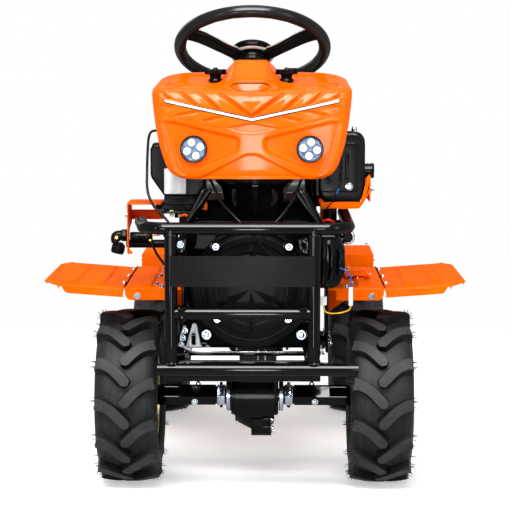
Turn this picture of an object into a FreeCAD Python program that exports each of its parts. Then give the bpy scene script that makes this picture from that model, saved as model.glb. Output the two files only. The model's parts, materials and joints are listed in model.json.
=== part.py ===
"""Small four-wheel-drive tractor that steers by bending in the middle.

Frame: millimetres, +Z up, and the tractor faces -Y. Left and right are the driver's, so
+X is the left-hand side, where the exhaust is. The origin lies on the ground at the middle
of the whole machine's box.
The front half carries the engine, hood, steering wheel and foot plates. The rear half
carries the seat and the hitch. A knuckle between them turns on an upright pin for
steering, and lets the rear half rock about a lengthwise spigot.
"""

import FreeCAD, Part

import math
import os
import re

import Sketcher

Vector = FreeCAD.Vector
Rotation = FreeCAD.Rotation

# --------------------------------------------------------------------------------------
# Driving dimensions: alias -> (millimetres or degrees, what it is)
# --------------------------------------------------------------------------------------
SIZES = {
    "front_axle_y": (-391.5, "front axle, from the origin"),
    "wheelbase": (790, "front axle to rear axle"),
    "pivot_gap": (400, "front axle to the steering pin"),
    "front_track": (585, "between the middles of the front tyres"),
    "rear_track": (540, "between the middles of the rear tyres"),
    # tyres and rims
    "tyre_radius": (203, "ground to axle"),
    "tyre_width": (143, "widest place of the side walls"),
    "tread_width": (126, "across the lug tips"),
    "tyre_wall": (9, "side wall thickness"),
    "crown_wall": (24, "tread and lugs together"),
    "rim_radius": (101.6, "bead seat of an eight inch rim"),
    "rim_width": (120, "over the flanges"),
    "rim_lip": (10, "flange height over the bead seat"),
    "rim_wall": (3, "rim sheet"),
    "disc_wall": (5, "wheel disc"),
    "fit_gap": (0.3, "running and seating gap"),
    # axle sleeves
    "sleeve_flats": (44, "black sleeve, across the flats"),
    "sleeve_start": (92.5, "tractor middle to the sleeve's inner end"),
    "axle_flats": (39, "bright half axle, across the flats"),
    "axle_overlap": (50, "half axle inside the sleeve"),
    "washer_radius": (38, "bright washer beside the gearbox"),
    "washer_wall": (9, "bright washer thickness"),
    "stub_radius": (15, "round end of the half axle in the gearbox"),
    "stub_length": (22, "depth of that round end"),
    "hub_flange_radius": (55, "flange that the wheel disc is bolted to"),
    "hub_flange_wall": (8, "that flange's thickness"),
    # gearboxes on the axles
    "gearbox_half": (46, "middle to the output face"),
    "gearbox_radius": (62, "casting round the axle"),
    "output_radius": (46, "round output flange"),
    "output_wall": (9.5, "its thickness"),
    "sump_radius": (34, "rounded sump"),
    "sump_drop": (63, "axle to the sump's middle"),
    "neck_width": (86, "upright neck, side to side"),
    "neck_depth": (96, "upright neck, front to back"),
    # front chassis
    "chassis_shift": (-19, "middle of the rails from the tractor's middle"),
    "rail_spacing": (302, "between rail middles"),
    "rail_width": (32, "rail tube, side to side"),
    "rail_height": (40, "rail tube, up and down"),
    "rail_wall": (3, "rail tube wall"),
    "rail_front": (286, "front axle forward to the rail end"),
    "cross_wall": (12, "front cross plate thickness"),
    "end_wall": (10, "end plate thickness"),
    "end_plate_gap": (60, "pivot pin forward to the end plate"),
    # pivot
    "lug_wall": (12, "clevis lug thickness"),
    "lug_radius": (34, "clevis lug rounding"),
    "barrel_radius": (28, "knuckle barrel"),
    "barrel_height": (90, "knuckle barrel"),
    "pin_radius": (12, "steering pin"),
    "socket_radius": (32, "rocking socket outside"),
    "spigot_radius": (22, "rocking spigot"),
    "socket_end": (120, "pin back to the socket's rear"),
    "spigot_depth": (80, "spigot inside the socket"),
    # guard
    "guard_shift": (-23, "middle of the uprights"),
    "guard_tube": (14, "tube radius"),
    "upright_spacing": (311, "between uprights"),
    "upper_bar_right": (243, "reach of the upper bar to the right"),
    "upper_bar_left": (209, "reach of the upper bar to the left"),
    "upper_bar_end": (87, "front axle back to the upper bar's ends"),
    "upper_bar_bend": (50, "bend radius of its corners"),
    "middle_bar_radius": (13, "middle bar tube"),
    "lower_bar_right": (209, "reach of the lower bar to the right"),
    "lower_bar_left": (230, "reach of the lower bar to the left"),
    "foot_taper": (42, "tapered foot of an upright"),
    "foot_radius": (8, "its narrow end"),
    "plate_height": (67, "name plate"),
    "plate_width": (315, "name plate"),
    "plate_wall": (3, "name plate"),
    # engine
    "mount_wall": (6, "engine mount sheet"),
    "mount_right": (135, "engine mount reach to the right"),
    "mount_left": (111, "engine mount reach to the left"),
    "mount_front": (212, "front axle forward to the mount's edge"),
    "mount_back": (96, "front axle back to the mount's edge"),
    "leg_width": (26, "mount leg, front to back"),
    "engine_width": (250, "engine block"),
    "engine_front": (170, "front axle forward to the block"),
    "engine_back": (100, "front axle back to the block"),
    "fan_radius": (135, "recoil cover"),
    "fan_cap_radius": (100, "raised middle of the cover"),
    "fan_front": (250, "front axle forward to the cover's rim"),
    "fan_cap": (9, "raised middle"),
    "shroud_width": (294, "fan shroud"),
    "shroud_front": (238, "front axle forward to the shroud"),
    "shroud_corner": (48, "corner radius"),
    "cowl_reach": (206, "cylinder cowl reach to the left"),
    "cowl_corner": (24, "corner radius"),
    "cleaner_y": (-100, "air cleaner from the front axle"),
    "cleaner_radius": (93, "air cleaner drum"),
    "cleaner_neck": (66, "air cleaner's narrow end"),
    # exhaust
    "muffler_front": (-120, "muffler guard's front from the front axle"),
    "muffler_right": (145, "muffler guard's inner side"),
    "muffler_width": (106, "muffler guard"),
    "muffler_height": (160, "guard"),
    "muffler_depth": (92, "guard and muffler together"),
    "guard_cup": (30, "depth of the pressed guard"),
    "guard_sheet": (2, "guard sheet"),
    "muffler_corner": (20, "corner radius"),
    "bracket_lip": (16, "front lip of the muffler bracket"),
    "bracket_side_height": (64, "outer wall of the muffler bracket"),
    "tail_radius": (13, "tail pipe"),
    "tail_reach": (274, "tail pipe's end from the middle"),
    "exhaust_pipe": (16, "pipe radius from the cylinder"),
    # battery box
    "box_left": (111.5, "box's inner side, right of the middle"),
    "box_width": (129, "battery box"),
    "box_height": (152, "battery box"),
    "box_front": (-130, "box's front from the front axle"),
    "box_depth": (100, "battery box"),
    "box_corner": (14, "corner radius"),
    # column support
    "post_y": (128, "posts' middle behind the front axle"),
    "post_width": (28, "square post"),
    "tray_wall": (4, "tray sheet"),
    "tray_front": (180, "front axle forward to the tray's edge"),
    "tray_width": (190, "tray"),
    "shelf_wall": (4, "side shelf under box and muffler"),
    "shelf_inset": (25, "battery box beyond its shelf"),
    "wedge_half": (40, "half length of the column's wedge block"),
    # hood
    "hood_shift": (-4, "hood's middle"),
    "hood_front": (220, "front axle forward to the hood's face"),
    "hood_back": (60, "front axle back to the hood's rear"),
    "hood_half": (220, "half width at the top"),
    "hood_foot_half": (164, "half width of the bottom edge"),
    "hood_top_slope": (0.1269, "rise of the hood's top per length"),
    "hood_wall": (3, "hood sheet"),
    "hump_half": (66, "half width of the hump's foot"),
    "hump_top_half": (40, "half width of the hump's top"),
    "hump_front": (34, "front axle forward to the hump"),
    "lamp_spread": (128.5, "hood's middle to a headlight"),
    "lamp_radius": (30, "headlight"),
    "lamp_depth": (32, "headlight body"),
    "lamp_proud": (2, "headlight in front of the face"),
    "knob_spread": (81, "column's middle to a knob"),
    "knob_radius": (25, "star knob"),
    "knob_height": (13, "star knob"),
    "knob_stem": (9, "stem radius"),
    "knob_stud": (4, "stud radius"),
    "knob_y": (-64, "knobs from the front axle"),
    "tank_height": (100, "fuel tank"),
    "tank_width": (270, "fuel tank"),
    "tank_front": (172, "front axle forward to the tank"),
    "tank_back": (36, "front axle forward to the tank's rear"),
    # steering
    "column_shift": (-8, "steering wheel's middle"),
    "wheel_y": (150, "steering wheel behind the front axle"),
    "column_tilt": (29, "degrees from upright"),
    "wheel_radius": (177.5, "steering wheel, to the rim's middle"),
    "wheel_rim": (14.5, "rim section"),
    "spoke_angle": (52, "degrees from straight ahead to a front spoke"),
    "spoke_width": (34, "spoke"),
    "spoke_wall": (12, "spoke"),
    "hub_radius": (38, "steering wheel cap"),
    "hub_height": (14, "cap over the spokes"),
    "boss_radius": (30, "boss under the spokes"),
    "boss_height": (34, "boss under the spokes"),
    "shaft_radius": (10, "steering shaft"),
    "shaft_length": (130, "shaft below the boss"),
    "jacket_radius": (22, "column jacket"),
    "jacket_length": (170, "column jacket"),
    "jacket_flange_wall": (8, "flange under the jacket"),
    "jacket_flange_radius": (44, "flange under the jacket"),
    "link_radius": (13, "sloping shaft to the steering box"),
    "link_start": (44, "front axle back to that shaft's upper end"),
    "steering_box_width": (90, "steering box"),
    "steering_box_depth": (90, "steering box"),
    "steering_box_height": (75, "steering box"),
    # transmission
    "case_width": (180, "gear case"),
    "drive_radius": (15, "drive shaft"),
    "yoke_radius": (22, "drive shaft yoke"),
    "yoke_gap": (16, "steering pin to a yoke's face"),
    # foot plates
    "foot_front": (100, "front axle forward to a foot plate"),
    "foot_back": (286, "front axle back to a foot plate"),
    "foot_inner": (298, "middle to the outer plate's inner edge"),
    "foot_reach": (490, "middle to the outer edge"),
    "foot_chamfer": (42, "cut corners"),
    "foot_wall": (3, "plate sheet"),
    "foot_tilt": (4.2, "outer plate's rise, degrees"),
    "foot_flange": (12, "outer plate's edge flange"),
    "foot_rib": (5, "rib height"),
    "foot_rib_width": (22, "rib width"),
    "bracket_inner": (186, "middle to the inner plate's edge"),
    "bracket_flange": (28, "inner plate's edge flange"),
    "bracket_leg": (6, "upright leg sheet"),
    # lever console
    "console_reach": (298, "middle to the console's outer side"),
    "console_width": (80, "console"),
    "console_height": (121, "console"),
    "console_depth": (110, "console"),
    "console_wall": (3, "console sheet"),
    "handle_radius": (13, "lever grip"),
    "handle_reach": (344, "middle to the grip's end"),
    "lever_radius": (7, "gear lever"),
    "lever_length": (230, "gear lever"),
    "ball_radius": (17, "gear lever knob"),
    "pedal_width": (70, "brake pedal"),
    "pedal_length": (62, "brake pedal"),
    "pedal_rise": (62, "pedal over the foot plate"),
    # rear half
    "spine_width": (60, "spine tube"),
    "spine_height": (60, "spine tube"),
    "spine_wall": (4, "spine tube"),
    "spine_back": (190, "rear axle back to the spine's end"),
    "deck_width": (310, "seat deck"),
    "deck_front": (500, "front axle back to the deck"),
    "deck_back": (985, "front axle back to the deck's rear"),
    "deck_wall": (4, "deck sheet"),
    "deck_leg": (40, "deck leg tube"),
    "fender_reach": (305, "middle to a fender's outer side"),
    "fender_front": (500, "front axle back to the fenders"),
    "fender_knee": (720, "front axle back to the fenders' bend"),
    "fender_tail": (985, "front axle back to the fenders' end"),
    "fender_drop": (40, "fall of the fenders' tail"),
    "fender_skirt": (46, "fender side height"),
    "fender_wall": (3, "fender sheet"),
    "seat_width": (400, "seat"),
    "seat_front": (640, "front axle back to the cushion"),
    "seat_length": (370, "cushion"),
    "cushion_wall": (75, "cushion"),
    "back_wall": (70, "backrest"),
    "back_lean": (8, "backrest's lean, degrees"),
    "hitch_reach": (110, "spine's end to the hitch end"),
    "hitch_width": (60, "hitch tongues"),
    "hitch_wall": (10, "hitch tongue"),
    "hitch_gap": (34, "between the tongues"),
    "hitch_bore": (10.5, "hitch pin bore radius"),
    "hitch_edge": (22, "tongue end to the bore"),
    # cables
    "lamp_lead_diameter": (6, "lamp leads"),
    "side_cable_diameter": (6, "battery cable"),
    "wire_diameter": (3, "thin wires"),
    "plug_width": (10, "wire plug, each way"),
    "plug_length": (42, "wire plug"),
}

# Heights over the axles: alias -> (millimetres, what is that high)
HEIGHTS = {
    "rail_bottom": (87, "the rail"),
    "pivot_height": (122, "the knuckle's middle"),
    "upper_bar_height": (426, "the upper bar"),
    "middle_bar_height": (240, "the middle bar"),
    "lower_bar_height": (116, "the lower bar"),
    "plate_bottom": (301, "the guard's name plate"),
    "mount_height": (155, "the engine mount's top plate"),
    "engine_top": (415, "the block's top"),
    "fan_height": (289, "the crankshaft"),
    "shroud_top": (437, "the shroud's top"),
    "shroud_bottom": (171, "the shroud's bottom"),
    "cowl_bottom": (274, "the cylinder cowl"),
    "cowl_top": (397, "its top"),
    "cleaner_top": (597, "its top"),
    "cleaner_cone": (501, "the cone's top"),
    "cleaner_foot": (437, "the cone's bottom"),
    "muffler_bottom": (468, "the guard"),
    "tail_height": (538, "the tail pipe"),
    "box_bottom": (447, "the box"),
    "tray_height": (603, "the tray"),
    "hood_bottom": (526, "the hood"),
    "hood_shoulder": (702, "the face's top"),
    "hood_crown": (755, "the top's rear"),
    "hump_top": (787, "the hump's top"),
    "lamp_height": (593, "the headlights"),
    "wheel_height": (818, "the steering wheel's middle"),
    "case_bottom": (95, "the gear case"),
    "case_top": (263, "the top"),
    "drive_height": (22, "the rear drive shaft"),
    "foot_height": (267, "the plates"),
    "console_bottom": (335, "the console"),
    "handle_height": (357, "the grip"),
    "deck_top": (259, "the deck"),
    "fender_top": (275, "the fenders"),
    "seat_height": (397, "the cushion"),
    "back_top": (712, "the backrest's top"),
}

doc = FreeCAD.newDocument("mini_tractor")
sheet = doc.addObject("Spreadsheet::Sheet", "Dims")
for row, (alias, (size, note)) in enumerate([*SIZES.items(), *HEIGHTS.items()], start=1):
    sheet.set(f"A{row}", note)
    sheet.set(f"B{row}", str(size))
    sheet.setAlias(f"B{row}", alias)
doc.recompute()

PARTS = []


# --------------------------------------------------------------------------------------
# Building helpers
# --------------------------------------------------------------------------------------
def cells(text):
    """Turn the sizes' names in an expression into cells of the sheet."""
    return re.sub(r"[a-z_]+", lambda word: named_cell(word.group()), str(text))


def named_cell(word):
    """The cell of a size; a height is measured from the ground here."""
    if word in HEIGHTS:
        return f"(Dims.tyre_radius+Dims.{word})"
    return "Dims." + word if word in SIZES else word


def bind(thing, **sizes):
    """Bind properties of an object to expressions on the sheet."""
    for path, text in sizes.items():
        thing.setExpression(path, cells(text))
    return thing


def place(thing, x="0", y="0", z="0"):
    for axis, text in zip("xyz", (x, y, z)):
        thing.setExpression(f"Placement.Base.{axis}", cells(text))
    return thing


def part(thing, label):
    """Give a finished sub-part its name, which is also its file's name."""
    thing.Label = label
    PARTS.append(thing)
    return thing


def add(kind, name):
    return doc.addObject(kind, name)


def box(name, width, depth, height, x="0", y="0", z="0"):
    """A box whose least corner is at x, y, z."""
    block = bind(add("Part::Box", name), Length=width, Width=depth, Height=height)
    return place(block, x, y, z)


AXES = {
    "x": Rotation(Vector(0, 1, 0), 90),
    "y": Rotation(Vector(1, 0, 0), -90),
    "z": Rotation(),
}


def rod(name, radius, length, axis="z", x="0", y="0", z="0"):
    """A cylinder that starts at x, y, z and runs along +axis."""
    bar = bind(add("Part::Cylinder", name), Radius=radius, Height=length)
    bar.Placement = FreeCAD.Placement(Vector(), AXES[axis])
    return place(bar, x, y, z)


def cone(name, start, end, length, axis="z", x="0", y="0", z="0"):
    taper = bind(add("Part::Cone", name), Radius1=start, Radius2=end, Height=length)
    taper.Placement = FreeCAD.Placement(Vector(), AXES[axis])
    return place(taper, x, y, z)


def hexagon(name, flats, length, x="0", y="0", z="0"):
    """A hexagonal bar along +X with a flat on top."""
    bar = bind(add("Part::Prism", name), Circumradius=f"({flats})/sqrt(3)", Height=length)
    bar.Polygon = 6
    turn = AXES["x"].multiply(Rotation(Vector(0, 0, 1), 30))
    bar.Placement = FreeCAD.Placement(Vector(), turn)
    return place(bar, x, y, z)


def fuse(name, *shapes):
    joined = add("Part::MultiFuse", name)
    joined.Shapes = list(shapes)
    joined.Refine = True
    return joined


def cut(name, base, *tools):
    for number, tool in enumerate(tools):
        result = add("Part::Cut", f"{name}_{number}")
        result.Base = base
        result.Tool = tool
        result.Refine = True
        base = result
    return base


def common(name, *shapes):
    shared = add("Part::MultiCommon", name)
    shared.Shapes = list(shapes)
    return shared


def group(name, *shapes):
    """Separate solids that share one node."""
    bunch = add("Part::Compound", name)
    bunch.Links = list(shapes)
    return bunch


def rounded(name, base, radius, along):
    """Round the edges of a box-like shape that run along one axis."""
    doc.recompute()
    chosen = [
        number
        for number, edge in enumerate(base.Shape.Edges, start=1)
        if runs_along(edge, along)
    ]
    size = sheet.get(radius)
    fillet = add("Part::Fillet", name)
    fillet.Base = base
    fillet.Edges = [(number, size, size) for number in chosen]
    return fillet


def runs_along(edge, along):
    if len(edge.Vertexes) != 2:
        return False
    run = edge.Vertexes[1].Point - edge.Vertexes[0].Point
    return run.Length > 1e-6 and abs(abs(run.normalize().dot(along)) - 1) < 1e-6


def origin_plane(body, role):
    return next(item for item in body.Origin.OriginFeatures if item.Role == role)


def new_body(name):
    return add("PartDesign::Body", name)


def sketch_on(body, name, role, lift=None):
    """A sketch on one of its own body's origin planes, lifted along the plane's normal."""
    drawing = body.newObject("Sketcher::SketchObject", name)
    drawing.AttachmentSupport = [(origin_plane(body, role), "")]
    drawing.MapMode = "FlatFace"
    if lift is not None:
        drawing.setExpression("AttachmentOffset.Base.z", cells(lift))
    return drawing


def free_sketch(name, turn):
    """A sketch outside any body, turned by a rotation."""
    drawing = add("Sketcher::SketchObject", name)
    drawing.Placement = FreeCAD.Placement(Vector(), turn)
    return drawing


FRONT_VIEW = Rotation(Vector(1, 0, 0), 90)
SIDE_VIEW = Rotation(Vector(0, 0, 1), 90).multiply(Rotation(Vector(1, 0, 0), 90))


def bind_point(drawing, geometry, position, start, point):
    """Tie one point of a sketch to a pair of expressions."""
    for kind, text, guess in (
        ("DistanceX", point[0], start.x),
        ("DistanceY", point[1], start.y),
    ):
        limit = Sketcher.Constraint(kind, -1, 1, geometry, position, guess)
        number = drawing.addConstraint(limit)
        drawing.setExpression(f"Constraints[{number}]", cells(text))


def outline(drawing, points):
    """Draw a closed outline, each corner a pair of expressions."""
    count = len(points)
    first = drawing.GeometryCount
    ring = [
        Vector(100 * math.cos(math.tau * step / count), 100 * math.sin(math.tau * step / count), 0)
        for step in range(count)
    ]
    lines = [Part.LineSegment(ring[step], ring[(step + 1) % count]) for step in range(count)]
    drawing.addGeometry(lines)
    for step in range(count):
        joint = Sketcher.Constraint(
            "Coincident", first + step, 2, first + (step + 1) % count, 1
        )
        drawing.addConstraint(joint)
    for step, point in enumerate(points):
        bind_point(drawing, first + step, 1, ring[step], point)
    return drawing


def circle(drawing, x, y, radius):
    number = drawing.addGeometry(Part.Circle(Vector(1, 1, 0), Vector(0, 0, 1), 5))
    bind_point(drawing, number, 3, Vector(1, 1, 0), (x, y))
    size = drawing.addConstraint(Sketcher.Constraint("Radius", number, 5))
    drawing.setExpression(f"Constraints[{size}]", cells(radius))
    return drawing


def bent_path(drawing, points, radius):
    """Draw straight runs joined by tangent arcs of one radius."""
    corners = []
    for step, point in enumerate(points):
        guess = Vector(10 * step, 7 * step * step, 0)
        corner = drawing.addGeometry(Part.Point(guess), True)
        bind_point(drawing, corner, 1, guess, point)
        corners.append(corner)
    doc.recompute()
    spots = [Vector(drawing.getPoint(corner, 1)) for corner in corners]
    bend = sheet.get(radius)
    runs, arcs = [], []
    ends = [spots[0]]
    for before, here, after in zip(spots, spots[1:], spots[2:]):
        back = (before - here).normalize()
        ahead = (after - here).normalize()
        half = back.getAngle(ahead) / 2
        reach = bend / math.tan(half)
        middle = here + (back + ahead).normalize() * (bend / math.sin(half))
        nearest = middle - (back + ahead).normalize() * bend
        arcs.append((here + back * reach, nearest, here + ahead * reach))
        ends += [here + back * reach, here + ahead * reach]
    ends.append(spots[-1])
    for start, end in zip(ends[0::2], ends[1::2]):
        runs.append(drawing.addGeometry(Part.LineSegment(start, end)))
    for number, (start, middle, end) in enumerate(arcs):
        arc = drawing.addGeometry(Part.Arc(start, middle, end))
        first_end = 1 if (Vector(drawing.getPoint(arc, 1)) - start).Length < 1e-4 else 2
        join_tangent(drawing, runs[number], 2, arc, first_end)
        join_tangent(drawing, arc, 3 - first_end, runs[number + 1], 1)
        size = drawing.addConstraint(Sketcher.Constraint("Radius", arc, bend))
        drawing.setExpression(f"Constraints[{size}]", cells(radius))
        for run in (runs[number], runs[number + 1]):
            drawing.addConstraint(
                Sketcher.Constraint("PointOnObject", corners[number + 1], 1, run)
            )
    drawing.addConstraint(Sketcher.Constraint("Coincident", corners[0], 1, runs[0], 1))
    drawing.addConstraint(Sketcher.Constraint("Coincident", corners[-1], 1, runs[-1], 2))
    return drawing


def join_tangent(drawing, first, first_end, second, second_end):
    drawing.addConstraint(Sketcher.Constraint("Tangent", first, first_end, second, second_end))


def extrude(name, drawing, length, start=None):
    """Extrude a free sketch along its normal."""
    block = add("Part::Extrusion", name)
    block.Base = drawing
    block.DirMode = "Normal"
    block.Solid = True
    block.setExpression("LengthFwd", cells(length))
    if start is not None:
        block.setExpression("LengthRev", cells(f"-({start})"))
    return block


def pad(body, name, drawing, length, middle=False, flip=False):
    block = body.newObject("PartDesign::Pad", name)
    block.Profile = drawing
    block.setExpression("Length", cells(length))
    block.Midplane = middle
    block.Reversed = flip
    return block


# --------------------------------------------------------------------------------------
# Wheels
# --------------------------------------------------------------------------------------
def wheel(corner, side, track, axle_y):
    """Tyre, rim and hexagonal sleeve with its half axle; side is +1 or -1."""
    middle = f"{side}*{track}/2"
    tyre(corner, middle, axle_y)
    rim(corner, middle, axle_y)
    sleeve(corner, side, middle, axle_y)


def turned(corner, name, points, middle, axle_y):
    """A body of revolution about a wheel's axle; points are (across, radius)."""
    body = new_body(f"{name}_{corner}_body")
    drawing = sketch_on(body, f"{name}_{corner}_section", "XZ_Plane")
    outline(drawing, points)
    turn = body.newObject("PartDesign::Revolution", f"{name}_{corner}_turn")
    turn.Profile = drawing
    turn.ReferenceAxis = (drawing, ["H_Axis"])
    turn.Angle = 360
    place(body, middle, axle_y, "tyre_radius")
    return body


def tyre(corner, middle, axle_y):
    bead = "(rim_width/2-rim_wall-fit_gap)"
    seat = "(rim_radius+fit_gap)"
    half = [
        (bead, seat),
        (bead, "rim_radius+rim_lip+2"),
        ("tyre_width/2", "rim_radius+0.45*(tyre_radius-rim_radius)"),
        ("tyre_width/2", "rim_radius+0.72*(tyre_radius-rim_radius)"),
        ("tread_width/2", "tyre_radius-7"),
        ("tread_width/2-14", "tyre_radius"),
    ]
    hollow = [
        ("tread_width/2-16", "tyre_radius-crown_wall"),
        ("tyre_width/2-tyre_wall", "rim_radius+0.66*(tyre_radius-rim_radius)"),
        ("tyre_width/2-tyre_wall", "rim_radius+0.45*(tyre_radius-rim_radius)"),
        (f"{bead}-tyre_wall", "rim_radius+rim_lip+4"),
        (f"{bead}-tyre_wall-3", seat),
    ]
    outside = half + [(f"-({x})", radius) for x, radius in reversed(half)]
    inside = [(f"-({x})", radius) for x, radius in reversed(hollow)] + hollow
    part(turned(corner, "tyre", outside + inside, middle, axle_y), f"tyre_{corner}")


def rim(corner, middle, axle_y):
    edge = "rim_width/2"
    band = "rim_radius-rim_wall"
    half = [
        ("disc_wall/2", "sleeve_flats/2"),
        ("disc_wall/2", band),
        (edge, band),
        (edge, "rim_radius+rim_lip"),
        (f"{edge}-rim_wall", "rim_radius+rim_lip"),
        (f"{edge}-rim_wall", "rim_radius"),
    ]
    points = half + [(f"-({x})", radius) for x, radius in reversed(half)]
    part(turned(corner, "rim", points, middle, axle_y), f"rim_{corner}")


def sleeve(corner, side, middle, axle_y):
    """Black hexagonal sleeve with its flange, and the bright half axle inside it."""
    height = "tyre_radius"
    disc_face = f"abs({middle})-disc_wall/2"
    flange_start = f"{disc_face}-hub_flange_wall"
    bar = hexagon(f"sleeve_{corner}_bar", "sleeve_flats", f"{disc_face}-sleeve_start")
    bore = hexagon(f"sleeve_{corner}_bore", "axle_flats", "axle_overlap")
    flange = rod(f"sleeve_{corner}_flange", "hub_flange_radius", "hub_flange_wall", "x")
    axle = hexagon(
        f"half_axle_{corner}_bar",
        "axle_flats",
        "sleeve_start+axle_overlap-gearbox_half-output_wall-1-washer_wall",
    )
    washer = rod(f"half_axle_{corner}_washer", "washer_radius", "washer_wall", "x")
    stub = rod(f"half_axle_{corner}_stub", "stub_radius", "stub_length+1", "x")
    starts = {
        bar: "sleeve_start",
        bore: "sleeve_start",
        flange: flange_start,
        axle: "gearbox_half+output_wall+1+washer_wall",
        washer: "gearbox_half+output_wall+1",
        stub: "gearbox_half+output_wall-stub_length",
    }
    lengths = {
        bar: f"({disc_face}-sleeve_start)",
        bore: "axle_overlap",
        flange: "hub_flange_wall",
        axle: "(sleeve_start+axle_overlap-gearbox_half-output_wall-1-washer_wall)",
        washer: "washer_wall",
        stub: "(stub_length+1)",
    }
    for piece, start in starts.items():
        right_end = start if side > 0 else f"-({start})-{lengths[piece]}"
        place(piece, right_end, axle_y, height)
    shell = cut(f"sleeve_{corner}_shell", fuse(f"sleeve_{corner}_outside", bar, flange), bore)
    whole = fuse(f"axle_{corner}_whole", shell, axle, washer, stub)
    part(whole, f"axle_{corner}")


def make_wheels():
    front = "front_axle_y"
    rear = "front_axle_y+wheelbase"
    wheel("front_right", -1, "front_track", front)
    wheel("front_left", 1, "front_track", front)
    wheel("rear_right", -1, "rear_track", rear)
    wheel("rear_left", 1, "rear_track", rear)


# --------------------------------------------------------------------------------------
# Axle gearboxes
# --------------------------------------------------------------------------------------
def gearbox(end, axle_y, top):
    """Casting that carries two half axles, with a neck up to the frame."""
    height = "tyre_radius"
    drum = rod(f"{end}_drum", "gearbox_radius", "2*gearbox_half", "x",
               "-gearbox_half", axle_y, height)
    outputs = rod(f"{end}_outputs", "output_radius", "2*(gearbox_half+output_wall)", "x",
                  "-gearbox_half-output_wall", axle_y, height)
    neck = box(f"{end}_neck", "neck_width", "neck_depth", f"{top}-tyre_radius",
               "-neck_width/2+8", f"{axle_y}-neck_depth/2", height)
    sump = rod(f"{end}_sump", "sump_radius", "0.55*neck_width", "x",
               "-0.1*neck_width", axle_y, f"{height}-sump_drop")
    web = box(f"{end}_web", "0.55*neck_width", "2*sump_radius", "sump_drop",
              "-0.1*neck_width", f"{axle_y}-sump_radius", f"{height}-sump_drop")
    casting = fuse(f"{end}_casting", drum, outputs, neck, sump, web)
    bores = [
        rod(f"{end}_bore_{name}", "stub_radius+fit_gap", "stub_length+fit_gap+1", "x",
            start, axle_y, height)
        for name, start in (
            ("left", "gearbox_half+output_wall-stub_length-fit_gap"),
            ("right", "-gearbox_half-output_wall-1"),
        )
    ]
    return cut(f"{end}_gearbox_bored", casting, *bores)


def make_front_gearbox():
    body = gearbox("front", "front_axle_y", "mount_height")
    shaft = rod("front_drive_tube", "yoke_radius", "engine_back-neck_depth/2+fit_gap", "y",
                "0", "front_axle_y+neck_depth/2-fit_gap", "case_bottom+26")
    part(fuse("front_gearbox_whole", body, shaft), "front_gearbox")


def make_rear_gearbox():
    axle_y = "front_axle_y+wheelbase"
    body = gearbox("rear", axle_y, "pivot_height-spine_height/2")
    front_end = "front_axle_y+pivot_gap+yoke_gap"
    shaft = rod("rear_drive_shaft", "drive_radius",
                "wheelbase-pivot_gap-yoke_gap-neck_depth/2+1", "y",
                "0", front_end, "drive_height")
    yoke = rod("rear_drive_yoke", "yoke_radius", "26", "y", "0", front_end, "drive_height")
    part(fuse("rear_gearbox_whole", body, shaft, yoke), "rear_gearbox")


# --------------------------------------------------------------------------------------
# Front chassis and pivot
# --------------------------------------------------------------------------------------
def rail_x(side):
    return f"(chassis_shift+{side}*rail_spacing/2)"


def square_tube(name, width, depth, height, wall, along, x, y, z):
    """A hollow box tube open at both ends."""
    outside = box(f"{name}_outside", width, depth, height, x, y, z)
    inner = {"x": width, "y": depth, "z": height}
    for axis, size in inner.items():
        inner[axis] = size if axis == along else f"({size})-2*{wall}"
    shift = {axis: "0" if axis == along else wall for axis in "xyz"}
    inside = box(f"{name}_inside", inner["x"], inner["y"], inner["z"],
                 f"{x}+{shift['x']}", f"{y}+{shift['y']}", f"{z}+{shift['z']}")
    return cut(name, outside, inside)


END_PLATE_Y = "(front_axle_y+pivot_gap-end_plate_gap)"
LUG_TOP = "(pivot_height+barrel_height/2+1)"
LUG_BOTTOM = "(pivot_height-barrel_height/2-1-lug_wall)"


def make_front_chassis():
    """Two rails, a cross plate at the front, and an end plate with the pivot's clevis."""
    pieces = []
    rail_length = "rail_front+pivot_gap-end_plate_gap-end_wall"
    for name, side in (("right", -1), ("left", 1)):
        pieces.append(square_tube(
            f"rail_{name}", "rail_width", rail_length, "rail_height", "rail_wall", "y",
            f"{rail_x(side)}-rail_width/2", "front_axle_y-rail_front", "rail_bottom"))
    span = "(rail_spacing+rail_width)"
    right = f"{rail_x(-1)}-rail_width/2"
    pieces.append(box("front_cross_plate", span, "cross_wall", "rail_height+6",
                      right, "front_axle_y-rail_front", "rail_bottom"))
    pieces.append(box("end_plate", span, "end_wall", f"{LUG_TOP}+lug_wall-{LUG_BOTTOM}",
                      right, f"{END_PLATE_Y}-end_wall", LUG_BOTTOM))
    for name, height in (("upper", LUG_TOP), ("lower", LUG_BOTTOM)):
        pieces.append(box(f"lug_{name}_web", "2*lug_radius", "end_plate_gap", "lug_wall",
                          "-lug_radius", END_PLATE_Y, height))
        pieces.append(rod(f"lug_{name}_eye", "lug_radius", "lug_wall", "z",
                          "0", "front_axle_y+pivot_gap", height))
    pieces.append(rod("steering_pin", "pin_radius", f"{LUG_TOP}+lug_wall-{LUG_BOTTOM}", "z",
                      "0", "front_axle_y+pivot_gap", LUG_BOTTOM))
    frame = fuse("front_chassis_joined", *pieces)
    clearance = rod("lower_bar_cope", "guard_tube", "lower_bar_right+lower_bar_left", "x",
                    "-lower_bar_right", "front_axle_y-rail_front-guard_tube", "lower_bar_height")
    part(cut("front_chassis_coped", frame, clearance), "front_chassis")


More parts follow.
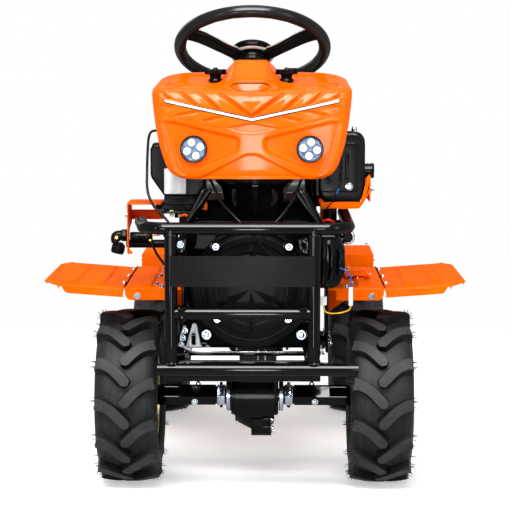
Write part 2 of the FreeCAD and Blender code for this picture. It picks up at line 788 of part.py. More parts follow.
def make_knuckle():
    """Barrel on the steering pin, and a lengthwise socket for the rear half's spigot."""
    pivot_y = "front_axle_y+pivot_gap"
    barrel = rod("knuckle_barrel", "barrel_radius", "barrel_height", "z",
                 "0", pivot_y, "pivot_height-barrel_height/2")
    socket = rod("knuckle_socket", "socket_radius", "socket_end", "y",
                 "0", pivot_y, "pivot_height")
    pin_bore = rod("knuckle_pin_bore", "pin_radius+fit_gap", "2*barrel_height", "z",
                   "0", pivot_y, "pivot_height-barrel_height")
    spigot_bore = rod("knuckle_spigot_bore", "spigot_radius+fit_gap", "spigot_depth+2", "y",
                      "0", f"{pivot_y}+socket_end-spigot_depth-1", "pivot_height")
    body = fuse("knuckle_joined", barrel, socket)
    part(cut("knuckle_bored", body, pin_bore, spigot_bore), "pivot_knuckle")


# --------------------------------------------------------------------------------------
# Guard in front of the engine
# --------------------------------------------------------------------------------------
GUARD_Y = "(front_axle_y-rail_front-guard_tube)"


def lower_bar(name, radius="guard_tube"):
    return rod(name, radius, "lower_bar_right+lower_bar_left", "x",
               "-lower_bar_right", GUARD_Y, "lower_bar_height")


def upright_x(side):
    return f"(guard_shift+{side}*upright_spacing/2)"


def upper_bar():
    """Bent tube whose ends run back to the console and to the muffler bracket."""
    body = new_body("upper_bar_body")
    path = sketch_on(body, "upper_bar_path", "XY_Plane")
    back = "front_axle_y+upper_bar_end"
    points = [
        ("-upper_bar_right", back),
        ("-upper_bar_right", GUARD_Y),
        ("upper_bar_left", GUARD_Y),
        ("upper_bar_left", back),
    ]
    bent_path(path, points, "upper_bar_bend")
    section = sketch_on(body, "upper_bar_section", "XZ_Plane", f"-({back})")
    circle(section, "-upper_bar_right", "0", "guard_tube")
    pipe = body.newObject("PartDesign::AdditivePipe", "upper_bar_pipe")
    pipe.Profile = section
    pipe.Spine = path
    pipe.Mode = "Frenet"
    place(body, "0", "0", "upper_bar_height")
    return body


def make_guard():
    part(upper_bar(), "guard_upper_bar")
    uprights = []
    for name, side in (("right", -1), ("left", 1)):
        foot = "lower_bar_height+guard_tube*0.6"
        tube = rod(f"upright_{name}_tube", "guard_tube",
                   f"upper_bar_height-({foot})-foot_taper", "z",
                   upright_x(side), GUARD_Y, f"{foot}+foot_taper")
        taper = cone(f"upright_{name}_foot", "foot_radius", "guard_tube", "foot_taper", "z",
                     upright_x(side), GUARD_Y, foot)
        whole = fuse(f"upright_{name}_whole", tube, taper)
        top = rod(f"upright_{name}_cope", "guard_tube+fit_gap", "4*guard_tube", "x",
                  f"{upright_x(side)}-2*guard_tube", GUARD_Y, "upper_bar_height")
        uprights.append(cut(f"upright_{name}", whole, top,
                            lower_bar(f"upright_{name}_foot_cope", "guard_tube+fit_gap")))
    part(group("uprights", *uprights), "guard_uprights")
    bar_length = "upright_spacing"
    bar = rod("middle_bar_tube", "middle_bar_radius", bar_length, "x",
              upright_x(-1), GUARD_Y, "middle_bar_height")
    copes = [
        rod(f"middle_bar_cope_{name}", "guard_tube+fit_gap", "6*guard_tube", "z",
            upright_x(side), GUARD_Y, "middle_bar_height-3*guard_tube")
        for name, side in (("right", -1), ("left", 1))
    ]
    part(group("cross_bars", cut("middle_bar", bar, *copes), lower_bar("lower_bar")),
         "guard_cross_bars")
    part(box("name_plate", "plate_width", "plate_wall", "plate_height",
             "guard_shift-plate_width/2", f"{GUARD_Y}-guard_tube-plate_wall", "plate_bottom"),
         "guard_plate")


# --------------------------------------------------------------------------------------
# Engine and what is on it
# --------------------------------------------------------------------------------------
def make_engine():
    top = box("mount_top", "mount_right+mount_left", "mount_front+mount_back", "mount_wall",
              "-mount_right", "front_axle_y-mount_front", "mount_height")
    legs = [top]
    places = (("front", "front_axle_y-mount_front+6"), ("back", "front_axle_y+mount_back-40"))
    sides = (
        ("right", "-mount_right", f"{rail_x(-1)}-rail_width/2", -1),
        ("left", "mount_left", f"{rail_x(1)}+rail_width/2", 1),
    )
    rail_top = "rail_bottom+rail_height"
    for side_name, edge, rail_edge, side in sides:
        for place_name, leg_y in places:
            drawing = free_sketch(f"leg_{side_name}_{place_name}_side", FRONT_VIEW)
            inner = f"{edge}-({side})*mount_wall"
            foot_start = f"{rail_edge}-({side})*rail_width"
            outline(drawing, [
                (inner, "mount_height+mount_wall/2"),
                (edge, "mount_height+mount_wall/2"),
                (f"{foot_start}+({side})*mount_wall", rail_top + "+mount_wall"),
                (rail_edge, rail_top + "+mount_wall"),
                (rail_edge, rail_top),
                (foot_start, rail_top),
            ])
            place(drawing, "0", leg_y, "0")
            legs.append(extrude(f"leg_{side_name}_{place_name}", drawing, "0",
                                "-leg_width"))
    part(fuse("engine_mount_whole", *legs), "engine_mount")

    block_bottom = "mount_height+mount_wall"
    part(box("engine_block", "engine_width", "engine_front+engine_back",
             f"engine_top-({block_bottom})", "-engine_width/2",
             "front_axle_y-engine_front", block_bottom), "engine")

    shroud = box("shroud_box", "shroud_width", "shroud_front-engine_front",
                 "shroud_top-shroud_bottom", "-shroud_width/2-4",
                 "front_axle_y-shroud_front", "shroud_bottom")
    shroud = rounded("shroud_rounded", shroud, "shroud_corner", Vector(0, 1, 0))
    cover = rod("recoil_cover", "fan_radius", "fan_front-shroud_front+1", "y",
                "0", "front_axle_y-fan_front", "fan_height")
    cap = rod("recoil_cap", "fan_cap_radius", "fan_cap+1", "y",
              "0", "front_axle_y-fan_front-fan_cap", "fan_height")
    part(fuse("fan_housing_whole", shroud, cover, cap), "fan_housing")

    cowl = box("cowl_box", "cowl_reach-engine_width/2", "0.66*(engine_front+engine_back)",
               "cowl_top-cowl_bottom", "engine_width/2",
               "front_axle_y-engine_front+20", "cowl_bottom")
    cowl = rounded("cowl_rounded", cowl, "cowl_corner", Vector(0, 1, 0))
    part(cowl, "cylinder_cowl")

    drum = rod("cleaner_drum", "cleaner_radius", "cleaner_top-cleaner_cone", "z",
               "0", "front_axle_y+cleaner_y", "cleaner_cone")
    funnel = cone("cleaner_funnel", "cleaner_neck", "cleaner_radius",
                  "cleaner_cone-cleaner_foot", "z",
                  "0", "front_axle_y+cleaner_y", "cleaner_foot")
    foot = rod("cleaner_foot_pipe", "cleaner_neck-20", "cleaner_foot-engine_top", "z",
               "0", "front_axle_y+cleaner_y", "engine_top")
    part(fuse("air_cleaner_whole", drum, funnel, foot), "air_cleaner")


def make_exhaust():
    """Muffler box with its tail pipe and riser, and the pressed guard in front of it."""
    front = "front_axle_y+muffler_front"
    body = box("muffler_box", "muffler_width-12", "muffler_depth-guard_cup-2",
               "muffler_height-16", "muffler_right+6", f"{front}+guard_cup+2",
               "muffler_bottom+8")
    body = rounded("muffler_rounded", body, "muffler_corner", Vector(0, 1, 0))
    tail = rod("tail_pipe", "tail_radius", "tail_reach-muffler_right-30", "x",
               "muffler_right+30", f"{front}+0.7*muffler_depth", "tail_height")
    riser = rod("exhaust_riser", "exhaust_pipe", "muffler_bottom+20-cowl_top", "z",
                "0.5*(engine_width/2+cowl_reach)+8", f"{front}+0.7*muffler_depth", "cowl_top")
    part(fuse("muffler_whole", body, tail, riser), "muffler")
    cup = box("guard_cup_outside", "muffler_width", "guard_cup", "muffler_height",
              "muffler_right", front, "muffler_bottom")
    cup = rounded("guard_cup_rounded", cup, "muffler_corner", Vector(0, 1, 0))
    hollow = box("guard_cup_inside", "muffler_width-2*guard_sheet", "guard_cup",
                 "muffler_height-2*guard_sheet", "muffler_right+guard_sheet",
                 f"{front}+guard_sheet", "muffler_bottom+guard_sheet")
    hollow = rounded("guard_cup_hollow", hollow, "muffler_corner", Vector(0, 1, 0))
    rib = box("guard_cup_stud", "10", "guard_cup+2-guard_sheet+fit_gap", "10",
              "muffler_right+muffler_width/2-5", f"{front}+guard_sheet-fit_gap",
              "muffler_bottom+muffler_height/2")
    part(fuse("muffler_guard_whole", cut("guard_cup_shell", cup, hollow), rib),
         "muffler_guard")


def make_muffler_bracket():
    """Bent sheet under and outside the muffler, bolted to the upper bar's left end."""
    right = "muffler_right+5"
    left = "muffler_right+muffler_width+14"
    front = "front_axle_y+muffler_front"
    rear = "front_axle_y+upper_bar_end"
    floor = "muffler_bottom-fit_gap-console_wall"
    pieces = [
        box("bracket_floor", f"({left})-({right})",
            "post_y-post_width/2-muffler_front+10", "console_wall", right, front, floor),
        box("bracket_lip", f"({left})-({right})", "console_wall", "bracket_lip",
            right, front, f"{floor}+console_wall-bracket_lip"),
        box("bracket_side", "console_wall", "upper_bar_end-muffler_front-30",
            "bracket_side_height", f"{left}-console_wall", f"{front}+30", floor),
        box("bracket_back", f"({left})-({right})", "console_wall",
            f"({floor})-(upper_bar_height-guard_tube-8)+console_wall",
            right, rear, "upper_bar_height-guard_tube-8"),
    ]
    riser = rod("bracket_riser_hole", "exhaust_pipe+4", "80", "z",
                "0.5*(engine_width/2+cowl_reach)+8", f"{front}+0.7*muffler_depth",
                "muffler_bottom-40")
    slot = box("bracket_tail_slot", "4*console_wall", "34", "bracket_side_height",
               f"{left}-2*console_wall", f"{front}+0.7*muffler_depth-17",
               "tail_height-17")
    part(cut("muffler_bracket_whole", fuse("muffler_bracket_joined", *pieces), riser,
             slot),
         "muffler_bracket")


# --------------------------------------------------------------------------------------
# Column support, battery box, fuel tank and hood
# --------------------------------------------------------------------------------------
def make_column_support():
    """Two posts on the rails, a tray over the engine, and side shelves."""
    rail_top = "rail_bottom+rail_height"
    pieces = []
    for name, side in (("right", -1), ("left", 1)):
        pieces.append(box(f"post_{name}", "post_width", "post_width",
                          f"tray_height-({rail_top})", f"{rail_x(side)}-post_width/2",
                          "front_axle_y+post_y-post_width/2", rail_top))
    pieces.append(box("tray", "tray_width", "tray_front+post_y+post_width/2", "tray_wall",
                      "hood_shift-tray_width/2", "front_axle_y-tray_front",
                      "tray_height-tray_wall"))
    pieces.append(box("tray_bar", "rail_spacing+post_width", "post_width", "post_width",
                      f"{rail_x(-1)}-post_width/2", "front_axle_y+post_y-post_width/2",
                      "tray_height-post_width"))
    pieces.append(box("battery_shelf", "box_width-shelf_inset",
                      "post_y-post_width/2-box_front", "shelf_wall",
                      "-box_left-box_width+shelf_inset", "front_axle_y+box_front",
                      "box_bottom-shelf_wall"))
    pieces.append(column_wedge())
    pieces.append(box("battery_bar", "box_width", "post_width", "post_width",
                      "-box_left-box_width", "front_axle_y+post_y-post_width/2",
                      "box_bottom-post_width"))
    pieces.append(box("muffler_bar",
                      f"muffler_right+muffler_width-({rail_x(1)})", "post_width", "post_width",
                      rail_x(1), "front_axle_y+post_y-post_width/2",
                      "muffler_bottom-fit_gap-console_wall-post_width"))
    part(fuse("column_support_joined", *pieces), "column_support")


COLUMN_FOOT = "(spoke_wall/2+boss_height+2+jacket_length+jacket_flange_wall)"


def column_wedge():
    """Block on the tray whose sloping top carries the column's flange."""
    foot_y = f"wheel_y-{COLUMN_FOOT}*sin(column_tilt)"
    foot_z = f"wheel_height-{COLUMN_FOOT}*cos(column_tilt)"
    side = free_sketch("column_wedge_side", SIDE_VIEW)
    front = f"{foot_y}-wedge_half*cos(column_tilt)"
    back = f"{foot_y}+wedge_half*cos(column_tilt)"
    outline(side, [
        (front, "tray_height-tray_wall"),
        (front, f"{foot_z}+wedge_half*sin(column_tilt)"),
        (back, f"{foot_z}-wedge_half*sin(column_tilt)"),
        (back, "tray_height-tray_wall"),
    ])
    place(side, "column_shift-wedge_half", "front_axle_y", "0")
    return extrude("column_wedge", side, "2*wedge_half")


def make_battery_box():
    case = box("battery_case", "box_width", "box_depth", "box_height",
               "-box_left-box_width", "front_axle_y+box_front", "box_bottom")
    part(rounded("battery_case_rounded", case, "box_corner", Vector(0, 1, 0)), "battery_box")


def make_fuel_tank():
    tank = box("tank_block", "tank_width", "tank_front-tank_back", "tank_height",
               "hood_shift-tank_width/2", "front_axle_y-tank_front",
               "tray_height+fit_gap")
    part(rounded("tank_rounded", tank, "box_corner", Vector(1, 0, 0)), "fuel_tank")


def hood_solid(name, inset):
    """The hood's outer form, or its hollow when inset is the wall."""
    face = free_sketch(f"{name}_face", FRONT_VIEW)
    half = f"hood_half-{inset}"
    low = f"hood_bottom-2*{inset}"
    left = [
        (f"hood_foot_half-{inset}", low),
        (f"hood_foot_half+20-{inset}", "hood_bottom+14"),
        (f"{half}-3", "hood_shoulder-60"),
        (half, "hood_shoulder-16"),
        (f"{half}-3", "hood_shoulder+8"),
        (f"{half}-16", f"hood_shoulder+27-{inset}"),
        (f"{half}-60", f"hood_crown-12-{inset}"),
        (f"{half}-110", f"hood_crown-{inset}"),
    ]
    outline(face, left + [(f"-({x})", z) for x, z in reversed(left)])
    place(face, "hood_shift", "front_axle_y", "0")
    across = extrude(f"{name}_across", face, "hood_front+20", "-hood_back-40")
    side = free_sketch(f"{name}_side", SIDE_VIEW)
    outline(side, [
        (f"-hood_front+18+{inset}", low),
        (f"-hood_front+{inset}", "hood_shoulder-30"),
        (f"-hood_front+4+{inset}", "hood_shoulder"),
        (f"-hood_front+20+{inset}", f"hood_shoulder+20-{inset}"),
        (f"hood_back+2*{inset}",
         f"hood_shoulder+20-{inset}+(hood_back+hood_front-20+{inset})*hood_top_slope"),
        (f"hood_back+2*{inset}", f"hood_crown-90-4*{inset}"),
        (f"-hood_front+95+4*{inset}", f"hood_crown-120-4*{inset}"),
        (f"-hood_front+56+4*{inset}", low),
    ])
    place(side, "hood_shift", "front_axle_y", "0")
    along = extrude(f"{name}_along", side, "hood_half+10", "-hood_half-10")
    return common(f"{name}_form", across, along)


def hump_solid(name, inset):
    face = free_sketch(f"{name}_hump_face", FRONT_VIEW)
    left = [
        (f"hump_half-{inset}", "hood_crown-40"),
        (f"hump_half-{inset}", "hood_crown-2"),
        (f"hump_top_half-{inset}", f"hump_top-{inset}"),
    ]
    outline(face, left + [(f"-({x})", z) for x, z in reversed(left)])
    place(face, "column_shift", "front_axle_y", "0")
    return extrude(f"{name}_hump", face, f"hump_front-2*{inset}", f"-hood_back-3*{inset}")


def make_hood():
    """Pressed hood: face, cheeks and top, open behind and below, with lamp holes."""
    outer = fuse("hood_outer", hood_solid("hood_outside", "0"), hump_solid("hood_outside", "0"))
    inner = fuse("hood_inner", hood_solid("hood_inside", "hood_wall"),
                 hump_solid("hood_inside", "hood_wall"))
    holes = [
        rod(f"lamp_hole_{name}", "lamp_radius+fit_gap", "120", "y",
            f"hood_shift+{side}*lamp_spread", "front_axle_y-hood_front-40", "lamp_height")
        for name, side in (("right", -1), ("left", 1))
    ]
    holes += [
        rod(f"knob_hole_{name}", "knob_stud+fit_gap", "80", "z",
            f"column_shift+{side}*knob_spread", "front_axle_y+knob_y", "hood_crown-60")
        for name, side in (("right", -1), ("left", 1))
    ]
    part(cut("hood_shell", outer, inner, *holes), "hood")
    lamps = [
        rod(f"lamp_{name}", "lamp_radius", "lamp_depth", "y",
            f"hood_shift+{side}*lamp_spread", "front_axle_y-hood_front-lamp_proud+8",
            "lamp_height")
        for name, side in (("right", -1), ("left", 1))
    ]
    part(group("lamps", *lamps), "headlights")
    knobs = []
    for name, side in (("right", -1), ("left", 1)):
        spot = f"column_shift+{side}*knob_spread"
        crown = "(hood_shoulder+21.2+(knob_y+hood_front-20)*hood_top_slope)"
        stem = rod(f"knob_stem_{name}", "knob_stem", "12", "z", spot,
                   "front_axle_y+knob_y", crown)
        head = rod(f"knob_head_{name}", "knob_radius", "knob_height", "z", spot,
                   "front_axle_y+knob_y", f"{crown}+10")
        stud_foot = "tray_height+tank_height+2*fit_gap"
        stud = rod(f"knob_stud_{name}", "knob_stud", f"{crown}+5-({stud_foot})", "z", spot,
                   "front_axle_y+knob_y", stud_foot)
        knobs.append(fuse(f"knob_{name}", stem, head, stud))
    part(group("knobs", *knobs), "hood_knobs")


# --------------------------------------------------------------------------------------
# Steering
# --------------------------------------------------------------------------------------
def on_column(thing, distance):
    """Place a body on the column's axis, its own +Z along the axis, below the wheel."""
    thing.Placement = FreeCAD.Placement(Vector(), Rotation(Vector(-1, 0, 0), 1))
    thing.setExpression("Placement.Rotation.Angle", cells("column_tilt"))
    return place(
        thing,
        "column_shift",
        f"front_axle_y+wheel_y-({distance})*sin(column_tilt)",
        f"wheel_height-({distance})*cos(column_tilt)",
    )


def make_steering():
    body = new_body("steering_wheel_body")
    ring = sketch_on(body, "wheel_rim_section", "XZ_Plane")
    circle(ring, "wheel_radius", "0", "wheel_rim")
    rim_turn = body.newObject("PartDesign::Revolution", "wheel_rim_turn")
    rim_turn.Profile = ring
    rim_turn.ReferenceAxis = (ring, ["V_Axis"])
    rim_turn.Angle = 360
    hub = sketch_on(body, "wheel_cap_section", "XY_Plane", "-spoke_wall/2")
    circle(hub, "0", "0", "hub_radius")
    pad(body, "wheel_cap", hub, "spoke_wall+hub_height")
    boss = sketch_on(body, "wheel_boss_section", "XY_Plane", "-spoke_wall/2-boss_height")
    circle(boss, "0", "0", "boss_radius")
    pad(body, "wheel_boss", boss, "boss_height+1")
    stem = sketch_on(body, "wheel_shaft_section", "XY_Plane",
                     "-spoke_wall/2-boss_height-shaft_length")
    circle(stem, "0", "0", "shaft_radius")
    pad(body, "wheel_shaft", stem, "shaft_length+1")
    turns = (("right", "spoke_angle"), ("left", "-spoke_angle"), ("rear", "180"))
    for name, angle in turns:
        spoke = sketch_on(body, f"spoke_{name}_section", "XY_Plane", "-spoke_wall/2")
        across = "(spoke_width/2)"
        corners = []
        for out, aside in (("0", f"-{across}"), ("0", across),
                           ("wheel_radius", across), ("wheel_radius", f"-{across}")):
            corners.append((
                f"-({out})*sin({angle})+({aside})*cos({angle})",
                f"-({out})*cos({angle})-({aside})*sin({angle})",
            ))
        outline(spoke, corners)
        pad(body, f"spoke_{name}", spoke, "spoke_wall")
    part(on_column(body, "0"), "steering_wheel")

    jacket_top = "spoke_wall/2+boss_height+2"
    tube = new_body("column_jacket_body")
    wall = sketch_on(tube, "jacket_section", "XY_Plane", "-jacket_length")
    circle(wall, "0", "0", "jacket_radius")
    circle(wall, "0", "0", "shaft_radius+fit_gap")
    pad(tube, "jacket_tube", wall, "jacket_length")
    flange = sketch_on(tube, "jacket_flange_section", "XY_Plane",
                       "-jacket_length-jacket_flange_wall")
    circle(flange, "0", "0", "jacket_flange_radius")
    pad(tube, "jacket_flange", flange, "jacket_flange_wall")
    part(on_column(tube, jacket_top), "steering_column")


# --------------------------------------------------------------------------------------
# Drive line between engine and pivot
# --------------------------------------------------------------------------------------
def make_transmission():
    """Gear case behind the engine, with a drop box and a yoke for the rear drive."""
    start = "front_axle_y+engine_back"
    length = f"{END_PLATE_Y}-end_wall-({start})"
    case = box("gear_case", "case_width", length, "case_top-case_bottom",
               "-case_width/2", start, "case_bottom")
    drop = box("drop_box", "84", "70", "case_bottom-drive_height+34", "-42",
               f"{END_PLATE_Y}-end_wall-100", "drive_height-30")
    yoke_start = f"{END_PLATE_Y}-end_wall-31"
    yoke = rod("front_yoke_shaft", "drive_radius",
               f"front_axle_y+pivot_gap-yoke_gap-({yoke_start})", "y",
               "0", yoke_start, "drive_height")
    ear = rod("front_yoke", "yoke_radius", "24", "y", "0",
              "front_axle_y+pivot_gap-yoke_gap-24", "drive_height")
    part(fuse("transmission_whole", case, drop, yoke, ear), "transmission")

    pivot_y = "front_axle_y+pivot_gap"
    housing = box("steering_box_block", "steering_box_width", "steering_box_depth",
                  "steering_box_height", "-steering_box_width/2",
                  f"{pivot_y}-steering_box_depth+lug_radius", f"{LUG_TOP}+lug_wall")
    part(housing, "steering_box")
    make_link_shaft(housing)


def make_link_shaft(housing):
    """Sloping shaft cover from under the tray to the steering box."""
    drop = f"(tray_height-tray_wall-{LUG_TOP}-lug_wall-steering_box_height/2)"
    back = "(pivot_gap-link_start)"
    shaft = add("Part::Cylinder", "link_shaft")
    bind(shaft, Radius="link_radius", Height=f"sqrt({drop}^2+{back}^2)")
    shaft.Placement = FreeCAD.Placement(Vector(), Rotation(Vector(1, 0, 0), 90))
    shaft.setExpression("Placement.Rotation.Angle", cells(f"180 deg+atan({back}/{drop})"))
    place(shaft, "column_shift", "front_axle_y+link_start", "tray_height-tray_wall")
    tray = box("link_shaft_tray", "200", "400", "60", "-100", "front_axle_y-100",
               "tray_height-tray_wall")
    part(cut("link_shaft_trimmed", shaft, tray, housing), "steering_link_shaft")


# --------------------------------------------------------------------------------------
# Foot plates, console, levers
# --------------------------------------------------------------------------------------
def make_foot_plates():
    brackets = []
    for name, side in (("right", -1), ("left", 1)):
        body = new_body(f"foot_plate_{name}_body")
        width = "(foot_reach-foot_inner)"
        plan = [
            ("0", "-foot_front"),
            (f"{width}-foot_chamfer", "-foot_front"),
            (width, "-foot_front+1.4*foot_chamfer"),
            (width, "foot_back-foot_chamfer"),
            (f"{width}-0.6*foot_chamfer", "foot_back"),
            ("0", "foot_back"),
        ]
        flat = sketch_on(body, f"foot_plate_{name}_plan", "XY_Plane")
        outline(flat, [(f"{side}*({x})", y) for x, y in plan])
        pad(body, f"foot_plate_{name}_sheet", flat, "foot_wall")
        for number, share in enumerate(("0.3", "0.62")):
            rib = sketch_on(body, f"foot_plate_{name}_rib_{number}_plan", "XY_Plane",
                            "foot_wall-0.5")
            corners = [
                (f"{side}*({width}*{share}{edge}foot_rib_width/2)", y)
                for edge, y in (("-", "-foot_front+34"), ("+", "-foot_front+34"),
                                ("+", "foot_back-34"), ("-", "foot_back-34"))
            ]
            outline(rib, corners)
            pad(body, f"foot_plate_{name}_rib_{number}", rib, "foot_rib+0.5")
        lip = sketch_on(body, f"foot_plate_{name}_flange_plan", "XY_Plane", "-foot_flange")
        outline(lip, [
            (f"{side}*0", "-foot_front"),
            (f"{side}*({width}-foot_chamfer)", "-foot_front"),
            (f"{side}*({width}-foot_chamfer)", "-foot_front+foot_wall"),
            (f"{side}*0", "-foot_front+foot_wall"),
        ])
        pad(body, f"foot_plate_{name}_flange", lip, "foot_flange+1")
        tilt_axis = Vector(0, -side, 0)
        body.Placement = FreeCAD.Placement(Vector(), Rotation(tilt_axis, 1))
        body.setExpression("Placement.Rotation.Angle", cells("foot_tilt"))
        place(body, f"{side}*(foot_inner+fit_gap)", "front_axle_y", "foot_height")
        part(body, f"foot_plate_{name}")

        leg_face = f"({rail_x(side)}+{side}*rail_width/2)"
        inner = f"abs({leg_face})"
        top = box(f"bracket_{name}_top", f"foot_inner-{inner}", "foot_front+foot_back",
                  "foot_wall",
                  inner if side > 0 else "-foot_inner", "front_axle_y-foot_front",
                  "foot_height")
        flange = box(f"bracket_{name}_flange", "foot_inner-bracket_inner", "foot_wall",
                     "bracket_flange+1",
                     "bracket_inner" if side > 0 else "-foot_inner",
                     "front_axle_y-foot_front", "foot_height-bracket_flange")
        leg = box(f"bracket_{name}_leg", "bracket_leg", "200",
                  "foot_height-rail_bottom-4+1",
                  leg_face if side > 0 else f"{leg_face}-bracket_leg",
                  "front_axle_y+20", "rail_bottom+4")
        brackets.append(fuse(f"bracket_{name}", top, flange, leg))
    part(group("brackets", *brackets), "foot_brackets")


def make_controls():
    """Open orange console with a grip, the gear lever and the brake pedal."""
    outer = box("console_outside", "console_width", "console_depth", "console_height",
                "-console_reach", "front_axle_y+upper_bar_end+console_wall-console_depth",
                "console_bottom")
    inner = box("console_inside", "console_width-console_wall+1", "console_depth-console_wall+1",
                "console_height-console_wall+1",
                "-console_reach+console_wall",
                "front_axle_y+upper_bar_end-console_depth+console_wall-1",
                "console_bottom-1")
    shell = cut("console_shell", outer, inner)
    foot = box("console_foot", "console_wall", "40", "console_bottom+12-foot_height-foot_wall",
               "-console_reach", "front_axle_y+upper_bar_end+console_wall-40",
               "foot_height+foot_wall")
    part(fuse("console_whole", shell, foot), "lever_console")
    grip = rod("grip", "handle_radius", "handle_reach-console_reach-fit_gap", "x",
               "-handle_reach", "front_axle_y+20", "handle_height")
    part(grip, "console_grip")

    lever = rod("lever_rod", "lever_radius", "lever_length", "z",
                "50", f"{END_PLATE_Y}-70", "case_top")
    ball = add("Part::Sphere", "lever_ball")
    bind(ball, Radius="ball_radius")
    place(ball, "50", f"{END_PLATE_Y}-70", "case_top+lever_length")
    part(fuse("gear_lever_whole", lever, ball), "gear_lever")

    pad_x = "0.5*(bracket_inner+foot_inner)-pedal_width/2"
    stalk = box("pedal_stalk", "14", "14", "pedal_rise",
                "0.5*(bracket_inner+foot_inner)-7", "front_axle_y+60",
                "foot_height+foot_wall")
    face = box("pedal_face", "pedal_width", "pedal_length", "8", pad_x,
               "front_axle_y+60-pedal_length/2+7", "foot_height+foot_wall+pedal_rise-1")
    part(fuse("pedal_whole", stalk, face), "brake_pedal")


# --------------------------------------------------------------------------------------
# Rear half
# --------------------------------------------------------------------------------------
def make_rear_chassis():
    """Spigot, spine tube and the legs that carry the deck."""
    pivot_y = "front_axle_y+pivot_gap"
    face = f"({pivot_y}+socket_end+1)"
    spigot = rod("spigot", "spigot_radius", "spigot_depth+2", "y",
                 "0", f"{face}-spigot_depth-1", "pivot_height")
    plate = box("rear_front_plate", "110", "end_wall", "110", "-55", face,
                "pivot_height-55")
    spine = square_tube("spine", "spine_width",
                        f"front_axle_y+wheelbase+spine_back-({face})-end_wall",
                        "spine_height", "spine_wall", "y",
                        "-spine_width/2", f"{face}+end_wall", "pivot_height-spine_height/2")
    pieces = [spigot, plate, spine]
    top = "deck_top-deck_wall"
    spine_top = "(pivot_height+spine_height/2)"
    for name, leg_y in (("front", f"{face}+end_wall+20"), ("rear", "front_axle_y+deck_back-90")):
        pieces.append(box(f"deck_leg_{name}", "spine_width", "deck_leg",
                          f"{top}-{spine_top}", "-spine_width/2", leg_y, spine_top))
        pieces.append(box(f"deck_bar_{name}", "deck_width", "deck_leg", "20",
                          "-deck_width/2", leg_y, f"{top}-20"))
    pieces.append(box("rear_end_plate", "110", "end_wall", "90", "-55",
                      "front_axle_y+wheelbase+spine_back", "pivot_height-45"))
    part(fuse("rear_chassis_whole", *pieces), "rear_chassis")


def make_deck():
    part(box("deck_sheet", "deck_width", "deck_back-deck_front", "deck_wall",
             "-deck_width/2", "front_axle_y+deck_front", "deck_top-deck_wall"), "rear_deck")
    inner = "deck_width/2"
    for name, side in (("right", -1), ("left", 1)):
        drawing = free_sketch(f"fender_{name}_side", SIDE_VIEW)
        skirt = "fender_skirt"
        outline(drawing, [
            ("fender_front", f"fender_top-{skirt}"),
            ("fender_front", "fender_top"),
            ("fender_knee", "fender_top"),
            ("fender_tail", "fender_top-fender_drop"),
            ("fender_tail", "fender_top-fender_drop-8"),
            ("fender_knee", f"fender_top-{skirt}"),
        ])
        start = f"{side}*({inner}+fit_gap)" if side > 0 else "-fender_reach"
        place(drawing, start, "front_axle_y", "0")
        outer = extrude(f"fender_{name}_outer", drawing, f"fender_reach-{inner}-fit_gap")
        hollow = free_sketch(f"fender_{name}_hollow_side", SIDE_VIEW)
        outline(hollow, [
            ("fender_front+fender_wall", f"fender_top-{skirt}-20"),
            ("fender_front+fender_wall", "fender_top-fender_wall"),
            ("fender_knee", "fender_top-fender_wall"),
            ("fender_tail-fender_wall", "fender_top-fender_drop-fender_wall"),
            ("fender_tail-fender_wall", f"fender_top-{skirt}-20"),
        ])
        place(hollow, f"{start}+fender_wall", "front_axle_y", "0")
        inside = extrude(f"fender_{name}_inner", hollow,
                         f"fender_reach-{inner}-fit_gap-2*fender_wall")
        part(cut(f"fender_{name}", outer, inside), f"rear_fender_{name}")


def make_seat():
    post = box("seat_post", "120", "120", "seat_height-deck_top-10", "-60",
               "front_axle_y+seat_front+110", "deck_top")
    pan = box("seat_pan", "seat_width-60", "seat_length-40", "10",
              "-seat_width/2+30", "front_axle_y+seat_front+30", "seat_height-10")
    part(fuse("seat_mount_whole", post, pan), "seat_mount")
    cushion = box("cushion", "seat_width", "seat_length", "cushion_wall",
                  "-seat_width/2", "front_axle_y+seat_front", "seat_height+fit_gap")
    part(rounded("cushion_rounded", cushion, "cowl_corner", Vector(0, 0, 1)), "seat_cushion")
    back = new_body("backrest_body")
    side = sketch_on(back, "backrest_side", "YZ_Plane")
    lean = "tan(back_lean)"
    base = "seat_height+cushion_wall+2*fit_gap"
    start = "front_axle_y+seat_front+seat_length-30"
    outline(side, [
        (start, base),
        (f"{start}+(back_top-({base}))*{lean}", "back_top"),
        (f"{start}+(back_top-({base}))*{lean}+back_wall*0.7", "back_top"),
        (f"{start}+back_wall", base),
    ])
    pad(back, "backrest_pad", side, "seat_width-20", middle=True)
    part(back, "seat_backrest")


def make_hitch():
    """Two tongues behind the spine with a bore for the draw pin."""
    start = "front_axle_y+wheelbase+spine_back+end_wall"
    end = f"{start}+hitch_reach"
    middle = "pivot_height"
    pieces = []
    for name, low in (("upper", f"{middle}+hitch_gap/2"),
                      ("lower", f"{middle}-hitch_gap/2-hitch_wall")):
        pieces.append(box(f"tongue_{name}", "hitch_width", "hitch_reach", "hitch_wall",
                          "-hitch_width/2", start, low))
    pieces.append(box("tongue_web", "hitch_width", "12", "hitch_gap", "-hitch_width/2",
                      start, f"{middle}-hitch_gap/2"))
    bore = rod("hitch_pin_bore", "hitch_bore", "120", "z", "0",
               f"{end}-hitch_edge", f"{middle}-60")
    part(cut("hitch_bored", fuse("hitch_joined", *pieces), bore), "hitch")


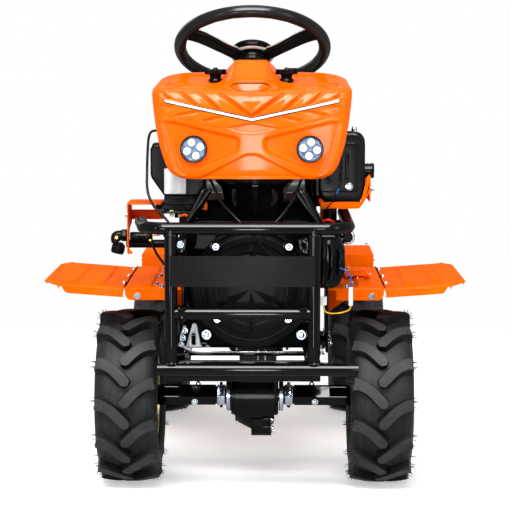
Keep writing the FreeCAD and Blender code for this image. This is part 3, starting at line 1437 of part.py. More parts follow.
# --------------------------------------------------------------------------------------
# Cables: each route is a list of points chosen by hand
# --------------------------------------------------------------------------------------
LAMP_LEAD_RIGHT = [
    (-132, -573, 790), (-132, -561.5, 790), (-128, -549, 783), (-120, -541.5, 766),
    (-107, -548, 741), (-93, -566, 718), (-82, -590, 697), (-69, -617, 676),
    (-46, -643, 655), (-19, -660.5, 630), (8, -661.5, 600), (34, -660, 572),
    (57, -665, 551), (74, -662.5, 534), (74, -650.8, 534),
]
LAMP_LEAD_LEFT = [
    (124.5, -573, 790), (124.5, -561.5, 790), (122, -549, 783), (117, -541.5, 765),
    (110, -549, 739), (103, -569, 719), (93, -599, 697), (80, -628, 674),
    (59, -655, 650), (35, -669, 625), (15, -669.8, 598), (2, -664, 571),
    (-8, -665, 549), (-12, -662.3, 532), (-12, -650.8, 532),
]
SIDE_CABLE = [
    (-206, -470, 802.6), (-206, -470, 819), (-217.5, -472, 830.7), (-234, -475, 830.7),
    (-245.5, -478.5, 819), (-247.5, -485, 797), (-249, -494, 768), (-248, -503, 737),
    (-249, -517, 706), (-242, -533, 680), (-220, -539, 655), (-196, -546, 635),
    (-181, -561, 610), (-172, -573, 587), (-166, -579, 571), (-151.3, -579, 571),
]
BLUE_WIRE = [
    (192, -542.3, 527), (192, -552.3, 527), (199, -559, 525), (210, -560, 519),
    (218, -558, 508), (218, -556, 496), (218, -556, 483.3),
]
YELLOW_WIRE = [
    (156, -600, 448.7), (156, -600, 438), (163, -595, 430.5), (177, -585, 427),
    (195, -573, 427), (210, -562, 429.5), (218, -556, 433.5), (218, -556, 440.7),
]
SHARE_OF_RUN = 0.45


def corner_arc(before, corner, after):
    """Start, middle and end of the arc that rounds a route's corner, and its radius."""
    back = (before - corner).normalize()
    ahead = (after - corner).normalize()
    shorter = min((before - corner).Length, (after - corner).Length)
    half_turn = (math.pi - back.getAngle(ahead)) / 2
    radius = SHARE_OF_RUN * shorter / math.tan(half_turn)
    inward = (back + ahead).normalize()
    middle = corner + inward * (radius / math.cos(half_turn) - radius)
    reach = SHARE_OF_RUN * shorter
    return corner + back * reach, middle, corner + ahead * reach, radius


def cord(label, diameter, points):
    """A round cable along straight runs joined by tangent arcs."""
    route = [Vector(*point) for point in points]
    edges, radii = [], []
    last = route[0]
    for before, corner, after in zip(route, route[1:], route[2:]):
        start, middle, end, radius = corner_arc(before, corner, after)
        edges.append(Part.LineSegment(last, start).toShape())
        edges.append(Part.Arc(start, middle, end).toShape())
        radii.append(radius)
        last = end
    edges.append(Part.LineSegment(last, route[-1]).toShape())
    path = Part.Wire(edges)
    thickness = float(sheet.get(diameter))
    section = Part.Circle(route[0], route[1] - route[0], thickness / 2).toShape()
    tube = path.makePipeShell([Part.Wire([section])], True, False)
    expected = math.pi * thickness**2 / 4 * path.Length
    if abs(tube.Volume / expected - 1) > 0.01:
        raise RuntimeError(f"{label} has a wrong volume")
    print(f"{label}: length {path.Length:.0f}, radii", [round(radius) for radius in radii])
    cable = add("Part::Feature", f"{label}_tube")
    cable.Shape = tube
    part(cable, label)


def make_cables():
    cord("lamp_lead_right", "lamp_lead_diameter", LAMP_LEAD_RIGHT)
    cord("lamp_lead_left", "lamp_lead_diameter", LAMP_LEAD_LEFT)
    cord("side_cable", "side_cable_diameter", SIDE_CABLE)
    cord("wire_blue", "wire_diameter", BLUE_WIRE)
    cord("wire_yellow", "wire_diameter", YELLOW_WIRE)


def make_wire_connectors():
    """A socket on the fan housing's side, and a plug that the two wires meet in."""
    half = "plug_width/2"
    plug_x, plug_y, plug_top = BLUE_WIRE[-1]
    socket_x, socket_y, socket_bottom = YELLOW_WIRE[0]
    side = "shroud_width/2-4"
    plug = box("wire_plug", "plug_width", "plug_width", "plug_length",
               f"{plug_x}-{half}", f"{plug_y}-{half}", f"{plug_top}-fit_gap-plug_length")
    socket = box("wire_socket", f"{socket_x}+7-({side})", "16", "19",
                 side, f"{socket_y}-8", f"{socket_bottom}+fit_gap")
    part(group("connectors", plug, socket), "wire_connectors")


# --------------------------------------------------------------------------------------
# Build, check and write
# --------------------------------------------------------------------------------------
def check_and_export():
    doc.recompute()
    failed = [item.Name for item in doc.Objects
              if "Invalid" in item.State or "Error" in item.State]
    if failed:
        raise RuntimeError("failed objects: " + ", ".join(failed))
    os.makedirs("parts", exist_ok=True)
    for item in PARTS:
        shape = item.Shape
        if shape.isNull() or not shape.isValid() or not shape.Solids:
            raise RuntimeError("bad shape: " + item.Label)
    for item in PARTS:
        item.Shape.exportStep(f"parts/{item.Label}.step")
    print(len(PARTS), "sub-parts written")


make_wheels()
make_front_gearbox()
make_rear_gearbox()
make_front_chassis()
make_knuckle()
make_guard()
make_engine()
make_exhaust()
make_muffler_bracket()
make_column_support()
make_battery_box()
make_fuel_tank()
make_hood()
make_steering()
make_transmission()
make_foot_plates()
make_controls()
make_rear_chassis()
make_deck()
make_seat()
make_hitch()
make_cables()
make_wire_connectors()
check_and_export()
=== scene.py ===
"""Visual model of a small ride-on tractor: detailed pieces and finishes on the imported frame."""

import json
import math
import random
from contextlib import contextmanager

import bmesh
import bpy
import numpy as np
from bpy.props import FloatProperty, FloatVectorProperty, IntProperty, PointerProperty
from bpy.types import Operator, Panel, PropertyGroup
from mathutils import Matrix, Vector

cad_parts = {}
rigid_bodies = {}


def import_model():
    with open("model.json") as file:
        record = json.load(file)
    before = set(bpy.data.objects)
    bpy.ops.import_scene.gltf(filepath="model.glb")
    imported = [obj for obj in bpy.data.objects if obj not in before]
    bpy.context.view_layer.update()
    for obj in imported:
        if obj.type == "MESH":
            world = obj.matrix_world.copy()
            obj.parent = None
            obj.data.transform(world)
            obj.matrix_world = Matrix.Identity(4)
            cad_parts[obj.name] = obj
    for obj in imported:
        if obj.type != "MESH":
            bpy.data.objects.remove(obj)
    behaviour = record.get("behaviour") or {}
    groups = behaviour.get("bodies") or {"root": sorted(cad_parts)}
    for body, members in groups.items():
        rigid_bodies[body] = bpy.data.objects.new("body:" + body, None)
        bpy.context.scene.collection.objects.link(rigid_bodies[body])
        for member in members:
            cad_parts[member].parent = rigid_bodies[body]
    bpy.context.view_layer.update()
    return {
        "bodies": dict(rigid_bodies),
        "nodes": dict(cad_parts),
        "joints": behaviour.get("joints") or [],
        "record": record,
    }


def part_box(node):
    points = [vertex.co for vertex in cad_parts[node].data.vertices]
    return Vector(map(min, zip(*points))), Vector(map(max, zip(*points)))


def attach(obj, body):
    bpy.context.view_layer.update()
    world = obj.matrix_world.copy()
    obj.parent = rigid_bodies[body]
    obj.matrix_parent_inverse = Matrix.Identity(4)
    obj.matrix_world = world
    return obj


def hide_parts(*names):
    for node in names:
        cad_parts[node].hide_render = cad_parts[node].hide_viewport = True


bl_info = {"name": "Mini tractor", "version": (1, 0, 0), "blender": (4, 5, 0),
    "location": "3D View > Sidebar > Tractor",
    "description": "Builds the tractor's visible pieces and their finishes on its frame",
    "category": "Object"}

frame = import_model()
NODES = frame["nodes"]
MM = 0.001


def size(name, default, description):
    """A length property, given in millimetres and kept in metres."""
    return FloatProperty(name=name, description=description, default=default * MM, min=0.0,
        subtype="DISTANCE", unit="LENGTH")


def tint(name, shade, description):
    """A colour property from sRGB values of 0 to 255."""
    return FloatVectorProperty(name=name, description=description, subtype="COLOR", size=3,
        min=0.0, max=1.0, default=linear(shade))


def linear(shade):
    """Scene-linear red, green and blue of an sRGB colour."""
    values = [part / 255 for part in shade]
    return tuple(v / 12.92 if v <= 0.04045 else ((v + 0.055) / 1.055) ** 2.4 for v in values)


# ------------------------------------------------------------------------------------
# Modelling helpers: lengths in millimetres
# ------------------------------------------------------------------------------------
TURN = {"x": (0, math.pi / 2, 0), "y": (-math.pi / 2, 0, 0), "z": (0, 0, 0)}


def metres(point):
    return tuple(value * MM for value in point)


def extent(node):
    """Lowest and highest corners of a frame part, in millimetres."""
    return (tuple(value / MM for value in corner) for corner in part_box(node))


def nothing_selected():
    if bpy.context.mode != "OBJECT":
        bpy.ops.object.mode_set(mode="OBJECT")
    bpy.ops.object.select_all(action="DESELECT")


def only(first, *others):
    """Selects these alone, with the first one active."""
    nothing_selected()
    for piece in (first, *others):
        piece.select_set(True)
    bpy.context.view_layer.objects.active = first
    return first


def settle(piece):
    """Puts a piece's place into its mesh and its origin at the world's."""
    only(piece)
    bpy.ops.object.transform_apply(location=True, rotation=True, scale=True)
    return piece


def added():
    """The primitive that was added last, settled."""
    return settle(bpy.context.object)


@contextmanager
def editing(piece):
    """Edit mode on one piece, with all of it selected."""
    only(piece)
    bpy.ops.object.mode_set(mode="EDIT")
    bpy.ops.mesh.select_all(action="SELECT")
    yield
    bpy.ops.object.mode_set(mode="OBJECT")


def merged(piece, gap=0.01):
    """Joins points nearer than a gap and turns all faces outward."""
    with editing(piece):
        bpy.ops.mesh.remove_doubles(threshold=gap * MM)
        bpy.ops.mesh.normals_make_consistent(inside=False)
    return piece


def flipped(piece):
    """Turns all faces the other way."""
    with editing(piece):
        bpy.ops.mesh.flip_normals()
    return piece


def cylinder(at, radius, length, axis="z", sides=40, top=None):
    """A round bar or, with a top radius, a taper, about its middle."""
    nothing_selected()
    shape = {"vertices": sides, "depth": length * MM, "location": metres(at),
        "rotation": TURN[axis]}
    if top is None:
        bpy.ops.mesh.primitive_cylinder_add(radius=radius * MM, **shape)
    else:
        bpy.ops.mesh.primitive_cone_add(radius1=radius * MM, radius2=top * MM, **shape)
    return added()


def hexagon(at, flats, length, axis="z", turn=0):
    piece = cylinder(at, flats / math.sqrt(3), length, axis, 6)
    if turn:
        spin_about(piece, turn, axis, at)
    return piece


def block(low, high):
    nothing_selected()
    middle = [(a + b) / 2 for a, b in zip(low, high)]
    bpy.ops.mesh.primitive_cube_add(size=MM, location=metres(middle),
                                    scale=[b - a for a, b in zip(low, high)])
    return added()


def ring(at, radius, thick, axis="y", sides=64, around=14):
    nothing_selected()
    bpy.ops.mesh.primitive_torus_add(location=metres(at), rotation=TURN[axis],
        major_radius=radius * MM, minor_radius=thick * MM, major_segments=sides,
        minor_segments=around)
    return added()


def moved(piece, by):
    only(piece)
    bpy.ops.transform.translate(value=metres(by))
    return settle(piece)


def spin_about(piece, degrees, axis, at):
    """Turns a piece about a point, right-handed about the axis."""
    only(piece)
    pivot = Vector(metres(at))
    turn = Matrix.Rotation(math.radians(degrees), 4, axis.upper())
    piece.matrix_world = (
        Matrix.Translation(pivot) @ turn @ Matrix.Translation(-pivot) @ piece.matrix_world)
    return settle(piece)


def mirrored(piece):
    """A copy on the tractor's other side, with its own mesh and faces outward."""
    twin = copied(piece)
    twin.matrix_world = Matrix.Diagonal((-1, 1, 1, 1))
    return outward(settle(twin))


def removed(*pieces):
    only(*pieces)
    bpy.ops.object.delete()


def handed(piece, side):
    """The piece itself on the left, or its mirror image in its place on the right."""
    if side > 0:
        return piece
    twin = mirrored(piece)
    removed(piece)
    return twin


def copied(piece):
    only(piece)
    bpy.ops.object.duplicate(linked=False)
    return bpy.context.object


def outward(piece):
    """Recalculates the normals of a closed mesh."""
    with editing(piece):
        bpy.ops.mesh.normals_make_consistent(inside=False)
    return piece


def joined(*parts):
    only(*parts)
    if len(parts) > 1:
        bpy.ops.object.join()
    return bpy.context.object


def modified(piece, kind, **settings):
    """Adds a modifier and applies it."""
    only(piece)
    change = piece.modifiers.new(kind.lower(), kind)
    for key, value in settings.items():
        setattr(change, key, value)
    bpy.ops.object.modifier_apply(modifier=change.name)
    return piece


def softened(piece, width, segments=2, angle=38):
    return modified(piece, "BEVEL", width=width * MM, segments=segments, limit_method="ANGLE",
        angle_limit=math.radians(angle))


def cut(piece, *tools):
    for tool in tools:
        modified(piece, "BOOLEAN", operation="DIFFERENCE", solver="EXACT", object=tool)
        removed(tool)
    return only(piece)


def rounded(points):
    """Closed outline from (a, b) or (a, b, radius) corners, each radius made an arc."""
    out = []
    count = len(points)
    for index, corner in enumerate(points):
        here = Vector(corner[:2])
        radius = corner[2] if len(corner) > 2 else 0
        back = Vector(points[index - 1][:2]) - here
        ahead = Vector(points[(index + 1) % count][:2]) - here
        if not radius:
            out.append(tuple(here))
            continue
        angle = back.angle(ahead)
        reach = min(radius / math.tan(angle / 2), back.length * 0.49, ahead.length * 0.49)
        start = here + back.normalized() * reach
        finish = here + ahead.normalized() * reach
        for step in range(7):
            t = step / 6
            out.append(tuple(start * (1 - t) ** 2 + here * 2 * t * (1 - t) + finish * t * t))
    return out


def new_curve(kind):
    """An empty curve object to fill."""
    nothing_selected()
    bpy.ops.curve.primitive_bezier_circle_add(radius=1)
    curve = bpy.context.object.data
    curve.splines.clear()
    curve.dimensions = kind
    return bpy.context.object, curve


def as_mesh(piece):
    only(piece)
    bpy.ops.object.convert(target="MESH")
    return bpy.context.object


def points_of(mesh):
    """A mesh's points, one a row, in metres."""
    return np.array([vertex.co[:] for vertex in mesh.vertices])


def set_points(piece, spots):
    """Puts a piece's points at these places, in metres."""
    piece.data.vertices.foreach_set("co", spots.astype(np.float32).ravel())
    piece.data.update()
    return piece


def plate(outline, thick, faces="y", at=0, holes=(), soft=0.5, steps=1):
    """A sheet cut to an outline. faces is the axis that it faces: x gives (y, z) outlines,
    y gives (x, z), and z gives (x, y). at is its middle along that axis."""
    piece, curve = new_curve("2D")
    curve.fill_mode = "BOTH"
    curve.extrude = (thick / 2 - soft) * MM
    curve.bevel_depth = soft * MM
    curve.bevel_resolution = steps
    curve.offset = -soft * MM
    for loop in (outline, *holes):
        line = rounded(loop)
        spline = curve.splines.new("POLY")
        spline.points.add(len(line) - 1)
        for point, (a, b) in zip(spline.points, line):
            point.co = (a * MM, b * MM, 0, 1)
        spline.use_cyclic_u = True
    piece = as_mesh(piece)
    rows = {"x": ((0, 0, 1, at * MM), (1, 0, 0, 0), (0, 1, 0, 0)),
            "y": ((1, 0, 0, 0), (0, 0, -1, at * MM), (0, 1, 0, 0)),
            "z": ((1, 0, 0, 0), (0, 1, 0, 0), (0, 0, 1, at * MM))}
    piece.matrix_world = Matrix((*rows[faces], (0, 0, 0, 1)))
    return merged(settle(piece))


def flowing(curve, points, smooth=True, closed=False):
    """A line through a curve's points; smooth rounds it as one flowing line."""
    spline = curve.splines.new("NURBS" if smooth else "POLY")
    spline.points.add(len(points) - 1)
    for point, place in zip(spline.points, points):
        point.co = (*metres(place), 1)
    spline.order_u = 3
    spline.use_endpoint_u = not closed
    spline.use_cyclic_u = closed


def tube(points, radius, smooth=True, sides=6, closed=False):
    """A round bar along points; smooth runs it as one flowing line."""
    piece, curve = new_curve("3D")
    curve.bevel_depth = radius * MM
    curve.bevel_resolution = sides
    curve.use_fill_caps = not closed
    curve.resolution_u = 10
    flowing(curve, points, smooth, closed)
    return outward(settle(as_mesh(piece)))


def turned(profile, at=(0, 0, 0), axis="x", steps=72):
    """A form spun from (radius, along) points about an axis through at."""
    nothing_selected()
    bpy.ops.mesh.primitive_plane_add(size=MM)
    piece = bpy.context.object
    out = (0, 0, 1) if axis == "x" else (1, 0, 0)
    direction = [float(axis == each) for each in "xyz"]
    with editing(piece):
        mesh = bmesh.from_edit_mesh(piece.data)
        bmesh.ops.delete(mesh, geom=mesh.verts[:], context="VERTS")
        last = None
        for radius, along in profile:
            place = [radius * o + along * d for o, d in zip(out, direction)]
            vertex = mesh.verts.new(metres(place))
            if last:
                mesh.edges.new((last, vertex))
            last = vertex
        bmesh.update_edit_mesh(piece.data)
        bpy.ops.mesh.select_all(action="SELECT")
        bpy.ops.mesh.spin(steps=steps, angle=math.tau, center=(0, 0, 0), axis=direction)
    return moved(merged(piece), at)


def painted(piece, finish):
    piece.data.materials.clear()
    piece.data.materials.append(FINISH[finish])
    return piece


def second_finish(piece, finish, wanted):
    """Gives another finish to the faces that a rule picks by middle (mm) and outward way."""
    piece.data.materials.append(FINISH[finish])
    number = len(piece.data.materials) - 1
    for face in piece.data.polygons:
        if wanted(face.center / MM, face.normal):
            face.material_index = number
    return piece


class Parts(list):
    """Finished parts that are joined as one piece."""

    def add(self, finish, *made):
        self.extend(painted(part, finish) for part in made)
        return self

    def bar(self, finish, low, high, soft, segments=2):
        """A block with eased edges."""
        return self.add(finish, softened(block(low, high), soft, segments))

    def rod(self, finish, at, radius, length, axis, sides, soft):
        """A round bar with eased ends."""
        return self.add(finish, softened(cylinder(at, radius, length, axis, sides), soft))

    def done(self, name, body, slot=None, replaces=(), smooth=34):
        return piece(joined(*self), name, body, slot, replaces, None, smooth)


def bolt(at, head, axis, way, tall=6, kind="zinc", washer=True):
    """A flanged hexagon bolt; way is the side of the axis that its head points to."""
    def out(rise):
        spot = list(at)
        spot["xyz".index(axis)] += way * rise
        return spot

    turn = round(at[0] * 7 + at[2] * 3) % 60
    parts = [softened(cylinder(out(1), head * 0.72, 2, axis, 28), 0.5, 1)] if washer else []
    parts.append(softened(hexagon(out(tall / 2 + 1.5), head * 0.8, tall - 1, axis, turn), 0.7))
    parts.append(cylinder(out(tall + 0.9), head * 0.22, 1.4, axis, 16))
    return painted(joined(*parts), kind)


def weld(points, radius=2.4, seed=1):
    """A bead of weld with its ripples along points."""
    bead = tube(points, radius, sides=3)
    ripple = np.random.default_rng(seed)
    for vertex in bead.data.vertices:
        vertex.co += vertex.normal * float(ripple.uniform(-0.0005, 0.0005))
    return painted(bead, "black_paint")


def piece(obj, name, body, slot=None, replaces=(), finish=None, smooth=34):
    """Names a piece, places it, and says which body carries it."""
    settle(obj)
    obj.name = obj.data.name = name
    if finish:
        painted(obj, finish)
    if smooth:
        only(obj)
        bpy.ops.object.shade_smooth_by_angle(angle=math.radians(smooth))
    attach(obj, body)
    if replaces:
        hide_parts(*replaces)
    return obj


def inside(points, polygon):
    """Signed distance of (a, b) points to a polygon's edge, positive within it."""
    points = np.asarray(points, float)
    corners = np.asarray(polygon, float)
    nearest = np.full(len(points), 1e9)
    within = np.zeros(len(points), bool)
    for first, second in zip(corners, np.roll(corners, -1, 0)):
        edge = second - first
        along = np.clip(((points - first) @ edge) / max(edge @ edge, 1e-12), 0, 1)
        nearest = np.minimum(nearest, np.hypot(*(points - first - along[:, None] * edge).T))
        crosses = (first[1] > points[:, 1]) != (second[1] > points[:, 1])
        rise = second[1] - first[1]
        rise = rise if abs(rise) > 1e-12 else 1e-12
        reach = first[0] + (points[:, 1] - first[1]) / rise * edge[0]
        within ^= crosses & (points[:, 0] < reach)
    return np.where(within, nearest, -nearest)


def line_gap(points, first, second):
    """Distance of (a, b) points to a straight run."""
    points = np.asarray(points, float)
    first, second = np.asarray(first, float), np.asarray(second, float)
    edge = second - first
    along = np.clip(((points - first) @ edge) / (edge @ edge), 0, 1)
    return np.hypot(*(points - first - along[:, None] * edge).T)


def ease(value, start, end):
    """0 at start, 1 at end, smooth between."""
    t = np.clip((value - start) / (end - start), 0, 1)
    return t * t * (3 - 2 * t)


# ------------------------------------------------------------------------------------
# Finishes
# ------------------------------------------------------------------------------------
class Signal:
    """A node's output that can be written in sums."""

    def __init__(self, web, socket):
        self.web, self.socket = web, socket

    def combined(self, operation, first, second):
        return self.web.node("ShaderNodeMath", {"operation": operation}, {0: first, 1: second})

    def __add__(self, other):
        return self.combined("ADD", self, other)

    __radd__ = __add__

    def __sub__(self, other):
        return self.combined("SUBTRACT", self, other)

    def __rsub__(self, other):
        return self.combined("SUBTRACT", other, self)

    def __mul__(self, other):
        return self.combined("MULTIPLY", self, other)

    __rmul__ = __mul__

    def most(self, other):
        return self.combined("MAXIMUM", self, other)

    def between(self, start, end):
        """0 up to start and 1 from end, smooth between."""
        return self.web.node("ShaderNodeMapRange", {"interpolation_type": "SMOOTHSTEP"},
            {"Value": self, "From Min": start, "From Max": end})


class Tree:
    """The nodes of a material or of the world, from nothing but its output."""

    def __init__(self, owner, kind):
        owner.use_nodes = True
        self.nodes, self.links = owner.node_tree.nodes, owner.node_tree.links
        self.nodes.clear()
        self.output = self.nodes.new(f"ShaderNodeOutput{kind}")

    def node(self, kind, settings=None, values=None, out=0):
        made = self.nodes.new(kind)
        for key, value in (settings or {}).items():
            setattr(made, key, value)
        for key, value in (values or {}).items():
            if isinstance(value, Signal):
                self.links.new(value.socket, made.inputs[key])
            else:
                made.inputs[key].default_value = value
        return Signal(self, made.outputs[out])

    def surface(self, signal):
        self.links.new(signal.socket, self.output.inputs[0])

    def to_the_eye(self):
        """1 for what the camera sees, straight or in gloss or glass, and 0 for light."""
        camera, glossy, glass = (self.node("ShaderNodeLightPath", out=f"Is {kind} Ray")
                                 for kind in ("Camera", "Glossy", "Transmission"))
        return camera.most(glossy).most(glass)

    def either(self, factor, first, second):
        return self.node("ShaderNodeMixShader", None, {0: factor, 1: first, 2: second})


class Web(Tree):
    """A material's nodes, ending in one shader whose fixed values are set here."""

    def __init__(self, name, **fixed):
        self.material = bpy.data.materials.new(name)
        super().__init__(self.material, "Material")
        self.shader = self.nodes.new("ShaderNodeBsdfPrincipled")
        self.lit = Signal(self, self.shader.outputs[0])
        self.surface(self.lit)
        self.place = self.node("ShaderNodeTexCoord", out="Object")
        self.ends(**fixed)

    def stretched(self, scale):
        return self.node("ShaderNodeMapping", None, {"Vector": self.place, "Scale": scale})

    def noise(self, scale, detail=2.0, rough=0.5, place=None):
        return self.node("ShaderNodeTexNoise", None, {"Vector": place or self.place,
            "Scale": scale, "Detail": detail, "Roughness": rough})

    def cells(self, scale, out="Distance"):
        return self.node("ShaderNodeTexVoronoi", None, {"Vector": self.place, "Scale": scale}, out)

    def mix(self, first, second, factor):
        first, second = ((*colour, 1) if isinstance(colour, tuple) else colour
                         for colour in (first, second))
        return self.node("ShaderNodeMix", {"data_type": "RGBA"}, {0: factor, 6: first, 7: second},
            2)

    def tones(self, colour, low, high, factor):
        """A mix of two depths of one colour."""
        return self.mix(shade_of(colour, low), shade_of(colour, high), factor)

    def relief(self, height, strength, depth, after=None):
        values = {"Height": height, "Strength": strength, "Distance": depth}
        if after:
            values["Normal"] = after
        return self.node("ShaderNodeBump", None, values)

    def ends(self, **values):
        """Sets or feeds the shader's sockets and gives the material."""
        for key, value in values.items():
            socket = self.shader.inputs[key.replace("_", " ").title().replace("Ior", "IOR")]
            if isinstance(value, Signal):
                self.links.new(value.socket, socket)
            else:
                socket.default_value = (*value, 1) if isinstance(value, tuple) else value
        return self.material


FINISH = {}


def shade_of(colour, times):
    return tuple(min(1.0, part * times) for part in colour)


def coated(name, coat, rough):
    """A material whose only gloss is a clear coat."""
    return Web(name, specular_ior_level=0.0, coat_weight=coat, coat_roughness=rough)


def orange_paint(colour, name="orange_paint", coat=0.15):
    """Gloss powder coat: a faint ripple, slow changes of depth, and dust in the low places."""
    web = coated(name, coat, 0.08)
    slow = web.noise(7, 3, 0.55)
    base = web.tones(colour, 0.9, 1.06, slow.between(0.3, 0.7))
    specks = web.noise(240, 2, 0.6).between(0.72, 0.8)
    base = web.mix(base, shade_of(colour, 0.72), specks * 0.35)
    ripple = web.relief(web.noise(420, 1, 0.4), 0.04, 0.0004)
    return web.ends(base_color=base, roughness=0.27 + slow * 0.08,
        normal=web.relief(web.noise(26, 1, 0.4), 0.05, 0.002, ripple))


def black_paint(colour, name="black_paint", coat=0.18):
    """Gloss black over welded steel tube."""
    web = coated(name, coat, 0.07)
    slow = web.noise(9, 3, 0.6)
    base = web.tones(colour, 0.7, 1.5, slow.between(0.35, 0.75))
    dust = web.noise(160, 3, 0.7).between(0.7, 0.8)
    base = web.mix(base, linear((62, 58, 54)), dust * 0.12)
    ripple = web.relief(web.noise(340, 2, 0.5), 0.03, 0.0004)
    return web.ends(base_color=base, roughness=0.2 + slow * 0.14,
        normal=web.relief(web.noise(30, 1, 0.5), 0.03, 0.002, ripple))


def satin_black(colour, name="satin_plate", coat=0.02):
    """Satin powder coat on flat sheet, with a fine even grain."""
    web = coated(name, coat, 0.22)
    grain = web.noise(900, 2, 0.6)
    base = web.tones(colour, 0.85, 1.25, web.noise(8, 2, 0.5).between(0.3, 0.7))
    rub = web.noise(14, 4, 0.7, web.stretched((1, 1, 9))).between(0.66, 0.8)
    return web.ends(base_color=web.mix(base, shade_of(colour, 2.1), rub * 0.25),
        roughness=0.42 + grain * 0.12, normal=web.relief(grain, 0.12, 0.0003))


def black_casting(colour):
    """Painted iron casting: coarse sand texture under thick paint."""
    web = coated("black_casting", 0.14, 0.18)
    sand = web.noise(230, 4, 0.65)
    slow = web.noise(12, 3, 0.6)
    base = web.tones(colour, 0.7, 1.9, slow.between(0.35, 0.8))
    dust = (sand * slow).between(0.3, 0.42)
    sanded = web.relief(sand, 0.25, 0.0005)
    return web.ends(base_color=web.mix(base, linear((70, 66, 62)), dust * 0.14),
        roughness=0.3 + slow * 0.2, normal=web.relief(web.noise(45, 2, 0.5), 0.2, 0.0016, sanded))


def black_plastic(colour):
    """Moulded plastic with a pebbled grain."""
    web = coated("black_plastic", 0.07, 0.18)
    slow = web.noise(11, 3, 0.6)
    base = web.tones(colour, 0.75, 1.4, slow.between(0.3, 0.75))
    scuff = web.noise(60, 4, 0.75, web.stretched((1, 4, 1))).between(0.68, 0.78)
    return web.ends(base_color=web.mix(base, shade_of(colour, 2.4), scuff * 0.18),
        roughness=0.34 + slow * 0.14, normal=web.relief(web.cells(700), 0.14, 0.0003))


def rubber(colour, name="tyre_rubber", dusty=0.16, lines=0.0):
    """Tyre rubber: dull, with moulded vent lines, fine grain and pale dust on the flanks."""
    web = Web(name, specular_ior_level=0.09)
    x = web.node("ShaderNodeSeparateXYZ", None, {0: web.place})
    grain = web.noise(420, 3, 0.65)
    base = web.tones(colour, 0.72, 1.55, web.noise(16, 4, 0.6).between(0.3, 0.72))
    dust = web.noise(70, 5, 0.75).between(0.6, 0.78)
    base = web.mix(base, linear((96, 92, 88)), dust * dusty)
    line = web.node("ShaderNodeMath", {"operation": "PINGPONG"}, {0: x + 0.0035, 1: 0.0085})
    seam = line.between(0.0, 0.0015)
    base = web.mix(shade_of(colour, 0.3), base, (1 - lines) + seam * lines)
    grained = web.relief(grain, 0.22, 0.0004)
    return web.ends(base_color=base, roughness=0.5 + grain * 0.2,
        normal=web.relief(seam, 0.25, 0.0006, grained))


def cable_skin(name, colour, rough=0.4):
    """Cable sheath, with faint print-free scuffs."""
    web = Web(name, specular_ior_level=0.02, coat_weight=0.06, coat_roughness=0.15)
    slow = web.noise(60, 3, 0.6)
    return web.ends(base_color=web.tones(colour, 0.8, 1.25, slow.between(0.3, 0.7)),
        roughness=rough + slow * 0.12, normal=web.relief(web.noise(800, 2, 0.5), 0.1, 0.0002))


def plating(name, colour, second, rough=0.24, grime=0.3):
    """Zinc-plated steel: two drifting tones, turning marks and grime specks."""
    web = Web(name, metallic=1.0)
    slow = web.noise(38, 4, 0.65)
    base = web.mix(colour, second, slow.between(0.35, 0.68))
    marks = web.noise(300, 2, 0.6, web.stretched((1, 1, 5)))
    dirt = web.noise(130, 5, 0.75).between(0.6, 0.76)
    return web.ends(base_color=web.mix(base, linear((58, 54, 50)), dirt * grime),
        roughness=rough + slow * 0.14 + dirt * 0.2, normal=web.relief(marks, 0.12, 0.0003))


def cast_aluminium(colour):
    """Bare sand-cast aluminium."""
    web = Web("cast_aluminium", metallic=0.85)
    sand = web.noise(330, 4, 0.7)
    base = web.tones(colour, 0.75, 1.1, web.noise(30, 4, 0.6).between(0.3, 0.7))
    stain = web.noise(55, 4, 0.7).between(0.62, 0.78)
    return web.ends(base_color=web.mix(base, linear((92, 88, 84)), stain * 0.5),
        roughness=0.38 + sand * 0.2, normal=web.relief(sand, 0.3, 0.0006))


def white_nylon(colour):
    """Connector nylon, slightly waxy."""
    web = Web("white_nylon", subsurface_weight=0.08, specular_ior_level=0.45)
    slow = web.noise(120, 3, 0.6)
    return web.ends(base_color=web.tones(colour, 0.86, 1, slow.between(0.25, 0.6)),
        roughness=0.32 + slow * 0.1, normal=web.relief(web.noise(600, 2, 0.5), 0.08, 0.0002))


def paper_label(colour):
    """Blank paper label under a clear film, lightly creased."""
    web = Web("paper_label", coat_weight=0.3, coat_roughness=0.15)
    slow = web.noise(45, 4, 0.6)
    return web.ends(base_color=web.tones(colour, 0.84, 1, slow.between(0.3, 0.62)),
        roughness=0.4 + slow * 0.1, normal=web.relief(web.noise(35, 3, 0.5), 0.15, 0.0006))


def lamp_reflector(colour):
    """Faceted reflector bowl whose mirror look is painted: a cool blue-grey, each facet lighter or
    darker as a painted reflection.
    """
    web = coated("lamp_reflector", 0.06, 0.15)
    # painted reflection: a random tone for each facet stands in for what a mirror would reflect
    value = web.node("ShaderNodeSeparateColor", None, {0: web.cells(230, "Color")})
    return web.ends(base_color=web.tones(colour, 0.45, 1.25, value), roughness=0.12 + value * 0.08,
        normal=web.relief(value, 0.22, 0.0012))


def lamp_glow(colour, strength=0.3):
    """Lit emitter: pale yellow middle and white surround."""
    web = Web("lamp_glow", roughness=0.25, emission_strength=strength)
    glow = web.tones(colour, 1, 1.12, web.noise(160, 2, 0.5).between(0.35, 0.6))
    return web.ends(base_color=glow, emission_color=glow)


def white_trim(colour):
    """Bright inlay bar with faint dots under a clear skin; in a paler grey it also paints
    highlights on the steering wheel's edges.
    """
    web = Web("white_trim", coat_weight=0.4, coat_roughness=0.1)
    dots = web.noise(260, 2, 0.6).between(0.62, 0.7)
    return web.ends(base_color=web.mix(colour, linear((250, 205, 200)), dots * 0.5),
        roughness=0.3 + dots * 0.1, normal=web.relief(dots, 0.06, 0.0002))


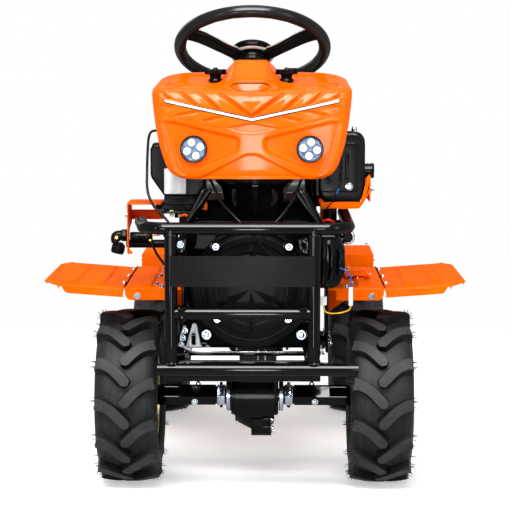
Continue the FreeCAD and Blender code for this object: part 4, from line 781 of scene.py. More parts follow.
def vinyl(colour):
    """Seat vinyl with a leather grain."""
    web = Web("seat_vinyl", specular_ior_level=0.16)
    creases = web.noise(34, 4, 0.6)
    grained = web.relief(web.cells(330), 0.35, 0.0006)
    return web.ends(base_color=web.tones(colour, 0.75, 1.5, creases.between(0.3, 0.75)),
        roughness=0.4 + creases * 0.15, normal=web.relief(creases, 0.12, 0.002, grained))


def grip_skin(colour):
    """Soft steering rim cover: fine leather grain, polished where hands hold it."""
    web = coated("rim_cover", 0.2, 0.18)
    slow = web.noise(14, 3, 0.55)
    return web.ends(base_color=web.tones(colour, 0.75, 1.5, slow.between(0.3, 0.75)),
        roughness=0.3 + slow * 0.18, normal=web.relief(web.cells(520), 0.2, 0.0005))


def make_finishes(colours):
    """One material for every finish on the tractor."""
    orange, black, rubbers = (tuple(getattr(colours, name))
                              for name in ("orange", "black", "rubber"))
    FINISH.update(
        orange_paint=orange_paint(orange),
        orange_top=orange_paint(orange, "orange_top", 0.12),
        orange_sheet=orange_paint(orange, "orange_sheet", 0.035),
        black_paint=black_paint(black),
        satin_plate=satin_black(tuple(colours.satin)),
        black_casting=black_casting(tuple(colours.casting)),
        black_plastic=black_plastic(tuple(colours.plastic)),
        tyre_rubber=rubber(rubbers),
        # painted shade: lug side walls at a tenth of the rubber's colour and the tread base
        # between the lugs at half, for the shade in the grooves
        tyre_deep=rubber(shade_of(rubbers, 0.1), "tyre_deep", 0.02),
        tyre_body=rubber(shade_of(rubbers, 0.5), "tyre_body", 0.08, 0.95),
        cast_aluminium=cast_aluminium(linear((128, 130, 132))),
        white_plastic=white_nylon(linear((238, 238, 236))),
        paper_label=paper_label(linear((196, 197, 199))),
        lamp_reflector=lamp_reflector(linear((126, 146, 176))),
        lamp=lamp_glow(linear((252, 250, 240))),
        lamp_core=lamp_glow(linear((222, 208, 112)), 0.05),
        white_trim=white_trim(linear((250, 248, 248))),
        # painted highlight: pale strips on the spoke edges and a ring under the wheel's cap
        edge_trim=white_trim(linear((214, 214, 216))),
        seat_vinyl=vinyl(linear((24, 24, 25))),
        rim_cover=grip_skin(linear((22, 22, 23))))
    for name, shade, rough in (
            ("cable_black", (11, 11, 12), 0.4), ("wire_blue", (38, 96, 178), 0.3),
            ("wire_yellow", (247, 178, 22), 0.3), ("wire_red", (196, 26, 24), 0.3),
            ("pale_yellow", (196, 190, 120), 0.4), ("wire_orange", (240, 92, 22), 0.35)):
        FINISH[name] = cable_skin(name, linear(shade), rough)
    for name, shade, second, rough, grime in (
            ("rim_zinc", (196, 178, 112), (150, 148, 120), 0.24, 0.3),
            ("zinc", (158, 164, 170), (112, 120, 130), 0.13, 0.3),
            ("axle_steel", (140, 144, 148), (92, 96, 102), 0.16, 0.45),
            ("brass", (206, 170, 92), (160, 120, 60), 0.25, 0.3),
            ("copper", (236, 178, 156), (214, 140, 112), 0.25, 0.3)):
        FINISH[name] = plating(name, linear(shade), linear(second), rough, grime)
    for recipe, name, shade, coat in (
            (black_paint, "gloss_black", (8, 8, 9), 0.18),
            (black_paint, "cover_black", (7, 7, 8), 0.035),
            (satin_black, "cover_satin", (22, 22, 22), 0.03),
            (satin_black, "deep_black", (7, 7, 7), 0.0),
            (satin_black, "heat_black", (18, 18, 19), 0.1),
            (satin_black, "box_plastic", (17, 18, 20), 0.07)):
        FINISH[name] = recipe(linear(shade), name, coat)


# ------------------------------------------------------------------------------------
# Sizes and colours
# ------------------------------------------------------------------------------------
class TractorColours(PropertyGroup):
    orange: tint("Orange", (255, 98, 0), "Hood, foot plates, brackets and fenders")
    black: tint("Gloss black", (6, 6, 7), "Frame tubes and front guard")
    satin: tint("Satin black", (25, 25, 25), "Blank plate on the guard")
    casting: tint("Casting black", (8, 8, 8), "Gearboxes and engine castings")
    plastic: tint("Plastic black", (13, 13, 14), "Battery box, air cleaner and grips")
    rubber: tint("Rubber", (39, 40, 41), "Tyres")
    ground: tint("Floor", (250, 250, 250), "Floor under the tractor")


class TractorSizes(PropertyGroup):
    lug_count: IntProperty(name="Lugs a side", description="Lugs on each side of a tyre",
        default=13, min=6, max=30)
    lug_width: size("Lug width", 25, "Width of a lug at its top")
    carcass: size("Tread base radius", 184, "Axle to the tread between the lugs")
    panel_depth: size("Hood panel depth", 9, "How far the lamp panels sink into the hood")
    rib_depth: size("Hood rib depth", 7.5, "Depth of the slanted ribs in the hood's face")
    hood_wall: size("Hood wall", 3, "Thickness of the pressed hood")
    rim_grip: size("Steering rim thickness", 14.5, "Radius of the steering rim's section")
    led_radius: size("Lamp emitter radius", 7.4, "Radius of each of a lamp's four emitters")
    seat_crown: size("Seat crown", 12, "How far the seat swells at its middle")
    hair_length: size("Vent hair length", 11, "Rubber hairs left on the tyres' shoulders")


class TractorView(PropertyGroup):
    lens: FloatProperty(name="Lens", description="Camera focal length", default=123.13, min=20,
        unit="CAMERA")
    height: size("Camera height", 1020, "Camera above the floor")
    distance: size("Camera distance", 4448.4, "Camera ahead of the frame's middle")
    pitch: FloatProperty(name="Pitch", description="Camera's tilt below level",
        default=math.radians(6.804), subtype="ANGLE", unit="ROTATION")
    yaw: FloatProperty(name="Yaw", description="Camera's turn towards the tractor's right",
        default=math.radians(0.797), subtype="ANGLE", unit="ROTATION")
    lamp_power: FloatProperty(name="Lamp power", description="Watts of the main lamp", default=95,
        min=0, subtype="POWER", unit="POWER")


def sizes():
    return bpy.context.scene.tractor_sizes


# ------------------------------------------------------------------------------------
# Stage
# ------------------------------------------------------------------------------------
# place, target and spread in metres, then the share of the main lamp's power, or watts
LAMPS = (
    ("key_lamp", (-0.5, -3.0, 3.0), (0, -0.4, 0.55), (2.8, 0.5), 1.35),
    ("strip_right", (-2.2, -2.7, 1.2), (0, -0.5, 0.5), (0.12, 1.8), 0.2),
    ("strip_left", (2.4, -2.4, 1.2), (0, -0.5, 0.5), (0.12, 1.8), 0.16),
    ("fill_lamp", (2.6, -2.6, 1.9), (0, -0.2, 0.6), (1.2, 2.2), 0.3),
    ("top_lamp", (0.1, 0.4, 3.6), (0, 0, 0.3), (2.6, 2.6), 0.6),
    ("rim_lamp", (-2.4, 2.6, 2.2), (0, 0.1, 0.5), (1.6, 1.6), 0.4),
)
SHEEN_LAMPS = (
    ("sheen_above", (0, -2.2, 3.0), (0, -0.4, 0.55), (2.2, 2.2), 800),
    ("sheen_low", (-1.2, -3.6, 0.55), (0, -0.7, 0.45), (0.6, 1.0), 40),
    ("sheen_middle", (-0.02, -2.3, 0.33), (-0.02, -0.6, 0.4), (0.14, 0.5), 10.5),
    ("sheen_side", (0.36, -2.3, 0.62), (0.16, -0.6, 0.7), (0.12, 0.36), 3.6),
)
CAMERA_X = 0.0566


class TRACTOR_OT_stage(Operator):
    """Floor, plain surroundings, lamps and camera"""
    bl_idname = "tractor.stage"
    bl_label = "Stage"

    def execute(self, context):
        view = context.scene.tractor_view
        nothing_selected()
        bpy.ops.mesh.primitive_plane_add(size=60, location=(0, 0, -0.0005))
        floor = context.object
        floor.name = floor.data.name = "floor"
        settle(floor)
        floor.data.materials.append(self.floor_finish(context.scene.tractor_colours.ground))
        self.surroundings(context.scene)
        for name, place, target, spread, share in LAMPS:
            self.lamp(name, place, target, spread, view.lamp_power * share)
        for name, place, target, spread, power in SHEEN_LAMPS:
            self.lamp(name, place, target, spread, power, sheen=True)
        camera = bpy.data.cameras.new("camera")
        camera.lens = view.lens
        camera.sensor_width = 36
        camera.clip_start, camera.clip_end = 0.1, 60
        holder = bpy.data.objects.new("camera", camera)
        context.collection.objects.link(holder)
        holder.location = (CAMERA_X, -view.distance, view.height)
        holder.rotation_euler = (math.pi / 2 - view.pitch, 0, view.yaw)
        context.scene.camera = holder
        context.scene.view_settings.view_transform = "Standard"
        return {"FINISHED"}

    def floor_finish(self, colour):
        """White to the eye with the soft shadow kept."""
        web = Web("floor_white", base_color=tuple(colour), roughness=0.9, specular_ior_level=0.1)
        reach = web.node("ShaderNodeVectorMath", {"operation": "LENGTH"}, {0: web.place}, "Value")
        lift = web.node("ShaderNodeEmission", None, {"Strength": 0.42})
        glow = web.node("ShaderNodeAddShader", None, {0: web.lit, 1: lift})
        far = web.either(reach.between(0.9, 2.1), glow, web.node("ShaderNodeEmission"))
        web.surface(web.either(web.to_the_eye(), web.lit, far))
        return web.material

    def surroundings(self, scene):
        """Soft light on the object, and plain white to the eye."""
        scene.world = bpy.data.worlds.new("surroundings")
        tree = Tree(scene.world, "World")
        plain, white = (tree.node("ShaderNodeBackground", None,
                                  {"Color": (1, 1, 1, 1), "Strength": strength})
                        for strength in (0.3, 1.0))
        tree.surface(tree.either(tree.to_the_eye(), plain, white))

    def lamp(self, name, place, target, spread, power, sheen=False):
        """An area lamp; a sheen lamp is only seen in glossy surfaces."""
        light = bpy.data.lights.new(name, "AREA")
        light.shape = "RECTANGLE"
        light.size, light.size_y = spread
        light.energy = power
        holder = bpy.data.objects.new(name, light)
        bpy.context.collection.objects.link(holder)
        holder.location = place
        aim = Vector(target) - Vector(place)
        holder.rotation_euler = aim.to_track_quat("-Z", "Y").to_euler()
        holder.visible_camera = False
        holder.visible_diffuse = not sheen


# ------------------------------------------------------------------------------------
# Cords
# ------------------------------------------------------------------------------------
LAMP_LEAD_RIGHT = [
    (-132, -573, 790), (-132, -561.5, 790), (-128, -549, 783), (-120, -541.5, 766),
    (-107, -548, 741), (-93, -566, 718), (-82, -590, 697), (-69, -617, 676),
    (-46, -643, 655), (-19, -660.5, 630), (8, -661.5, 600), (34, -660, 572),
    (57, -665, 551), (74, -662.5, 534), (74, -650.8, 534),
]
LAMP_LEAD_LEFT = [
    (124.5, -573, 790), (124.5, -561.5, 790), (122, -549, 783), (117, -541.5, 765),
    (110, -549, 739), (103, -569, 719), (93, -599, 697), (80, -628, 674),
    (59, -655, 650), (35, -669, 625), (15, -669.8, 598), (2, -664, 571),
    (-8, -665, 549), (-12, -662.3, 532), (-12, -650.8, 532),
]
SIDE_CABLE = [
    (-206, -470, 802.6), (-206, -470, 819), (-217.5, -472, 830.7), (-234, -475, 830.7),
    (-240.5, -478.5, 819), (-242, -485, 797), (-243, -494, 768), (-243, -503, 737),
    (-243, -517, 706), (-236, -533, 680), (-220, -539, 655), (-196, -546, 635),
    (-181, -561, 610), (-172, -573, 587), (-166, -579, 571), (-151.3, -579, 571),
]
BLUE_WIRE = [
    (192, -542.3, 527), (192, -552.3, 527), (199, -559, 525), (210, -560, 519),
    (218, -558, 508), (218, -556, 496), (218, -556, 483.3),
]
YELLOW_WIRE = [
    (156, -600, 448.7), (156, -600, 438), (163, -595, 430.5), (177, -585, 427),
    (195, -573, 427), (210, -562, 429.5), (218, -556, 433.5), (218, -556, 440.7),
]
# name, centre line, thickness in mm, node, finish, length in metres, far end
CORDS = [
    ("lead_right", LAMP_LEAD_RIGHT, 6, "lamp_lead_right", "cable_black", 0.401, "object"),
    ("lead_left", LAMP_LEAD_LEFT, 6, "lamp_lead_left", "cable_black", 0.373, "object"),
    ("cable_side", SIDE_CABLE, 6, "side_cable", "cable_black", 0.369, "object"),
    ("thin_wire_blue", BLUE_WIRE, 3, "wire_blue", "wire_blue", 0.070, "connector"),
    ("thin_wire_yellow", YELLOW_WIRE, 3, "wire_yellow", "wire_yellow", 0.096, "connector"),
]


class TRACTOR_OT_cords(Operator):
    """Lamp leads, side cable, the two thin wires and their connectors"""
    bl_idname = "tractor.cords"
    bl_label = "Cables"

    def lead(self, name, points, diameter, node, finish):
        curve = bpy.data.curves.new(name, "CURVE")
        curve.dimensions = "3D"
        flowing(curve, points)
        curve.resolution_u = 14
        curve.bevel_depth = diameter / 2 * MM
        curve.bevel_resolution = 4
        curve.use_fill_caps = True
        curve.materials.append(FINISH[finish])
        cord = bpy.data.objects.new(name, curve)
        bpy.context.collection.objects.link(cord)
        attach(cord, "front_frame")
        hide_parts(node)
        return cord

    def connectors(self):
        """Two-pin nylon housings: the hanging plug and the clipped socket."""
        plug = softened(block((213.3, -560.6, 441.3), (222.7, -551.4, 482.6)), 1.0)
        collar = softened(block((213.1, -560.8, 458), (222.9, -551.2, 465)), 0.8)
        latch = softened(block((215.5, -561, 466), (220.5, -558.6, 481)), 0.6)
        slots = [block((x, -562, 445), (x + 1.6, -559.8, 455)) for x in (214.8, 219.6)]
        body = painted(joined(cut(plug, *slots), collar, latch), "white_plastic")
        hanging = piece(body, "wire_plug", "front_frame", "white_plastic")
        socket = softened(block((143.3, -607.6, 449.2), (162.7, -592.4, 467.8)), 1.6)
        holes = [block((x, -609, 452), (x + 5.5, -603, 465)) for x in (146, 154.5)]
        rib = softened(block((143.1, -600, 456), (162.9, -597, 467.9)), 0.6)
        body = painted(joined(cut(socket, *holes), rib), "white_plastic")
        clipped = piece(body, "wire_socket", "front_frame", "white_plastic", ["wire_connectors"])
        return hanging, clipped

    def execute(self, context):
        cords = [self.lead(*row[:5]) for row in CORDS]
        held = dict(zip(("thin_wire_blue", "thin_wire_yellow"), self.connectors()))
        for cord, (name, points, thick, _, _, length, far_end) in zip(cords, CORDS):
            more = {"with_pieces": [held[name]]} if name in held else {}
            metres(points[0])
        return {"FINISHED"}


# ------------------------------------------------------------------------------------
# Hood, lamps and knobs
# ------------------------------------------------------------------------------------
HOOD_X = -4.0
COLUMN_X = -8.0
HOOD_FACE, HOOD_REAR = (corner[1] for corner in extent("hood"))
# height above the floor, set-back from the face, half width
HOOD_ROWS = np.array([(729, 19, 156), (734.5, 13, 172), (744, 9.5, 183), (759, 7.5, 192),
    (783, 5.5, 200), (808, 4, 207), (850, 1.5, 214.5), (887, 0.5, 219.5), (903, 3, 221.5),
    (912, 8, 221.5), (917.5, 14, 220), (920, 20, 217)])
HOOD_LOWER = [(729, 56), (838, 95), (868, 280)]


def pressed_grid(columns, rows, place):
    """A grid whose points are set by place(a, b), each from 0 to 1."""
    nothing_selected()
    bpy.ops.mesh.primitive_grid_add(x_subdivisions=columns, y_subdivisions=rows, size=2)
    grid = bpy.context.object
    count = len(grid.data.vertices)
    spots = np.empty(count * 3)
    grid.data.vertices.foreach_get("co", spots)
    spots = spots.reshape(-1, 3)
    a, b = (spots[:, 0] + 1) / 2, (spots[:, 1] + 1) / 2
    return set_points(grid, np.stack(place(a, b), 1) * MM)


def smooth_rows(table, samples=400, width=13):
    """A table of rows as an even, rounded run from 0 to 1."""
    steps = np.r_[0, np.cumsum(np.hypot(*np.diff(table[:, :2], axis=0).T))]
    even = np.linspace(0, steps[-1], samples)
    columns = []
    for column in table.T:
        run = np.interp(even, steps, column)
        padded = np.r_[2 * run[0] - run[width:0:-1], run, 2 * run[-1] - run[-2:-width - 2:-1]]
        columns.append(np.convolve(padded, np.ones(2 * width + 1) / (2 * width + 1), "valid"))
    return np.linspace(0, 1, samples), columns


HOOD_RUN, (RUN_Z, RUN_BACK, RUN_HALF) = smooth_rows(HOOD_ROWS)
LAMP_PANEL = [(199, 858), (174, 858), (33, 823), (27, 816.5), (27, 799), (34, 789.5),
              (150, 737), (168, 743), (184, 764), (196, 807)]
FOOT_PANEL = [(-13, 786.5), (13, 786.5), (118, 732), (118, 715), (-118, 715), (-118, 732)]
RIDGE = [(218, 886), (190, 872), (166, 869), (146, 861), (116, 856.5), (94, 849), (67, 843),
         (55, 844.5), (0, 855)]
UPPER_RIBS = [((206, 924), (172, 899.5)), ((160, 924), (115.5, 886)),
              ((114, 920), (71, 881)), ((67, 916), (3, 869.5))]
LOWER_RIBS = [((68, 868), (106, 858.5)), ((118, 879.5), (166, 870)), ((173, 891), (208, 886))]
STRIP_END, STRIP_POINT = (193, 902.5), (0, 861)


def face_relief(x, z):
    """How far the hood's pressed face stands out of its plain form."""
    panel, rib = sizes().panel_depth / MM, sizes().rib_depth / MM
    side = np.abs(x)
    spots = np.stack([side, z], 1)
    depth = -panel * ease(inside(spots, LAMP_PANEL), -1.0, 5.2)
    depth -= 5.5 * ease(inside(np.stack([x, z], 1), FOOT_PANEL), -0.8, 4.8)
    upper = RIDGE + [(0, 940), (218, 940)]
    band = ease(inside(spots, upper), -2.2, 1.6)
    depth += 2.6 * band
    for first, second in UPPER_RIBS:
        gap = line_gap(spots, first, second)
        depth -= rib * (1 - ease(gap, 0.9, 5.2))
        edge = Vector(second) - Vector(first)
        across = Vector((-edge.y, edge.x)).normalized()
        lip = (np.subtract(end, 8.0 * np.asarray(across)) for end in (first, second))
        depth += 1.3 * (1 - ease(line_gap(spots, *lip), 0.5, 5.5))
    for first, second in LOWER_RIBS:
        depth -= rib * 0.7 * (1 - ease(line_gap(spots, first, second), 0.6, 5))
    diamond = [(-56, 844), (0, 854), (56, 844), (36, 834.5), (0, 829.5), (-36, 834.5)]
    depth -= 2.4 * ease(inside(np.stack([x, z], 1), diamond), -0.8, 3.2)
    bed = line_gap(spots, STRIP_END, STRIP_POINT)
    depth = np.where(bed < 9, depth * ease(bed, 4.5, 9) + 1.4 * (1 - ease(bed, 4.5, 9)), depth)
    return depth


def hood_face(a, b, relief=True):
    """Point of the face and its rounded corners: a across, b up."""
    c = a * 2 - 1
    z, back, half = (np.interp(b, HOOD_RUN, run) for run in (RUN_Z, RUN_BACK, RUN_HALF))
    corner = 27.0
    turn = np.clip((np.abs(c) - 0.9) / 0.1, 0, 1) * math.pi / 2
    flat = np.clip(np.abs(c) / 0.9, 0, 1) * (half - corner)
    x = np.sign(c) * (flat + corner * np.sin(turn))
    y = HOOD_FACE + back + corner * (1 - np.cos(turn)) + 8 * (x / 222) ** 2
    z = z + 11 * np.abs(x / 210) * ease(z, 850, 920)
    if relief:
        out = face_relief(x, z) * (1 - ease(np.abs(c), 0.87, 0.96))
        out *= ease(b, 0.0, 0.05) * (1 - ease(b, 0.93, 1.0))
        y = y - out
    return x + HOOD_X, y, z


def top_relief(x, y):
    """Hump, scoop and shallow side pockets of the hood's top."""
    middle = np.abs(x - COLUMN_X)
    ahead = y - HOOD_FACE
    base = np.interp(ahead, [20, 280], [920, 961])
    crest = np.interp(ahead - 9 * np.minimum(middle / 40, 1.2) ** 2, [20, 37, 44, 46.5, 49, 52, 60,
        68, 104, 112, 280], [921, 921.5, 940.5, 941, 937, 946, 949, 953, 985, 989, 990])
    across = 1 - ease(middle, 31, 72)
    rise = np.maximum(crest - base, 0) * across
    scoop = -np.maximum(base - crest + 4, 0) * (1 - ease(ahead, 44, 52)) * ease(ahead, 20, 30)
    scoop = scoop * (1 - ease(middle, 36, 44))
    facet = -2.5 * ease(ahead, 60, 68) * (1 - ease(ahead, 104, 110))
    facet = facet * (1 - ease(middle, 20 + (ahead - 60) * 0.2, 27 + (ahead - 60) * 0.22))
    side = np.stack([np.abs(x - HOOD_X), ahead], 1)
    pocket = inside(side, [(70, 42), (178, 40), (196, 62), (196, 250), (78, 250)])
    tread = -3.2 * ease(pocket, 0, 9)
    return rise + scoop + facet + tread


def hood_top(a, b):
    x0, y0, z0 = hood_face(a, np.ones_like(a), False)
    half = np.abs(x0 - HOOD_X)
    reach = np.clip((half - 100) / 122, 0, 1)
    x1 = HOOD_X + (x0 - HOOD_X) * 218 / 217
    z1 = 961 - 27 * (1 - np.sqrt(1 - reach ** 3))
    rear = np.full_like(a, HOOD_REAR)
    x, y, z = x0 + (x1 - x0) * b, y0 + (rear - y0) * b, z0 + (z1 - z0) * b
    edge = (1 - ease(np.abs(a * 2 - 1), 0.9, 0.98)) * ease(b, 0, 0.02)
    return x, y, z + top_relief(x, y) * edge


def hood_cheek(side):
    def place(a, b):
        column = np.full_like(a, (side + 1) / 2)
        x0, y0, z0 = hood_face(column, b, False)
        low = np.interp(z0, [p[0] for p in HOOD_LOWER], [p[1] for p in HOOD_LOWER])
        rear = HOOD_FACE + low
        top_x, top_z = HOOD_X + side * 218, 961 - 27 * (1 - math.sqrt(1 - (117 / 122) ** 3))
        z1 = np.interp(b, [0, 0.86, 1], [0, 0, 1]) * (top_z - z0) + z0
        x1 = np.where(b > 0.999, top_x, x0)
        return x0 + (x1 - x0) * a, y0 + (rear - y0) * a, z0 + (z1 - z0) * a
    return place


class TRACTOR_OT_hood(Operator):
    """Pressed hood with its lamp panels, slanted ribs, hump and inlaid strip"""
    bl_idname = "tractor.hood"
    bl_label = "Hood"

    def execute(self, context):
        face = pressed_grid(176, 112, hood_face)
        top = pressed_grid(176, 112, hood_top)
        left = pressed_grid(44, 112, hood_cheek(1))
        right = pressed_grid(44, 112, hood_cheek(-1))
        shell = merged(joined(face, top, left, right), 0.3)
        facing = sum(f.normal.y * f.area for f in shell.data.polygons
                     if f.center.y < (HOOD_FACE + 20) * MM)
        if facing > 0:
            flipped(shell)
        modified(shell, "SOLIDIFY", thickness=sizes().hood_wall, offset=-1.0,
            use_even_offset=False)
        piece(shell, "hood_shell", "front_frame", "orange_paint", ["hood"], "orange_paint",
            smooth=50)
        second_finish(shell, "orange_top",
                      lambda spot, normal: normal.z > 0.72 and spot.z > 905)
        self.strip()
        self.scoop(shell)
        return {"FINISHED"}

    def touched(self, shell, x, z, proud):
        """The point, standing proud of the hood, that a line from ahead meets, if any."""
        hit, spot, normal, _ = shell.ray_cast(Vector((x, -760, z)) * MM, Vector((0, 1, 0)))
        return [tuple(spot / MM + normal * proud)] if hit else []

    def scoop(self, shell):
        """The rolled lip over the shallow intake in the middle, with a thin black line under it
        that paints the lip's shadow.
        """
        parts = Parts()
        # the black tube 3.4 mm below the lip is painted shadow
        for lift, proud, thick, finish in ((0, 0.6, 2.4, "orange_paint"),
                (-3.4, 0.3, 1.0, "black_plastic"), (None, 0.2, 1.7, "orange_paint")):
            line = []
            for step in range(25):
                t = step / 24 * 2 - 1
                x = HOOD_X - 4 + 44 * t
                if lift is None:
                    z = 934 - 11 * math.sqrt(max(0, 1 - t * t))
                else:
                    z = 934 + lift + 9 * math.sqrt(max(0, 1 - t ** 4))
                line += self.touched(shell, x, z, proud)
            parts.add(finish, tube(line, thick, True, 4))
        for side in (-1, 1):
            for run in (((201, 929.5), (160, 930), (119, 928.4), (86, 925), (55, 920.6)),
                    ((206, 937), (152, 937.3), (86, 931.6), (53, 928.4))):
                line = []
                for (x0, z0), (x1, z1) in zip(run, run[1:]):
                    for step in range(8):
                        x = HOOD_X + side * (x0 + (x1 - x0) * step / 8)
                        z = z0 + (z1 - z0) * step / 8
                        line += self.touched(shell, x, z, 0.1)
                parts.add("orange_paint", tube(line, 1.7, True, 4))
        parts.done("hood_scoop", "front_frame", "orange_paint", (), 40)

    def strip(self):
        """Two bright bars that meet in a shallow point, in a thin dark frame."""
        parts = Parts()
        for wide, proud, finish in ((4.9, 2.7, "black_plastic"), (2.5, 3.5, "white_trim")):
            (ex, ez), pz = STRIP_END, STRIP_POINT[1]
            slope = (ez - pz) / ex
            rise = wide * math.hypot(1, slope)
            inset = 0 if finish == "black_plastic" else 1.8
            outline = [(-(ex - inset), ez - inset * slope + wide), (0, pz + rise), (ex - inset,
                ez - inset * slope + wide), (ex - inset, ez - inset * slope - wide),
                (0, pz - rise), (-(ex - inset), ez - inset * slope - wide)]
            bar = plate([(x + HOOD_X, z) for x, z in outline], 5, "y", 0, soft=0.6)
            with editing(bar):
                bpy.ops.mesh.subdivide(number_cuts=7)
            for vertex in bar.data.vertices:
                x, z = vertex.co.x / MM - HOOD_X, vertex.co.z / MM
                back = float(np.interp(z, RUN_Z, RUN_BACK)) + 8 * (x / 222) ** 2
                vertex.co.y += (HOOD_FACE + back + 2.5 - 1.4 - proud + 1.2) * MM
            parts.add(finish, bar)
        parts.done("hood_strip", "front_frame", None, ())


class TRACTOR_OT_headlights(Operator):
    """Round lamps, each with four lit emitters in a faceted bowl"""
    bl_idname = "tractor.headlights"
    bl_label = "Headlights"

    def execute(self, context):
        low, high = extent("headlights")
        front = low[1]
        height, radius = (low[2] + high[2]) / 2, (high[2] - low[2]) / 2
        spread = (high[0] - low[0]) / 2 - radius
        parts = Parts()
        for side, twist in ((-1, 18), (1, -9)):
            at = (HOOD_X + side * spread, front, height)
            can = painted(turned([(0, 31), (17, 31), (19, 29), (radius - 3, 13), (radius - 0.2, 8),
                (radius, 4.5), (radius, 1.6), (radius - 1.2, 0.3), (radius - 2.4, 0.6),
                (radius - 2.8, 3.2), (radius - 5, 4.8)], at, "y", 56), "black_plastic")
            bowl = painted(turned([(radius - 2.6, 2.6), (radius - 4, 4.4), (radius - 8, 6.2),
                (9, 7.4), (4, 6.6), (0, 6.4)], at, "y", 48), "lamp_reflector")
            parts += [can, bowl]
            for quarter in range(4):
                angle = math.radians(quarter * 90 + twist + 90)
                spot = (at[0] + 15.4 * math.cos(angle), front, at[2] + 15.4 * math.sin(angle))
                parts.add("lamp_reflector", ring((spot[0], front + 4.6, spot[2]), 8.7, 0.9, "y",
                    28, 8))
                parts.add("lamp", turned([(8.3, 6.5), (8.2, 4.4), (6.8, 2.9), (4.2, 1.9),
                    (0, 1.5)], spot, "y", 24))
                parts.add("lamp_core", turned([(3.4, 2.2), (3.1, 0.9), (0, 0.4)], spot, "y", 16))
        parts.done("lamps", "front_frame", "lamp", ["headlights"], 40)
        return {"FINISHED"}


class TRACTOR_OT_knobs(Operator):
    """Two lobed clamp knobs on the hood, one with a small lever"""
    bl_idname = "tractor.knobs"
    bl_label = "Hood knobs"

    def execute(self, context):
        low, high = extent("hood_knobs")
        top = high[2] + 7
        y = (low[1] + high[1]) / 2
        parts = Parts()
        for x in (low[0] + 25, high[0] - 25):
            lobes = []
            for count in range(5):
                angle = math.radians(72 * count + 90)
                lobes.append((x + 29 * math.cos(angle), y + 29 * math.sin(angle), 5))
                angle += math.radians(36)
                lobes.append((x + 17.5 * math.cos(angle), y + 17.5 * math.sin(angle), 6))
            head = plate(lobes, 12, "z", top - 10, soft=2.2)
            cap = turned([(0, 0), (3, 0), (5, -1.5), (6.5, -5)], (x, y, top), "z", 24)
            waist = turned([(14, -16), (13, -19), (12.5, -24), (15.5, -27), (16, -31.5),
                (9, -31.5), (8, -38), (0, -38)], (x, y, top), "z", 32)
            stud = turned([(4, -30), (4, low[2] - top), (0, low[2] - top)], (x, y, top), "z", 16)
            parts += [head, cap, waist, stud]
        parts.append(softened(block((high[0] - 30, y - 5, top - 6),
            (high[0] - 0.5, y + 5, top - 1)), 1.6))
        piece(joined(*parts), "clamp_knobs", "front_frame", "black_plastic", ["hood_knobs"],
            "black_plastic", 40)
        return {"FINISHED"}


# ------------------------------------------------------------------------------------
# Steering wheel
# ------------------------------------------------------------------------------------
class TRACTOR_OT_steering_wheel(Operator):
    """Three-spoke wheel with a padded rim, raised spoke edges and a domed cap, with pale strips on
    the edges and under the cap that paint their highlights
    """
    bl_idname = "tractor.steering_wheel"
    bl_label = "Steering wheel"

    def execute(self, context):
        radius, thick = 174.0, sizes().rim_grip / MM
        rim = ring((0, 0, 0), radius - 1.0, thick, "z", 120, 20)
        for vertex in rim.data.vertices:
            x, y, z = vertex.co
            around = math.atan2(y, x)
            r = math.hypot(x, y)
            scallop = 0.0011 * max(0.0, math.cos(around * 24)) * (r < radius * MM)
            vertex.co *= 1 + (scallop if z < 0 else 0) / max(r, 1e-6)
        parts = Parts()
        parts.add("rim_cover", rim)
        for angle in (27, 153, 270):
            arm = self.spoke(radius, thick)
            parts.append(spin_about(arm, angle, "z", (0, 0, 0)))
        parts.add("black_plastic", turned([(0, -86), (17, -86), (19, -80), (21, -62), (30, -56),
            (35, -50), (37, -40), (38, -22), (36, -19), (0, -19)], (0, 0, 0), "z", 48))
        parts.add("black_plastic", turned([(48, -23), (53, -20), (54.5, -16), (53, -9), (47, -3),
            (34, 2.5), (16, 5.4), (0, 6.2)], (0, 0, 0), "z", 64))
        # painted highlight: a pale ring under the cap's rim
        parts.add("edge_trim", turned([(44, -26), (49.6, -25.4), (51, -23.4), (50, -21),
            (46, -20.6)], (0, 0, 0), "z", 64))
        wheel = joined(*parts)
        joint = next(j for j in frame["joints"] if j["name"] == "steering_wheel_turn")
        axis = Vector(joint["axis"]).normalized()
        if axis.z < 0:
            axis = -axis
        middle = Vector((COLUMN_X, -243.4, 1017.5)) * MM
        wheel.matrix_world = (
            Matrix.Translation(middle) @ axis.to_track_quat("Z", "Y").to_matrix().to_4x4())
        piece(wheel, "wheel_and_boss", "steering_wheel", "black_plastic", ["steering_wheel"], None,
            38)
        return {"FINISHED"}

    def spoke(self, radius, thick):
        """One arm along +X: a flat tapered web with raised edges in a pale finish that paints
        their highlights.
        """
        reach = radius - thick * 0.4
        arm = plate([(28, -21, 3), (70, -17, 10), (reach, -23, 2), (reach, 23, 2), (70, 17, 10),
            (28, 21, 3)], 10, "z", -4, soft=2.2)
        with editing(arm):
            bpy.ops.mesh.subdivide(number_cuts=5)
        groove = plate([(52, -6, 3), (reach - 22, -8, 3), (reach - 22, 8, 3), (52, 6, 3)], 6, "z",
            2.5, soft=0.4)
        arm = painted(cut(arm, groove), "black_plastic")
        # pale strips along both edges paint the spoke's highlights
        edges = []
        for side in (-1, 1):
            line = [(44, side * 19.4, 0.8), (72, side * 16.8, 0.9), (110, side * 18, 0.9),
                (reach - 16, side * 21, 0.8)]
            edges.append(painted(tube(line, 1.7, sides=2), "edge_trim"))
        arm = joined(arm, *edges)
        for vertex in arm.data.vertices:
            vertex.co.z -= 0.022 * float(1 - ease(vertex.co.x / MM, 34, reach - 12))
        return arm


# ------------------------------------------------------------------------------------
# Wheels and axles
# ------------------------------------------------------------------------------------
CORNERS = ("front_left", "front_right", "rear_left", "rear_right")
PHASE = 85.2


